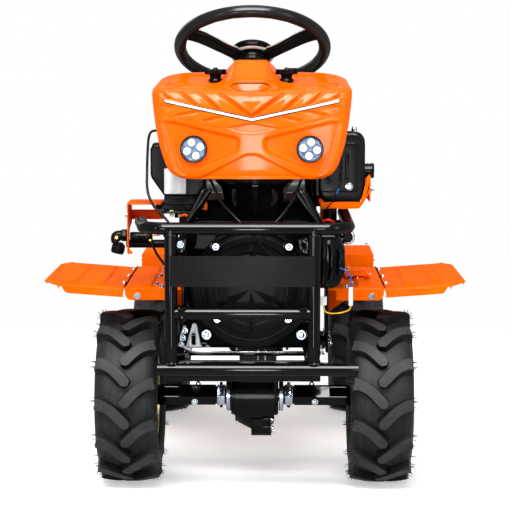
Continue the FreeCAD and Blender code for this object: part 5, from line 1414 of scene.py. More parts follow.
def hub_of(corner):
    """Middle of a wheel in millimetres, and its side of the tractor."""
    middle = [(a + b) / 2 for a, b in zip(*extent(f"tyre_{corner}"))]
    return middle, 1 if middle[0] > 0 else -1


def lug_path(along):
    """Across and around the tread from the shoulder, 0, to the rounded inner end, 1."""
    across = np.interp(along, [0, 0.25, 0.5, 0.75, 1], [67, 50, 31, 15.5, 0.5])
    around = np.interp(along, [0, 0.25, 0.5, 0.75, 1], [0, 3.5, 14.5, 29.5, 46])
    return across, around


def lug(outer, base, wide):
    """One bar of the tread on the side of +x at the top of a wheel at the origin."""
    fine = np.linspace(0, 1, 120)
    run = np.stack(lug_path(fine), 1)
    kernel = np.ones(17) / 17
    padded = np.vstack([2 * run[0] - run[8:0:-1], run, 2 * run[-1] - run[-2:-10:-1]])
    run = np.stack([np.convolve(column, kernel, "valid") for column in padded.T], 1)
    heading = np.gradient(run, axis=0)
    heading /= np.linalg.norm(heading, axis=1)[:, None]
    length = np.r_[0, np.cumsum(np.hypot(*np.diff(run, axis=0).T))]
    loop = [(-1.3, 0), (-1.12, 0.55), (-1.03, 0.9), (-0.93, 1.0), (-0.4, 1.0), (0.4, 1.0),
        (0.93, 1.0), (1.03, 0.9), (1.12, 0.55), (1.3, 0), (0.4, -0.05), (-0.4, -0.05), (-1.3, 0)]

    def place(a, b):
        index = np.rint(a * 12).astype(int)
        side = np.array([p[0] for p in loop])[index]
        rise = np.array([p[1] for p in loop])[index]
        along = np.clip((b * 17 - 1) / 16, 0, 1)
        reach = (length[-1] + wide / 2) * along
        spot = np.minimum(reach, length[-1])
        x, s = (np.interp(spot, length, run[:, n]) for n in (0, 1))
        hx, hs = (np.interp(spot, length, heading[:, n]) for n in (0, 1))
        past = np.clip((reach - length[-1]) / (wide / 2), 0, 1)
        x, s = x + hx * past * wide / 2, s + hs * past * wide / 2
        half = wide / 2 * np.sqrt(np.clip(1 - past ** 2, 0, 1)) * np.where(b * 17 < 0.5, 0, 1)
        half = half * (1 + 0.18 * (1 - ease(along, 0, 0.35)))
        x, s = x - hs * half * side, s + hx * half * side
        crown = outer - 6.0 * (np.abs(x) / 66) ** 2.6
        foot = np.interp(np.abs(x), [0, 52, 60, 68], [base - 5, base - 9, base - 16, base - 34])
        r = foot + (crown - foot) * rise
        angle = s / outer
        return x, -r * np.sin(angle), r * np.cos(angle)

    return merged(pressed_grid(12, 17, place), 0.02)


def about_axle(piece, degrees):
    piece.data.transform(Matrix.Rotation(math.radians(degrees), 4, "X"))
    return piece


class TRACTOR_OT_tyres(Operator):
    """Four tractor tyres: carcass, slanted lugs in two staggered rows, and vent hairs"""
    bl_idname = "tractor.tyres"
    bl_label = "Tyres"

    def execute(self, context):
        low, high = extent("tyre_front_left")
        outer, half = (high[2] - low[2]) / 2, (high[0] - low[0]) / 2
        base = sizes().carcass / MM
        count = sizes().lug_count
        carcass = turned([(112.5, half - 18), (118, half - 19), (124, half - 13), (136, half - 4),
            (148, half - 0.6), (158, half), (166, half - 2), (173, half - 7),
            (base - 5, half - 14), (base - 1.5, half - 30), (base, half - 50), (base + 0.4, 0),
            (base, 50 - half), (base - 1.5, 30 - half), (base - 5, 14 - half), (173, 7 - half),
            (166, 2 - half), (158, -half), (148, 0.6 - half), (136, 4 - half), (124, 13 - half),
            (118, 19 - half), (112.5, 18 - half), (112.5, half - 18)], (0, 0, 0), "x", 96)
        ribs = []
        for side in (-1, 1):
            for radius, reach in ((128, half - 9.2), (152, half - 0.4)):
                ribs.append(ring((side * reach, 0, 0), radius, 1.3, "x", 80, 8))
        pattern = lug(outer, base, sizes().lug_width / MM)
        step = 360 / count
        parts = Parts([carcass, *ribs])
        wander = random.Random(4)
        hairs = self.hairs()
        for number in range(count):
            bar = copied(pattern)
            parts.append(about_axle(bar, number * step))
            bar = mirrored(pattern)
            parts.append(about_axle(bar, number * step + step / 2))
            for turn, flip in ((number * step, False), ((number + 0.5) * step, True)):
                for hair in hairs:
                    strand = mirrored(hair) if flip else copied(hair)
                    parts.append(about_axle(strand, turn + wander.uniform(-3, 3)))
                    low_end = min((Matrix.Rotation(math.radians(PHASE), 4, "X") @ v.co).z
                                  for v in strand.data.vertices)
                    if low_end < -0.2005:
                        removed(parts.pop())
        removed(pattern, *hairs)
        model = painted(joined(*parts), "tyre_rubber")
        # painted shade: the darker rubbers go on the tread base between the lugs and on the lugs'
        # side walls
        second_finish(model, "tyre_body",
                      lambda spot, normal: math.hypot(spot.y, spot.z) < base + 3)
        second_finish(model, "tyre_deep", lambda spot, normal: (
            math.hypot(spot.y, spot.z) > base - 2 and abs(spot.x) < half - 4
            and (normal.y * spot.y + normal.z * spot.z) / math.hypot(spot.y, spot.z) < 0.5))
        only(model)
        bpy.ops.object.shade_smooth_by_angle(angle=math.radians(32))
        about_axle(model, PHASE)
        for corner in CORNERS:
            middle, side = hub_of(corner)
            tyre = copied(model) if side > 0 else mirrored(model)
            piece(moved(tyre, middle), f"tread_{corner}", f"wheel_{corner}", "tyre_rubber",
                [f"tyre_{corner}"], None, None)
        removed(model)
        return {"FINISHED"}

    def hairs(self):
        """A few moulding hairs at the outer end of a lug at the top of the wheel."""
        long = sizes().hair_length / MM
        made = []
        for x, r, around, lean, rise, stretch in (
                (66, 190, -10, 14, 42, 1.2), (67, 186, -3, -10, 60, 1.0),
                (68, 180, 5, 8, 76, 1.1), (64, 196, 8, 20, 22, 0.85),
                (57, 198, -6, -14, 12, 0.7), (69, 168, 10, 18, 84, 1.2)):
            nothing_selected()
            bpy.ops.mesh.primitive_cone_add(vertices=4, radius1=1.1 * MM, radius2=0.55 * MM,
                depth=long * stretch * MM)
            hair = added()
            hair.data.transform(Matrix.Translation((0, 0, long * stretch / 2 * MM)))
            hair.data.transform(Matrix.Rotation(math.radians(rise), 4, "Y"))
            hair.data.transform(Matrix.Rotation(math.radians(lean), 4, "X"))
            hair.data.transform(Matrix.Translation(metres((x, around, r))))
            made.append(hair)
        return made


class TRACTOR_OT_hubs(Operator):
    """Wheel nuts, valve, bright washers and hexagons, set screws and axle lock bolts"""
    bl_idname = "tractor.hubs"
    bl_label = "Hubs and axle fittings"

    def execute(self, context):
        for corner in CORNERS:
            middle, side = hub_of(corner)
            parts = Parts()
            face = middle[0] + side * 5
            for count in range(4):
                angle = math.radians(count * 90 + 45)
                at = (face, middle[1] + 40 * math.cos(angle), middle[2] + 40 * math.sin(angle))
                parts.append(bolt(at, 17, "x", side, 10))
                back = (middle[0] - side * 14, at[1], at[2])
                parts.append(bolt(back, 15, "x", -side, 7))
            cap = turned([(0, 9), (14, 9), (19, 6), (21, 0), (24, -1), (24, -4), (0, -4)],
                (0, 0, 0), "x", 40)
            cap = handed(cap, side)
            parts.add("black_paint", moved(cap, (face + side * 2, *middle[1:])))
            parts.add("black_plastic", tube([(middle[0] + side * 22, middle[1], middle[2] + 92),
                (middle[0] + side * 34, middle[1], middle[2] + 84), (middle[0] + side * 44,
                middle[1], middle[2] + 80)], 3.6))
            parts += self.axle_fittings(middle, side)
            parts.done(f"hub_fittings_{corner}", f"wheel_{corner}", "axle_steel", (), 35)
        return {"FINISHED"}

    def axle_fittings(self, middle, side):
        """Bright washer and hexagon over the half axle, with their screws."""
        y, z = middle[1:]
        parts = Parts()
        washer = turned([(20, 0), (36.4, 0), (38.4, 1.6), (38.4, 9.2), (36.4, 10.8), (20, 10.8)],
            (0, 0, 0), "x", 64)
        parts.add("zinc", moved(washer, (side * 62.2 - 5.4, y, z)))
        parts.add("zinc", softened(hexagon((side * 79.5, y, z), 45.4, 19, "x"), 1.4, 2))
        parts.rod("zinc", (side * 90.5, y, z), 19, 4, "x", 40, 0.8)
        for up in (1, -1):
            at = (side * 79.5, y, z + up * 22)
            parts.append(bolt(at, 9, "z", up, 7, "black_paint", washer=False))
        parts.append(bolt((side * 141.5, y - 20.5, z - 13), 11, "y", -1, 5))
        parts.add("deep_black", softened(hexagon((side * 202, y, z), 44, 56, "x"), 1.2, 2))
        parts.add("black_paint", tube([(side * 134 - 5, y, z + 22), (side * 134 - 4, y, z + 29),
            (side * 134, y, z + 32), (side * 134 + 4, y, z + 29), (side * 134 + 5, y, z + 22)],
            1.8, sides=3))
        return parts


class TRACTOR_OT_gearboxes(Operator):
    """Casting ribs, flanges, sump bolts and the neck's pins of the axle gearboxes"""
    bl_idname = "tractor.gearboxes"
    bl_label = "Gearbox details"

    def execute(self, context):
        for end, body in (("front", "front_frame"), ("rear", "rear_frame")):
            middle, _ = hub_of(f"{end}_left")
            y, z = middle[1:]
            parts = Parts()
            for x in (-44.5, 46.5):
                parts.add("black_casting", turned([(30, 0), (44, 0), (48, 2), (48, 12), (44, 14.5),
                    (30, 14.5)], (x - 7, y, z), "x", 64))
            for x, radius in ((-34, 56), (-12, 58), (14, 60), (30, 56)):
                parts.add("black_casting", turned([(40, -2.5), (radius - 2, -2.5), (radius, -1),
                    (radius, 1), (radius - 2, 2.5), (40, 2.5)], (x, y, z), "x", 56))
            parts.add("black_casting", turned([(38, -38), (52, -36), (55, -28), (56, -10),
                (58, -8), (58, 8), (56, 10), (54, 30), (48, 38), (38, 38)], (0, y, z), "x", 64))
            cone = cylinder((-24, y, z - 30), 34, 34, "x", 40, top=52)
            parts.add("black_casting", softened(cone, 2))
            parts.add("black_casting", plate([(y - 38, z - 20, 6), (y + 38, z - 20, 6),
                (y + 34, z - 78, 22), (y - 34, z - 78, 22)], 14, "x", 31, soft=2))
            for dy, dz in ((-34, -17), (-36, -52), (-28, -73), (28, -73), (34, -17), (0, -86)):
                at = (37.5, y + dy, z + dz)
                parts.append(bolt(at, 10, "x", 1, 6))
                parts.rod("black_casting", (28, y + dy, z + dz), 8, 18, "x", 20, 1)
            if end == "front":
                parts += self.neck(y)
            parts.done(f"{end}_gearbox_details", body, "black_casting", (), 38)
        return {"FINISHED"}

    def neck(self, y):
        """Flange under the engine tray, two bright pins and small side lugs."""
        face = y - 60
        parts = Parts()
        for x in (8, 25):
            parts.rod("axle_steel", (x, face - 1.5, 308), 2.6, 34, "z", 14, 0.8)
        parts.bar("black_casting", (-40, face - 5, 322), (52, face + 30, 329.5), 2)
        for x, z in ((-50, 322), (-44, 313), (60, 321), (56, 312)):
            parts.rod("black_casting", (x, face + 6, z), 6, 12, "z", 18, 1.5)
        return parts


# ------------------------------------------------------------------------------------
# Front guard
# ------------------------------------------------------------------------------------
class TRACTOR_OT_guard_details(Operator):
    """Weld beads, flattened feet, bolted tabs and the plate's folded edges"""
    bl_idname = "tractor.guard_details"
    bl_label = "Guard details"

    def execute(self, context):
        low, high = extent("guard_uprights")
        y = (low[1] + high[1]) / 2
        posts = (low[0] + 14, high[0] - 14)
        parts = Parts()
        for side, x in zip((-1, 1), posts):
            parts.add("black_paint", plate([(x - 8, 322), (x + 8, 322), (x + 14.5, 352, 6),
                (x + 13, 392, 8), (x - 13, 392, 8), (x - 14.5, 352, 6)], 20, "y", y, soft=6))
            parts.append(weld(self.round_bead(x, y, 333, 13), 2.2, 3))
            parts.append(weld(self.round_bead(x, y, 614, 14.5), 2.4, 5))
            parts.add("black_paint", self.tab(x - side * 22, y + 8, side))
            if side < 0:
                parts.append(bolt((x + 21, y + 3, 594), 11.5, "y", -1, 5))
            inner = x - side * 12
            parts.add("black_paint", plate([(inner, 424, 3), (inner - side * 24, 428, 6),
                (inner - side * 24, 458, 6), (inner, 462, 3)], 24, "y", y, soft=7))
            bead = [(x - side * 13.5, y - 8, 426), (x - side * 14.5, y - 3, 436),
                (x - side * 14.5, y - 3, 450), (x - side * 13.5, y - 8, 461)]
            parts.append(weld(bead, 2.4, 7))
        plate_low, plate_high = extent("guard_plate")
        for z in (plate_low[2] + 1.6, plate_high[2] - 1.6):
            parts.add("satin_plate", tube([(plate_low[0] + 2, plate_low[1] + 1.4, z),
                ((plate_low[0] + plate_high[0]) / 2, plate_low[1] + 1.3, z), (plate_high[0] - 2,
                plate_low[1] + 1.4, z)], 1.2, sides=3))
        parts.done("guard_details", "front_frame", "black_paint", (), 36)
        self.upper_bar()
        return {"FINISHED"}

    def upper_bar(self):
        """The bent upper tube, with one short and one long return."""
        low, high = extent("guard_upper_bar")
        radius = (high[2] - low[2]) / 2
        left, right = low[0] + radius, high[0] - radius
        front, z = low[1] + radius, (low[2] + high[2]) / 2
        bend = 56
        turns = [math.radians(step) for step in range(0, 91, 10)]
        line = [(left - 12, front + 150, z), (left - 5, front + 100, z)]
        line += [(left + bend - bend * math.cos(t), front + bend - bend * math.sin(t), z)
                 for t in turns]
        line += [(right - bend + bend * math.sin(t), front + bend - bend * math.cos(t), z)
                 for t in turns]
        line.append((right, high[1] - 2, z))
        bar = tube(line, radius - 0.1, False, 8)
        piece(bar, "guard_top_tube", "front_frame", "black_paint", ["guard_upper_bar"],
            "black_paint", 40)

    def round_bead(self, x, y, z, radius):
        return [(x + radius * math.cos(a), y + radius * math.sin(a), z + 1.2 * math.sin(3 * a))
                for a in [math.radians(n * 30) for n in range(-1, 13)]]

    def tab(self, x, y, side):
        """Small ear with its bolt hole, welded inside an upright."""
        hole = [(x + 5 * math.cos(a), 592 + 5 * math.sin(a))
                for a in [math.tau * n / 12 for n in range(12)]]
        out = side * 1
        return plate([(x + out * 14, 612, 3), (x - out * 12, 606, 5), (x - out * 9, 580, 6),
            (x + out * 14, 562, 3)], 5, "y", y, [hole], soft=1)


# ------------------------------------------------------------------------------------
# Engine front
# ------------------------------------------------------------------------------------
FAN_X, FAN_Z = -4.0, 492.0


class TRACTOR_OT_fan_housing(Operator):
    """Blower housing: stepped round cover with pressed rings and rays, and its bolts"""
    bl_idname = "tractor.fan_housing"
    bl_label = "Fan housing"

    def execute(self, context):
        low, high = extent("fan_housing")
        face = low[1]
        shroud = plate([(low[0] + 52, low[2], 20), (high[0] - 40, low[2], 20),
            (high[0] - 26, low[2] + 24, 30), (high[0], low[2] + 112, 60), (high[0], high[2], 38),
            (low[0], high[2], 38), (low[0], low[2] + 112, 60), (low[0] + 38, low[2] + 24, 30)], 62,
            "y", face + 9.5 + 40, soft=5)
        cover = turned([(0, 0), (52, 0.2), (54, 1.6), (57, 1.6), (59, 0), (74, 0.4), (76, 2.2),
            (80, 2.2), (82, 0.6), (95, 1.0), (99, 2.5), (100.5, 6), (101.5, 9), (112, 10),
            (114, 12), (118, 12), (120, 10.4), (129, 11), (133, 13), (134.5, 18), (134.5, 40),
            (0, 40)], (FAN_X, face, FAN_Z), "y", 128)
        for vertex in cover.data.vertices:
            x, z = vertex.co.x / MM - FAN_X, vertex.co.z / MM - FAN_Z
            radius = math.hypot(x, z)
            if 1 < radius < 98:
                angle = math.degrees(math.atan2(z, x)) % 60
                ray = abs(angle - 30) * math.radians(1) * radius
                vertex.co.y += 0.0012 * max(0, 1 - ray / 9)
        parts = Parts()
        parts.add("cover_black", shroud)
        parts.add("cover_satin", cover)
        for count in range(6):
            angle = math.radians(60 * count + 30)
            first = (FAN_X + 62 * math.cos(angle), face + 0.9, FAN_Z + 62 * math.sin(angle))
            last = (FAN_X + 98 * math.cos(angle), face + 1.9, FAN_Z + 98 * math.sin(angle))
            parts.add("cover_black", tube([first, last], 1.4, False, 3))
        for x, z in ((-82.5, 583.5), (78.5, 583.5), (-80, 423), (77, 423)):
            parts.rod("black_casting", (x, face + 16, z), 15, 18, "y", 28, 2.5)
            parts.append(bolt((x, face + 7.4, z), 11, "y", -1, 6))
        for x, z in ((-103.6, 389), (106, 389)):
            parts.rod("black_casting", (x, face + 14, z), 13, 20, "y", 24, 2)
            parts.append(bolt((x, face + 4.5, z), 15, "y", -1, 7))
        for side in (-1, 1):
            turns = [math.radians(90 + side * (12 + step * 7)) for step in range(9)]
            line = [(FAN_X + 126 * math.cos(t), face + 11, FAN_Z + 126 * math.sin(t))
                    for t in turns]
            parts.add("cover_black", tube(line, 2.2, True, 3))
        parts.done("blower_housing", "front_frame", "black_casting", ["fan_housing"], 34)
        return {"FINISHED"}


class TRACTOR_OT_engine_details(Operator):
    """Cowl ridges, starter, fins, tray edge, brackets and struts around the engine"""
    bl_idname = "tractor.engine_details"
    bl_label = "Engine details"

    def execute(self, context):
        self.cowl()
        self.starter()
        self.tray()
        self.struts()
        self.block()
        return {"FINISHED"}

    def cowl(self):
        """Glossy cylinder cowl with upright ridges."""
        low, high = extent("cylinder_cowl")
        body = plate([(low[0] - 4, low[2], 20), (high[0] - 16, low[2], 26),
            (high[0], low[2] + 40, 26), (high[0], high[2] - 34, 26), (high[0] - 14, high[2], 24),
            (low[0] - 4, high[2], 12)], high[1] - low[1] - 2, "y", (low[1] + high[1]) / 2, soft=9)
        parts = Parts()
        parts.add("gloss_black", body)
        for x, foot, head, lean in ((low[0] + 14, 498, 590, -6), (low[0] + 32, 490, 586, -4),
                (low[0] + 50, 500, 578, -3), (high[0] - 12, 510, 566, -2)):
            line = [(x + lean, low[1] - 0.5, foot), (x, low[1] - 5, foot + 20),
                (x, low[1] - 6, (foot + head) / 2), (x, low[1] - 5, head - 18),
                (x + lean, low[1] + 1, head)]
            parts.add("gloss_black", tube(line, 6.5, True, 5))
        for z in range(500, 590, 11):
            parts.bar("black_casting", (high[0] - 8, low[1] + 24, z), (high[0] - 0.5, high[1] - 14,
                z + 4), 1)
        parts.done("cowl", "front_frame", "black_casting", ["cylinder_cowl"], 40)

    def starter(self):
        """Bright starter can under the muffler, with its dark end cap and relay."""
        at = (213, -430, 588)
        can = turned([(0, -52), (14, -52), (17, -49), (17.5, -44), (17.5, 40), (16, 44), (0, 44)],
            at, "y", 40)
        parts = Parts()
        parts.add("zinc", can)
        parts.add("black_plastic", turned([(0, -60), (9, -60), (12, -56), (13, -51), (0, -50)], at,
            "y", 32))
        parts.rod("black_plastic", (196, -452, 612), 11, 60, "y", 28, 2)
        parts.add("black_plastic", tube([(176, -498, 606), (196, -506, 622), (214, -500, 622),
            (226, -488, 612)], 5, True, 4))
        parts.add("wire_red", tube([(150, -500, 622), (163, -508, 632), (177, -506, 628),
            (186, -498, 620)], 3, True, 4))
        for spot in ((160, -506, 612), (172, -508, 604)):
            parts.append(bolt(spot, 9, "y", -1, 5))
        parts.done("starter", "front_frame", "axle_steel", (), 38)

    def tray(self):
        """Bright lower edge of the engine tray, its gussets and the aluminium bracket."""
        parts = Parts()
        parts.bar("axle_steel", (-140, -606, 341), (112, -600, 345), 1)
        parts.bar("black_paint", (-146, -604, 334), (118, -596, 341), 1.5)
        for side, x in ((-1, -146), (1, 112)):
            parts.add("axle_steel", plate([(x - 2, 340, 2), (x + 10, 340, 2),
                (x + 6 + side * 10, 308, 2), (x - 4 + side * 12, 308, 2)], 6, "y", -598, soft=0.8))
        slot = [(-134 + 4.5 * math.cos(a), 372 + (9 if math.sin(a) > 0 else -9)
                 + 4.5 * math.sin(a)) for a in [math.tau * n / 16 for n in range(16)]]
        parts.add("cast_aluminium", plate([(-152, 352, 5), (-112, 352, 8), (-118, 362, 8),
            (-126, 408, 5), (-136, 408, 5), (-146, 376, 6)], 9, "y", -604, [slot], soft=1.6))
        parts.add("cast_aluminium", tube([(-152, -606, 402), (-162, -604, 380), (-160, -604, 352),
            (-140, -604, 347)], 4.2, True, 4))
        for at, head in (((-157, -610, 376), 9), ((-152, -610, 392), 9), ((-161, -608, 360), 8)):
            parts.append(bolt(at, head, "y", -1, 6))
        parts.add("black_plastic", tube([(-160, -600, 410), (-154, -606, 398), (-162, -604, 388)],
            3, True, 4))
        parts.done("tray_fittings", "front_frame", None, (), 36)

    def struts(self):
        """Slanted braces from the column support down to the housing, with their edges."""
        parts = Parts()
        for side in (-1, 1):
            start, end = (side * 96 - 4, -560, 700), (side * 150 - 4, -560, 622)
            for shift, thick in ((0, 7), (16, 5)):
                line = [(start[0] + side * shift, start[1], start[2] - shift * 0.3),
                    (end[0] + side * shift * 0.2, end[1], end[2] - shift * 0.2)]
                parts.add("black_paint", tube(line, thick, False, 4))
            parts.add("black_paint", plate([(side * 92, 706, 4), (side * 116, 704, 4),
                (side * 162, 618, 4), (side * 140, 612, 4)], 5, "y", -556, soft=1))
            parts.append(bolt((side * 152 - 4, -562, 622), 11, "y", -1, 6, "black_paint"))
        parts.done("column_struts", "front_frame", "black_paint", (), 36)

    def block(self):
        """Crankcase seams, cooling fins, oil plug and dipstick on the engine block."""
        low, high = extent("engine")
        parts = Parts()
        for z in range(int(low[2]) + 150, int(high[2]) - 6, 13):
            parts.bar("black_casting", (low[0] + 6, low[1] + 20, z),
                (high[0] - 6, high[1] + 6, z + 4), 1.2)
        parts.bar("black_casting", (low[0] - 4, low[1] + 12, low[2] + 96), (high[0] + 4,
            high[1] + 4, low[2] + 106), 2)
        for x in (low[0] + 14, -30, 40, high[0] - 14):
            parts.append(bolt((x, high[1] + 3, low[2] + 101), 10, "y", 1, 6))
        for x in (low[0], high[0]):
            side = -1 if x < 0 else 1
            parts.append(bolt((x, low[1] + 60, low[2] + 40), 17, "x", side, 9))
            parts.rod("black_casting", (x, low[1] + 130, low[2] + 58), 30, 10, "x", 36, 2)
        parts.bar("deep_black", (-128, -536, 612), (-58, -380, 664), 8, 3)
        parts.rod("deep_black", (-96, -500, 660), 24, 16, "z", 36, 3)
        parts.bar("deep_black", (52, -520, 612), (122, -380, 658), 8, 3)
        parts.add("wire_orange", turned([(0, 0), (5, 0), (6, 3), (6, 14), (4, 18), (0, 18)],
            (-111, -538, 656), "z", 24))
        parts.add("black_paint", tube([(-100, -300, low[2] + 80), (-106, -296, 520),
            (-104, -300, 600), (-96, -302, 626)], 4, True, 4))
        parts.rod("black_plastic", (-96, -302, 632), 10, 12, "z", 24, 2)
        parts.done("engine_fittings", "front_frame", "black_casting", (), 36)


class TRACTOR_OT_air_cleaner(Operator):
    """Ribbed intake drum with two clamp rings and an over-centre latch"""
    bl_idname = "tractor.air_cleaner"
    bl_label = "Air cleaner"

    def execute(self, context):
        low, high = extent("air_cleaner")
        radius = (high[0] - low[0]) / 2
        at = ((low[0] + high[0]) / 2, (low[1] + high[1]) / 2, 0)
        top = high[2]
        profile = [(0, low[2]), (46, low[2]), (47, 632), (54, 634), (58, 640), (62, 646),
            (70, 680), (76, 703), (80, 708), (84, 712), (radius - 4, 718), (radius - 3, 721),
            (radius - 3, 727), (radius - 5, 729), (radius - 5, 736), (radius - 1, 738),
            (radius - 1, 745), (radius - 4, 747), (radius - 4, top - 16), (radius - 1, top - 13),
            (radius - 1, top - 5), (radius - 7, top), (0, top)]
        body = painted(turned(profile, at, "z", 96), "gloss_black")
        parts = Parts([body])
        for z, wide in ((724, 2.2), (741.5, 1.6)):
            parts.add("black_paint", ring((at[0], at[1], z), radius - 2.6, wide, "z", 90, 10))
        front = at[1] - radius
        strap = plate([(4.5, 645, 1), (-4.5, 645, 1), (-5.5, 700, 2), (-6.5, 752, 3),
            (6.5, 752, 3), (5.5, 700, 2)], 4, "y", 0, soft=0.8)
        for vertex in strap.data.vertices:
            z = vertex.co.z / MM
            reach = np.interp(z, [640, 646, 703, 718, 760], [60, 63, 78, radius, radius + 1])
            vertex.co.y += (at[1] - reach - 2) * MM
            vertex.co.x += 3 * MM
        parts.add("black_plastic", strap)
        parts.bar("black_plastic", (-5, front - 1.5, 716), (11, front + 4, 742), 1.6)
        for z in (712, 748):
            parts.rod("black_paint", (3, front + 2, z), 3, 14, "x", 16, 0.6)
        for x in (-66, 70):
            parts.append(bolt((x, at[1] - 66, 750), 8, "y", -1, 4))
        parts.done("intake", "front_frame", "black_plastic", ["air_cleaner"], 38)
        return {"FINISHED"}


# ------------------------------------------------------------------------------------
# Foot plates and pedal
# ------------------------------------------------------------------------------------
FRONT_AXLE = hub_of("front_left")[0][1]


def pressed_sheet(across, along, ribs, lip, sheet, soft=(70, 120)):
    """A flat sheet with raised ribs and a rolled lip. across(y) gives its inner and outer
    x at each y from along[0] to along[1]; ribs are (x, y, x, y) rectangles; lip lists the
    edges that roll down: inner, outer, front, rear."""
    edge = 6.0
    start, end = along

    def spread(t, length):
        step = edge / length
        return np.interp(t, [0, 0.09, 0.91, 1], [0, step, 1 - step, 1])

    def place(a, b):
        y = start + (end - start) * spread(b, end - start)
        inner, outer = across(y)
        x = inner + (outer - inner) * spread(a, 130)
        rise = np.zeros_like(x)
        for x1, y1, x2, y2 in ribs:
            corners = [(x1, y1), (x2, y1), (x2, y2), (x1, y2)]
            rise = np.maximum(rise, ease(inside(np.stack([x, y], 1), corners), -4, 4))
        z = rise * 5.2
        gaps = {"inner": x - inner, "outer": outer - x, "front": y - start, "rear": end - y}
        for name in lip:
            gap = np.clip(gaps[name], 0, edge)
            z -= edge - np.sqrt(np.maximum(edge ** 2 - (edge - gap) ** 2, 0))
            z += 1.3 * np.exp(-((gaps[name] - 9) / 3.2) ** 2)
        return x, y, z

    made = merged(pressed_grid(*soft, place))
    if sum(face.normal.z for face in made.data.polygons) < 0:
        flipped(made)
    return modified(made, "SOLIDIFY", thickness=sheet * MM, offset=-1.0)


class TRACTOR_OT_foot_plates(Operator):
    """Pressed foot plates with ribs, rolled lips and skirts, and the brackets inside them"""
    bl_idname = "tractor.foot_plates"
    bl_label = "Foot plates"

    def execute(self, context):
        for name, side in (("left", 1), ("right", -1)):
            low, high = extent(f"foot_plate_{name}")
            start, end = low[1], high[1]
            top = self.outer(start, end)
            top.data.transform(Matrix.Rotation(math.radians(-4.2), 4, "Y"))
            moved(top, (298.4, 0, 470.4))
            if side < 0:
                top = handed(top, side)
            piece(top, f"foot_sheet_{name}", "front_frame", "orange_paint", [f"foot_plate_{name}"],
                None, 30)
        parts = Parts()
        for side in (1, -1):
            for made in self.inner(start, end):
                parts.append(handed(made, side))
        parts.done("foot_bracket_sheets", "front_frame", "orange_paint", ["foot_brackets"], 30)
        return {"FINISHED"}

    def outer(self, start, end):
        """One outer plate, flat, from its inner edge at x = 0."""
        def across(y):
            reach = np.interp(y, [start, start + 58, end - 42, end], [152, 191, 191, 168])
            return np.zeros_like(y), reach

        sheet = pressed_sheet(across, (start, end), [(48, start + 36, 70, end - 36),
            (112, start + 36, 134, end - 36)], ("outer", "front", "rear"), 2.6)
        skirt = plate([(2, -3), (2, -21, 2), (134, -21, 14), (147, -3, 4)], 2.6, "y", start + 2.4,
            soft=0.6)
        tail = plate([(2, -3), (2, -16, 2), (150, -16, 12), (160, -3, 4)], 2.6, "y", end - 2.4,
            soft=0.6)
        side_skirt = plate([(start + 70, -3), (start + 80, -14, 8), (end - 62, -14, 8),
            (end - 52, -3)], 2.4, "x", 188.6, soft=0.6)
        strap = plate([(-26, start + 40, 6), (22, start + 34, 6), (22, start + 84, 6),
            (-26, start + 84, 6)], 3, "z", -4.5, soft=0.8)
        strap_rear = moved(copied(strap), (0, 250, 0))
        parts = Parts()
        parts.add("orange_sheet", sheet, skirt, tail, side_skirt, strap, strap_rear)
        for x, y in ((8, start + 88), (6, end - 46), (8, start + 214)):
            parts.append(self.screw(x, y, 0.2))
        return joined(*parts)

    def screw(self, x, y, z):
        """Domed bright screw on the sheet."""
        head = turned([(0, 4.6), (2.0, 4.4), (2.2, 3.6), (4.4, 3.2), (5.8, 1.2), (6, 0), (7.6, 0),
            (7.8, -1.2), (0, -1.2)], (x, y, z), "z", 28)
        return painted(head, "axle_steel")

    def inner(self, start, end):
        """The bracket's parts on the left: top sheet, skirts, web, bolts, and a black strip along
        the outer plate's edge that paints its shadow.
        """
        def across(y):
            return np.full_like(y, 168.4), np.full_like(y, 297.6)

        sheet = pressed_sheet(across, (start, end), [(236, start + 14, 256, end - 40),
            (192, start + 60, 206, end - 70)], ("front", "rear"), 2.8, (60, 110))
        moved(sheet, (0, 0, 472.6))
        skirt = plate([(187, 469), (187, 443, 4), (290, 443, 14), (297, 456, 10), (297, 469, 3)],
            3, "y", start + 2.6, soft=0.8)
        rear = plate([(176, 469), (176, 452, 4), (290, 452, 12), (297, 469, 3)], 3, "y", end - 2.6,
            soft=0.8)
        web = plate([(FRONT_AXLE + 22, 469), (FRONT_AXLE + 22, 300, 8), (FRONT_AXLE + 60, 295, 10),
            (FRONT_AXLE + 182, 295, 10), (FRONT_AXLE + 218, 300, 8), (FRONT_AXLE + 218, 469)], 5.6,
            "x", 170.4, soft=1.2)
        gusset = plate([(173, 469, 2), (282, 469, 4), (173, 392, 6)], 4, "y", FRONT_AXLE + 60,
            soft=0.8)
        twin = moved(copied(gusset), (0, 120, 0))
        parts = Parts()
        parts.add("orange_sheet", sheet, skirt, rear, gusset, twin)
        parts.add("black_paint", web)
        for y in (start + 52, start + 198, start + 330):
            parts.append(bolt((226, y, 471.4), 11, "z", 1, 6, "axle_steel"))
        parts.append(bolt((212, start + 9, 472), 10, "z", 1, 5, "axle_steel"))
        parts.append(bolt((269, start + 0.4, 453), 11, "y", -1, 5, "axle_steel"))
        for y in (FRONT_AXLE + 50, FRONT_AXLE + 120, FRONT_AXLE + 190):
            parts.append(bolt((173.6, y, 318), 14, "x", 1, 8, "axle_steel"))
        # painted shadow: a dark strip where the outer plate meets the bracket
        parts.add("deep_black", block((296.8, start + 4, 472.2), (299.2, end - 5, 474.4)))
        return parts


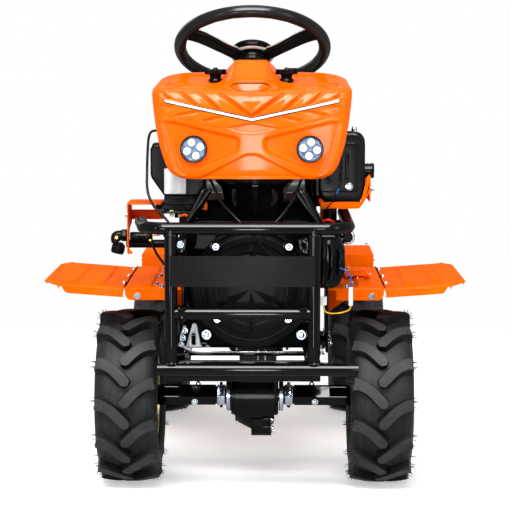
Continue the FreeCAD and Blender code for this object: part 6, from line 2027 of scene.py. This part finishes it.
class TRACTOR_OT_controls(Operator):
    """Gear lever with its boot and knob, and the low brake treadle"""
    bl_idname = "tractor.controls"
    bl_label = "Gear lever and brake"

    def execute(self, context):
        low, high = extent("gear_lever")
        x, y = (low[0] + high[0]) / 2, (low[1] + high[1]) / 2
        boot = turned([(0, 466.4), (30, 466.4), (31, 470), (27, 474), (29, 478), (23, 482),
            (25, 486), (19, 490), (20, 494), (14, 499), (14, 503), (9, 507), (0, 507)], (x, y, 0),
            "z", 40)
        rod = turned([(0, 500), (7, 500), (7, 664), (6, 668), (0, 668)], (x, y, 0), "z", 24)
        knob = turned([(0, 660), (9, 660), (10, 664), (14, 676), (17, 690), (16.4, 700), (12, 708),
            (6, 711.6), (0, 712.4)], (x, y, 0), "z", 40)
        collar = turned([(6, 652), (10, 652), (10.6, 656), (10, 661), (6, 661)], (x, y, 0), "z",
            32)
        parts = Parts()
        parts.add("black_plastic", boot)
        parts.add("black_paint", rod)
        parts.add("black_plastic", knob)
        parts.add("zinc", collar)
        parts.done("shift_lever", "front_frame", "black_paint", ["gear_lever"], 40)
        low, high = extent("brake_pedal")
        tread = plate([(low[0] + 4, low[1], 7), (high[0] - 4, low[1], 7),
            (high[0] - 4, high[1], 7), (low[0] + 4, high[1], 7)], 5, "z", 484, soft=1.6)
        parts = Parts()
        parts.add("orange_sheet", tread)
        for step in range(5):
            parts.bar("orange_sheet", (low[0] + 12, low[1] + 8 + step * 10.5, 486), (high[0] - 12,
                low[1] + 12 + step * 10.5, 488.4), 0.9)
        parts.add("axle_steel", tube([(low[0] + 2, high[1] - 6, 479),
            (high[0] - 2, high[1] - 6, 479)], 4, False, 5))
        for side in (low[0] + 8, high[0] - 8):
            parts.bar("orange_sheet", (side - 2, high[1] - 12, 473.4), (side + 2, high[1], 483),
                0.8)
        parts.add("axle_steel", tube([((low[0] + high[0]) / 2, low[1] + 8, 482),
            ((low[0] + high[0]) / 2, low[1] + 5, 477), ((low[0] + high[0]) / 2, low[1] + 3,
            473.6)], 3.5, True, 4))
        parts.done("brake_treadle", "front_frame", "orange_paint", ["brake_pedal"], 38)
        return {"FINISHED"}


# ------------------------------------------------------------------------------------
# Silencer, battery box and hand controls
# ------------------------------------------------------------------------------------
class TRACTOR_OT_muffler(Operator):
    """Pressed heat guard with its raised, slotted panel, the ribbed outlet and the stud"""
    bl_idname = "tractor.muffler"
    bl_label = "Muffler and heat guard"

    def execute(self, context):
        low, high = extent("muffler_guard")
        depth = high[1] - low[1]
        rim = [(low[0], low[2], 26), (high[0], low[2], 26), (high[0], high[2], 30),
            (low[0], high[2], 30)]
        shell = plate(rim, depth - 3, "y", (low[1] + high[1]) / 2 + 1.5, soft=11, steps=5)
        frame_line = [(low[0] + 4, 693, 12), (236, 693, 12), (236, 806, 13), (low[0] + 4, 806, 13)]
        panel = plate(frame_line, 8, "y", low[1] + 4.2, soft=2.6, steps=3)
        slots = []
        openings = ((168, 8, 782), (195, 6, 784), (209.5, 8.5, 782))
        for x, wide, head in openings:
            slots.append(plate([(x - wide / 2, 718, 3.8), (x + wide / 2, 718, 3.8),
                (x + wide / 2, head, 3.8), (x - wide / 2, head, 3.8)], 22, "y", low[1] + 4,
                soft=0.4))
        guard = cut(joined(cut(painted(shell, "heat_black"), *[copied(s) for s in slots]),
                           cut(painted(panel, "heat_black"), *slots)))
        parts = Parts([guard])
        for x, wide, _ in openings:
            lip = [(x - wide / 2 - 2, 714, 4), (x + wide / 2 + 2, 714, 4),
                (x + wide / 2 + 2, 723, 3), (x - wide / 2 - 2, 723, 3)]
            parts.add("heat_black", plate(lip, 2.4, "y", low[1] + 0.6, soft=0.9))
        parts.add("zinc", turned([(0, -4.5), (3.4, -4.5), (3.8, -2.4), (6, -2.2), (8.6, -1.4),
            (8.8, 0.6), (0, 0.6)], (215, low[1] + 0.4, 706), "y", 36))
        parts.add("zinc", turned([(0, 9.5), (3.4, 9.2), (5.4, 7), (6.2, 3.6), (6.4, -9), (0, -9)],
            (225.7, low[1] + 15, high[2] + 1), "z", 32))
        parts.add("cable_black", tube([(195, low[1] + 6, 736), (195, low[1] - 4, 729),
            (194, low[1] - 5, 712), (189, low[1] - 5, 697), (181, low[1] - 6, 680),
            (168, low[1] - 8, 662), (152, low[1] - 8, 646), (138, low[1] - 4, 640)], 1.5, True, 4))
        parts.add("wire_blue", tube([(191, low[1] - 5.2, 703), (188.6, low[1] - 5.2, 697),
            (185.6, low[1] - 5.4, 690)], 2.0, True, 4))
        parts.done("heat_guard", "front_frame", "black_paint", ["muffler_guard"], 34)
        outlet = turned([(0, -8), (13, -8), (16.5, -6), (17, -4), (17, 2), (15.6, 3.2),
            (15.6, 5.4), (17.2, 6.6), (17.2, 9), (15.6, 10.2), (15.6, 12.4), (17.2, 13.6),
            (17.2, 20), (16.2, 21.6), (13.6, 21.6), (13, 20), (12.6, -4), (0, -4)],
            (252, -447, 738), "x", 64)
        parts = Parts()
        parts.add("gloss_black", outlet)
        box_low, box_high = extent("muffler")
        parts.add("heat_black", plate([(153, 682, 20), (243, 682, 20), (243, 818, 24),
            (153, 818, 24)], 5, "y", (box_low[1] + box_high[1]) / 2 + 10, soft=1.8))
        for x in (168, 206):
            parts.append(bolt((x, -440, 626), 10, "z", 1, 7))
        parts.done("outlet_and_seam", "front_frame", "black_casting", (), 36)
        nut = bolt((265.2, -466, 698), 12, "x", 1, 7)
        more = bolt((265.2, -340, 690), 12, "x", 1, 7)
        piece(joined(nut, more), "muffler_bolts", "front_frame", "axle_steel", (), None, 36)
        self.shelf()
        return {"FINISHED"}

    def shelf(self):
        """Tapered tray under the muffler: front flange, floor and outer wall."""
        low, high = extent("muffler_bracket")
        front, rear = low[1] + 1.8, high[1]
        flange = plate([(151, 671, 2), (151, 661, 4), (200, 655, 20), (236, 657, 14),
            (251, 680, 8), (262, 722, 5), (262, 731, 2), (256, 731, 3), (247, 694, 8),
            (240, 671, 3)], 3.2, "y", front, soft=1, steps=2)
        floor = plate([(151, front, 3), (236, front, 6), (236, rear - 2, 3), (151, rear - 2, 3)],
            3.2, "z", 657.6, soft=1, steps=2)
        wall = plate([(front, 731, 4), (front, 672, 8), (rear - 60, 668, 16), (rear - 4, 690, 6),
            (rear - 4, 731, 4)], 3.2, "x", 262, soft=1, steps=2)
        slope = tube([(236, front, 657), (252, front, 676), (262, front, 700)], 1.6, True, 3)
        stay = softened(block((154, rear - 44, low[2] + 1), (182, rear - 38, 657)), 1.2)
        parts = Parts()
        parts.add("orange_sheet", flange, floor, wall, slope, stay)
        parts.done("muffler_shelf", "front_frame", "orange_paint", ["muffler_bracket"], 36)


class TRACTOR_OT_battery_box(Operator):
    """Moulded battery box with a blank label, its lower step and its terminals"""
    bl_idname = "tractor.battery_box"
    bl_label = "Battery box"

    def execute(self, context):
        low, high = extent("battery_box")
        middle, depth = (low[1] + high[1]) / 2, high[1] - low[1]
        left, right = -234.5, high[0]
        form = plate([(left, high[2], 16), (right, high[2], 10), (right, 684, 8), (-203, 684, 12),
            (left, 729, 26)], depth - 1, "y", middle + 0.5, soft=6, steps=4)
        parts = Parts()
        parts.add("box_plastic", form)
        parts.add("box_plastic", plate([(-204, 688, 3), (right, 688, 3), (right, low[2], 6),
            (-206, low[2], 8)], depth - 10, "y", middle + 3, soft=3, steps=3))
        for z in (665, 678):
            parts.bar("box_plastic", (-204, low[1] + 2.4, z), (right - 3, low[1] + 9, z + 5), 1.8)
        parts.add("paper_label", plate([(-203, 690, 3.5), (-153.5, 690, 3.5), (-153.5, 748, 3.5),
            (-203, 748, 3.5)], 1.2, "y", low[1] - 0.2, soft=0.4))
        parts.add("box_plastic", plate([(left + 3, low[1] + 4, 14), (right - 3, low[1] + 4, 8),
            (right - 3, high[1] - 3, 8), (left + 3, high[1] - 3, 14)], 5, "z", high[2] - 3.2,
            soft=1.4, steps=2))
        for y in (low[1] + 26, middle, high[1] - 26):
            parts.bar("box_plastic", (left - 1.2, y - 3, 736), (left + 3, y + 3, 792), 1.0)
        parts.add("black_plastic", turned([(0, 0), (10, 0), (11, 3), (8, 6), (7, 12), (4, 14),
            (0, 14)], (-206, -470, high[2] - 1), "z", 32))
        for x, tint_name, tall in ((-187, "pale_yellow", 13), (-176, "black_plastic", 15),
                (-163, "black_plastic", 10)):
            parts.bar(tint_name, (x - 4.5, low[1] + 6, low[2] - tall),
                (x + 4.5, low[1] + 16, low[2] + 3), 1.2)
        parts.add("wire_orange", tube([(-168, low[1] + 8, 640), (-158, low[1] + 4, 644),
            (-150, low[1] + 4, 640), (-147, low[1] + 8, 630)], 3.2, True, 4))
        parts.done("battery_case", "front_frame", "black_plastic", ["battery_box"], 36)
        return {"FINISHED"}


class TRACTOR_OT_hand_controls(Operator):
    """Handle tube, switch barrel, its lock ring, the elbow with its round plug and lead"""
    bl_idname = "tractor.hand_controls"
    bl_label = "Hand controls"

    def execute(self, context):
        y = sum(c[1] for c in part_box("console_grip")) / 2 / MM
        parts = Parts()
        parts.add("black_plastic", turned([(0, -303), (8, -303), (9.4, -301), (9.6, -299),
            (9.6, -214), (8, -212), (0, -212)], (0, y, 560), "x", 40))
        parts.add("black_plastic", turned([(0, -292), (10, -292), (11, -290), (11, -270),
            (10, -269), (10, -262), (11.4, -261), (11.4, -243), (10, -240), (0, -240)],
            (0, y - 20, 579), "x", 40))
        parts.add("black_plastic", softened(hexagon((-306.5, y - 20, 582), 27, 11, "x"), 1.4, 2))
        for x, radius in ((-300, 14), (-313.6, 12)):
            parts.rod("black_plastic", (x, y - 20, 582), radius, 3, "x", 40, 0.8)
        parts.add("black_plastic", tube([(-312, y - 20, 582), (-322, y - 20, 583),
            (-328, y - 21, 577), (-325, y - 22, 566)], 11, True, 8))
        shell = turned([(0, 15), (9, 15), (11, 12), (14.4, 10), (15, 8), (15, 3), (13.8, 2),
            (13.8, 0), (15, -1), (15, -8), (14, -11), (8, -12), (0, -12)], (0, 0, 0), "z", 48)
        shell = spin_about(shell, 14, "y", (0, 0, 0))
        parts.add("black_plastic", moved(shell, (-320.5, y - 22, 551)))
        knurl = []
        for count in range(16):
            angle = math.tau * count / 16
            ridge = softened(block((-1, 14.4, -7), (1, 15.6, 7)), 0.4, 1)
            ridge.data.transform(Matrix.Rotation(angle, 4, "Z"))
            knurl.append(ridge)
        knurl = spin_about(joined(*knurl), 14, "y", (0, 0, 0))
        parts.add("black_plastic", moved(knurl, (-320.5, y - 22, 551)))
        parts.add("brass", turned([(0, -3.4), (1.8, -3.4), (2, -2), (3.6, -2), (4.4, -0.8),
            (4.4, 1), (0, 1)], (-323, y - 33, 578), "y", 24))
        parts.add("copper", turned([(0, -240), (3.6, -240), (3.8, -226), (3, -222), (0, -221)],
            (0, y - 20, 584), "x", 24))
        parts.add("brass", turned([(3, 0), (5.4, 0), (5.8, 2), (5.4, 5), (3, 5)],
            (-244, y - 26, 569), "z", 24))
        parts.add("cable_black", tube([(-246, y - 24, 577), (-243, y - 27, 571),
            (-240, y - 28, 562), (-234, y - 30, 547), (-222, y - 32, 528), (-208, y - 34, 512),
            (-196, y - 34, 498), (-190, y - 30, 486), (-188, y - 24, 472)], 3.1, True, 5))
        parts.add("orange_sheet", plate([(-298, 540, 2), (-283, 540, 3), (-298, 558, 2)], 3, "y",
            y - 34, soft=0.6))
        parts.done("switch_and_plug", "front_frame", "black_plastic", ["console_grip"], 36)
        self.console()
        return {"FINISHED"}

    def console(self):
        """Folded orange bracket: top, back and side walls, its holes and bolts."""
        low, high = extent("lever_console")
        lid = plate([(low[0], low[1] + 8, 3), (low[0] + 8, low[1], 3), (high[0], low[1], 2),
            (high[0], high[1], 2), (low[0], high[1], 3)], 3.4, "z", high[2] - 1.8, soft=1.2,
            steps=2)
        wall = plate([(low[1] + 2, high[2] - 1, 4), (low[1] + 2, 541, 7), (low[1] + 16, 537, 7),
            (low[1] + 26, 556, 10), (low[1] + 40, 596, 14), (high[1] - 1, 604, 6),
            (high[1] - 1, high[2] - 1, 3)], 3.2, "x", low[0] + 1.8, soft=1.1, steps=2)
        back = plate([(low[0] + 1, 634.6, 3), (high[0], 634.6, 3), (high[0], 611, 6),
            (low[0] + 1, 611, 4)], 3.2, "y", high[1] - 1.8, soft=1.1, steps=2)
        fold = plate([(low[0] + 2, 630, 2), (high[0] - 2, 630, 2), (high[0] - 2, 622, 2),
            (low[0] + 2, 622, 2)], 3, "y", high[1] - 5, soft=1.2)
        parts = Parts()
        parts.add("orange_sheet", lid, wall, back, fold)
        for x, y in ((low[0] + 22, low[1] + 44), (low[0] + 32, low[1] + 52),
                      (low[0] + 42, low[1] + 44), (low[0] + 50, low[1] + 52)):
            parts.add("black_plastic", turned([(0, 0.5), (2.6, 0.4), (3, 0)], (x, y, high[2]), "z",
                20))
        for y in (low[1] + 24, low[1] + 84):
            parts.append(bolt((low[0], y, high[2] - 30), 10, "x", -1, 5))
        parts.done("console", "front_frame", "orange_paint", ["lever_console"], 36)


# ------------------------------------------------------------------------------------
# Seat
# ------------------------------------------------------------------------------------
CHANNEL_WIDTH, CHANNEL_DEPTH = 3.4, 4.2


class TRACTOR_OT_seat(Operator):
    """Padded cushion and backrest with piping and sewn channels"""
    bl_idname = "tractor.seat"
    bl_label = "Seat"

    def execute(self, context):
        low, high = extent("seat_cushion")
        start = plate([(low[0] + 9, low[1] + 12, 66), (high[0] - 9, low[1] + 12, 66),
            (high[0] - 9, high[1] - 10, 54), (low[0] + 9, high[1] - 10, 54)],
            high[2] - low[2] - 17, "z", (low[2] + high[2]) / 2 - 5, soft=14, steps=4)
        cushion = self.puffed(start, low[2] + 1.2)

        def seams(spots):
            x, y, z = spots.T
            reach = ease(y, low[1] + 52, low[1] + 70)
            reach = reach * (1 - ease(y, high[1] - 74, high[1] - 56))
            frame = [(-150, low[1] + 48), (150, low[1] + 48), (150, high[1] - 52),
                (-150, high[1] - 52)]
            dip = self.channels(x, y, (-118, -60, 0, 60, 118), reach, frame)
            spots[:, 2] -= dip * ease(z, low[2] + 40, low[2] + 54)
            return spots

        self.pressed(cushion, seams)
        loop = rounded([(low[0] + 3, low[1] + 5, 70), (high[0] - 3, low[1] + 5, 70),
            (high[0] - 3, high[1] - 5, 58), (low[0] + 3, high[1] - 5, 58)])
        welt = self.welt(cushion, [(x, y, low[2] + 26) for x, y in loop])
        whole = joined(cushion, welt)
        piece(whole, "cushion", "rear_frame", "seat_vinyl", ["seat_cushion"], "seat_vinyl", 60)
        self.backrest()
        self.mount()
        return {"FINISHED"}

    def channels(self, x, up, lines, reach, frame):
        """Depth of the sewn channels: lines at these x, as far as reach, in a sewn frame."""
        dip = np.exp(-(inside(np.stack([x, up], 1), frame) / CHANNEL_WIDTH) ** 2)
        for line in lines:
            dip = np.maximum(dip, np.exp(-((x - line) / CHANNEL_WIDTH) ** 2) * reach)
        return CHANNEL_DEPTH * dip

    def puffed(self, start, rest):
        """Swells a form as filled cloth, held flat at its underside."""
        start = modified(start, "REMESH", mode="VOXEL", voxel_size=0.0062)
        before = points_of(start.data)
        only(start)
        cloth = start.modifiers.new("cloth", "CLOTH")
        cloth.settings.use_pressure = True
        cloth.settings.uniform_pressure_force = 4
        cloth.settings.effector_weights.gravity = 0
        cloth.settings.quality = 4
        scene = bpy.context.scene
        for number in range(1, 21):
            scene.frame_set(number)
        depsgraph = bpy.context.evaluated_depsgraph_get()
        after = points_of(start.evaluated_get(depsgraph).data)
        start.modifiers.clear()
        scene.frame_set(1)
        shift = after - before
        far = np.linalg.norm(shift, axis=1, keepdims=True)
        limit = sizes().seat_crown
        shift *= np.minimum(1, limit / np.maximum(far, 1e-9))
        placed = before + shift
        placed[:, 2] = np.maximum(placed[:, 2], rest * MM) if rest else placed[:, 2]
        set_points(start, placed)
        return modified(start, "SUBSURF", levels=1, render_levels=1)

    def pressed(self, pad, change):
        """Moves a pad's points, in millimetres, by a function of where they are."""
        set_points(pad, change(points_of(pad.data) / MM) * MM)

    def welt(self, pad, loop):
        """Piping laid on a pad's side, along the nearest line to a loop."""
        laid = []
        for spot in loop:
            _, place, normal, _ = pad.closest_point_on_mesh(Vector(spot) * MM)
            laid.append(tuple(place / MM + normal * 1.2))
        return painted(tube(laid, 3.2, True, 4, closed=True), "seat_vinyl")

    def backrest(self):
        low, high = extent("seat_backrest")
        tall = high[2] - low[2]
        lean = math.radians(8)
        base = (0, low[1] + 33, low[2])
        start = plate([(low[0] + 12, 8, 30), (high[0] - 12, 8, 30), (high[0] - 26, tall - 12, 74),
            (low[0] + 26, tall - 12, 74)], 38, "y", 0, soft=12, steps=4)

        pad = self.puffed(start, None)

        def seams(spots):
            x, y, z = spots.T
            front = 1 - ease(y, -10, -2)
            reach = ease(z, 38, 56) * (1 - ease(z, tall - 74, tall - 56))
            frame = [(-136, 36), (136, 36), (128, tall - 54), (-128, tall - 54)]
            dip = self.channels(x, z, (-106, -54, 0, 54, 106), reach, frame)
            spots[:, 1] += dip * front
            spots[:, 1] += 7 * (1 - np.abs(x / 180)) * front
            return spots

        self.pressed(pad, seams)
        loop = rounded([(low[0] + 8, 4, 34), (high[0] - 8, 4, 34), (high[0] - 22, tall - 7, 78),
            (low[0] + 22, tall - 7, 78)])
        welt = self.welt(pad, [(x, 1.5, z) for x, z in loop])
        whole = joined(pad, welt)
        whole.data.transform(Matrix.Rotation(-lean, 4, "X"))
        moved(whole, base)
        piece(whole, "backrest", "rear_frame", "seat_vinyl", ["seat_backrest"], "seat_vinyl", 60)

    def mount(self):
        """Pressed seat pan, slide rails, post gussets and the backrest's posts."""
        low, high = extent("seat_mount")
        parts = Parts()
        for x in (-120, 120):
            parts.bar("axle_steel", (x - 12, low[1] + 18, high[2] - 24), (x + 12, high[1] - 30,
                high[2] - 10), 2)
        for side in (-1, 1):
            parts.add("black_paint", plate([(side * 60, 470, 2), (side * 60, 560, 2),
                (side * 104, 586, 4), (side * 110, 578, 4)], 5, "y", (low[1] + high[1]) / 2 - 20,
                soft=1))
        parts.add("black_paint", tube([(-120, low[1] + 30, high[2] - 14),
            (-120, low[1] + 6, high[2] - 16), (-150, low[1] + 1, high[2] - 16),
            (-162, low[1] + 4, high[2] - 14)], 4, True, 4))
        for x in (-96, 96):
            parts.add("black_paint", tube([(x, high[1] - 60, high[2] - 8),
                (x, high[1] - 4, high[2] - 8), (x, high[1] + 26, high[2] + 8),
                (x, high[1] + 36, high[2] + 60), (x, high[1] + 52, high[2] + 180),
                (x, high[1] + 56, high[2] + 220)], 9, True, 6))
            parts.append(bolt((x, high[1] + 44, high[2] + 150), 13, "y", 1, 7))
        parts.done("seat_rails", "rear_frame", "black_paint", (), 36)
        dressed("seat_mount", "seat_pan", "rear_frame", "black_paint", 3)


# ------------------------------------------------------------------------------------
# Sheet and frame parts with worked edges
# ------------------------------------------------------------------------------------
def dressed(node, name, body, slot, width):
    """A copy of a frame part whose sharp edges are eased, in place of the part."""
    twin = copied(NODES[node])
    with editing(twin):
        bpy.ops.mesh.remove_doubles(threshold=0.02 * MM)
        bpy.ops.mesh.dissolve_limited(angle_limit=math.radians(1.5))
    softened(twin, width, 2, 32)
    corners = (np.asarray(corner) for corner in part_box(node))
    set_points(twin, np.clip(points_of(twin.data), *corners))
    finish = "orange_sheet" if slot == "orange_paint" else slot
    return piece(twin, name, body, slot, [node], finish, 33)


class TRACTOR_OT_sheet_parts(Operator):
    """Fenders, deck, hitch, rails, mounts, castings and tank with eased edges, and their fittings
    """
    bl_idname = "tractor.sheet_parts"
    bl_label = "Sheet and frame parts"

    def execute(self, context):
        orange, black = "orange_paint", "black_paint"
        for node, name, body, slot, width in (
                ("rear_fender_left", "fender_left", "rear_frame", orange, 1.3),
                ("rear_fender_right", "fender_right", "rear_frame", orange, 1.3),
                ("rear_deck", "deck", "rear_frame", orange, 1.2),
                ("hitch", "hitch_tongues", "rear_frame", black, 1.5),
                ("front_chassis", "front_rails", "front_frame", black, 1.4),
                ("rear_chassis", "rear_spine", "rear_frame", black, 1.4),
                ("engine_mount", "engine_tray", "front_frame", black, 1.2),
                ("column_support", "support_posts", "front_frame", black, 1.4),
                ("transmission", "gear_case", "front_frame", "black_casting", 3.5),
                ("steering_box", "steering_gear", "front_frame", "black_casting", 3.0),
                ("engine", "engine_block", "front_frame", "black_casting", 3.0),
                ("fuel_tank", "tank", "front_frame", black, 2.0)):
            dressed(node, name, body, slot, width)
        self.rear_fittings()
        self.frame_fittings()
        return {"FINISHED"}

    def rear_fittings(self):
        """Deck screws, hitch pin and its ring, and spine welds."""
        low, high = extent("rear_deck")
        parts = Parts()
        for x in (low[0] + 14, high[0] - 14):
            for y in (low[1] + 18, (low[1] + high[1]) / 2 - 40, high[1] - 20):
                parts.append(bolt((x, y, high[2] - 0.6), 11, "z", 1, 5))
        hitch_low, hitch_high = extent("hitch")
        at = ((hitch_low[0] + hitch_high[0]) / 2, hitch_high[1] - 22, 0)
        parts.add("axle_steel", turned([(0, hitch_low[2] - 16), (7, hitch_low[2] - 16),
            (9.4, hitch_low[2] - 10), (9.6, hitch_high[2] + 2), (15, hitch_high[2] + 2.4),
            (15.6, hitch_high[2] + 8), (14, hitch_high[2] + 10), (0, hitch_high[2] + 10)], at, "z",
            36))
        parts.add("axle_steel", ring((at[0], at[1], hitch_high[2] + 24), 14, 2.6, "x", 40, 10))
        parts.add("zinc", tube([(at[0] - 16, at[1], hitch_low[2] - 11),
            (at[0], at[1], hitch_low[2] - 11), (at[0] + 16, at[1], hitch_low[2] - 11)], 1.7, False,
            3))
        for seed, z in enumerate((hitch_low[2] + 0.5, hitch_high[2] - 0.5)):
            bead = [(-28, hitch_low[1] + 0.5, z), (0, hitch_low[1] + 0.8, z),
                (28, hitch_low[1] + 0.5, z)]
            parts.append(weld(bead, 2.4, 21 + seed))
        for side in (-1, 1):
            for y in (low[1] + 40, high[1] - 60):
                parts.append(bolt((side * 304.6, y, 462), 11, "x", side, 5))
        parts.done("rear_fittings", "rear_frame", "axle_steel", (), 36)

    def frame_fittings(self):
        """Tray and rail bolts, rail end welds and the pivot's nut and grease nipple."""
        parts = Parts()
        for side in (-1, 1):
            rail = side * 151
            for y in (-590, -520, -330, -300):
                parts.append(bolt((rail, y, 335.5), 13, "z", 1, 7))
            bead = [(rail - 15, -678.5, 331), (rail, -679.2, 331.6), (rail + 15, -678.5, 331)]
            parts.append(weld(bead, 2.4, 11))
            for y in (-250, -120):
                parts.append(bolt((side * 167.2, y, 310), 14, "x", side, 8))
        parts.done("frame_fittings", "front_frame", "axle_steel", (), 36)
        low, high = extent("pivot_knuckle")
        y = 8.5
        nut = softened(hexagon((0, y, high[2] + 6), 30, 11, "z"), 1.4, 2)
        foot = softened(hexagon((0, y, low[2] - 6), 30, 11, "z"), 1.4, 2)
        nipple = turned([(0, 0), (4, 0), (4, 4), (2, 5), (3, 8), (2, 10), (0, 10)],
            (low[0] + 1, y, 325), "x", 16)
        nipple = spin_about(nipple, 180, "z", (low[0] + 1, y, 325))
        parts = Parts()
        parts.add("zinc", nut, foot)
        parts.add("brass", nipple)
        parts.done("pivot_fittings", "pivot_knuckle", "axle_steel", (), 36)


PIECES = [TRACTOR_OT_hood, TRACTOR_OT_headlights, TRACTOR_OT_knobs, TRACTOR_OT_steering_wheel,
          TRACTOR_OT_tyres, TRACTOR_OT_hubs, TRACTOR_OT_gearboxes, TRACTOR_OT_guard_details,
          TRACTOR_OT_fan_housing, TRACTOR_OT_engine_details, TRACTOR_OT_air_cleaner,
          TRACTOR_OT_foot_plates, TRACTOR_OT_controls, TRACTOR_OT_muffler,
          TRACTOR_OT_battery_box, TRACTOR_OT_hand_controls, TRACTOR_OT_seat,
          TRACTOR_OT_sheet_parts]


# ------------------------------------------------------------------------------------
# Frame pieces kept as they are, with their finishes
# ------------------------------------------------------------------------------------
PLAIN = {
    "black_paint": (
        "guard_cross_bars", "guard_upper_bar", "guard_uprights", "front_chassis", "rear_chassis",
        "column_support", "steering_column", "steering_link_shaft", "seat_mount", "gear_lever",
        "engine_mount", "brake_pedal", "fuel_tank", "muffler_guard", "hitch", "pivot_knuckle",
        "axle_front_left", "axle_front_right", "axle_rear_left", "axle_rear_right"),
    "black_casting": ("engine", "front_gearbox", "rear_gearbox", "transmission", "steering_box",
                      "fan_housing", "cylinder_cowl", "muffler"),
    "orange_paint": ("hood", "foot_brackets", "lever_console", "muffler_bracket",
                     "foot_plate_left", "foot_plate_right", "rear_deck", "rear_fender_left",
                     "rear_fender_right"),
    "black_plastic": ("air_cleaner", "battery_box", "console_grip", "hood_knobs",
                      "steering_wheel"),
    "satin_plate": ("guard_plate",),
    "lamp": ("headlights",),
    "seat_vinyl": ("seat_backrest", "seat_cushion"),
    "tyre_rubber": ("tyre_front_left", "tyre_front_right", "tyre_rear_left", "tyre_rear_right"),
    "rim_zinc": ("rim_front_left", "rim_front_right", "rim_rear_left", "rim_rear_right"),
    "white_plastic": ("wire_connectors",),
    "cable_black": ("lamp_lead_left", "lamp_lead_right", "side_cable"),
    "wire_blue": ("wire_blue",),
    "wire_yellow": ("wire_yellow",),
}


class TRACTOR_OT_frame_finishes(Operator):
    """Finishes of the frame's own pieces"""
    bl_idname = "tractor.frame_finishes"
    bl_label = "Frame finishes"

    def execute(self, context):
        named = {node for nodes in PLAIN.values() for node in nodes}
        missing = set(NODES) - named
        if missing:
            raise RuntimeError(f"no finish for {sorted(missing)}")
        for finish, nodes in PLAIN.items():
            for node in nodes:
                slots = NODES[node].material_slots
                if not slots:
                    NODES[node].data.materials.append(FINISH[finish])
                for slot in slots:
                    slot.material = FINISH[finish]
        return {"FINISHED"}


# ------------------------------------------------------------------------------------
# Panel and running order
# ------------------------------------------------------------------------------------
STEPS = [TRACTOR_OT_stage, TRACTOR_OT_cords, *PIECES, TRACTOR_OT_frame_finishes]


class TRACTOR_PT_build(Panel):
    """Buttons, sizes and colours of the tractor's pieces"""
    bl_idname = "TRACTOR_PT_build"
    bl_label = "Mini tractor"
    bl_space_type = "VIEW_3D"
    bl_region_type = "UI"
    bl_category = "Tractor"

    def draw(self, context):
        scene = context.scene
        for step in STEPS:
            self.layout.operator(step.bl_idname)
        for group in (scene.tractor_sizes, scene.tractor_colours, scene.tractor_view):
            box = self.layout.box()
            for name in group.bl_rna.properties.keys():
                if name not in ("rna_type", "name"):
                    box.prop(group, name)


CLASSES = (TractorColours, TractorSizes, TractorView, *STEPS, TRACTOR_PT_build)


def register():
    for cls in CLASSES:
        bpy.utils.register_class(cls)
    bpy.types.Scene.tractor_sizes = PointerProperty(type=TractorSizes)
    bpy.types.Scene.tractor_colours = PointerProperty(type=TractorColours)
    bpy.types.Scene.tractor_view = PointerProperty(type=TractorView)


def unregister():
    del bpy.types.Scene.tractor_view
    del bpy.types.Scene.tractor_colours
    del bpy.types.Scene.tractor_sizes
    for cls in reversed(CLASSES):
        bpy.utils.unregister_class(cls)


def main():
    register()
    make_finishes(bpy.context.scene.tractor_colours)
    for step in STEPS:
        nothing_selected()
        group, name = step.bl_idname.split(".")
        if getattr(getattr(bpy.ops, group), name)() != {"FINISHED"}:
            raise RuntimeError(f"{step.bl_label} didn't finish")


if __name__ == "__main__":
    main()
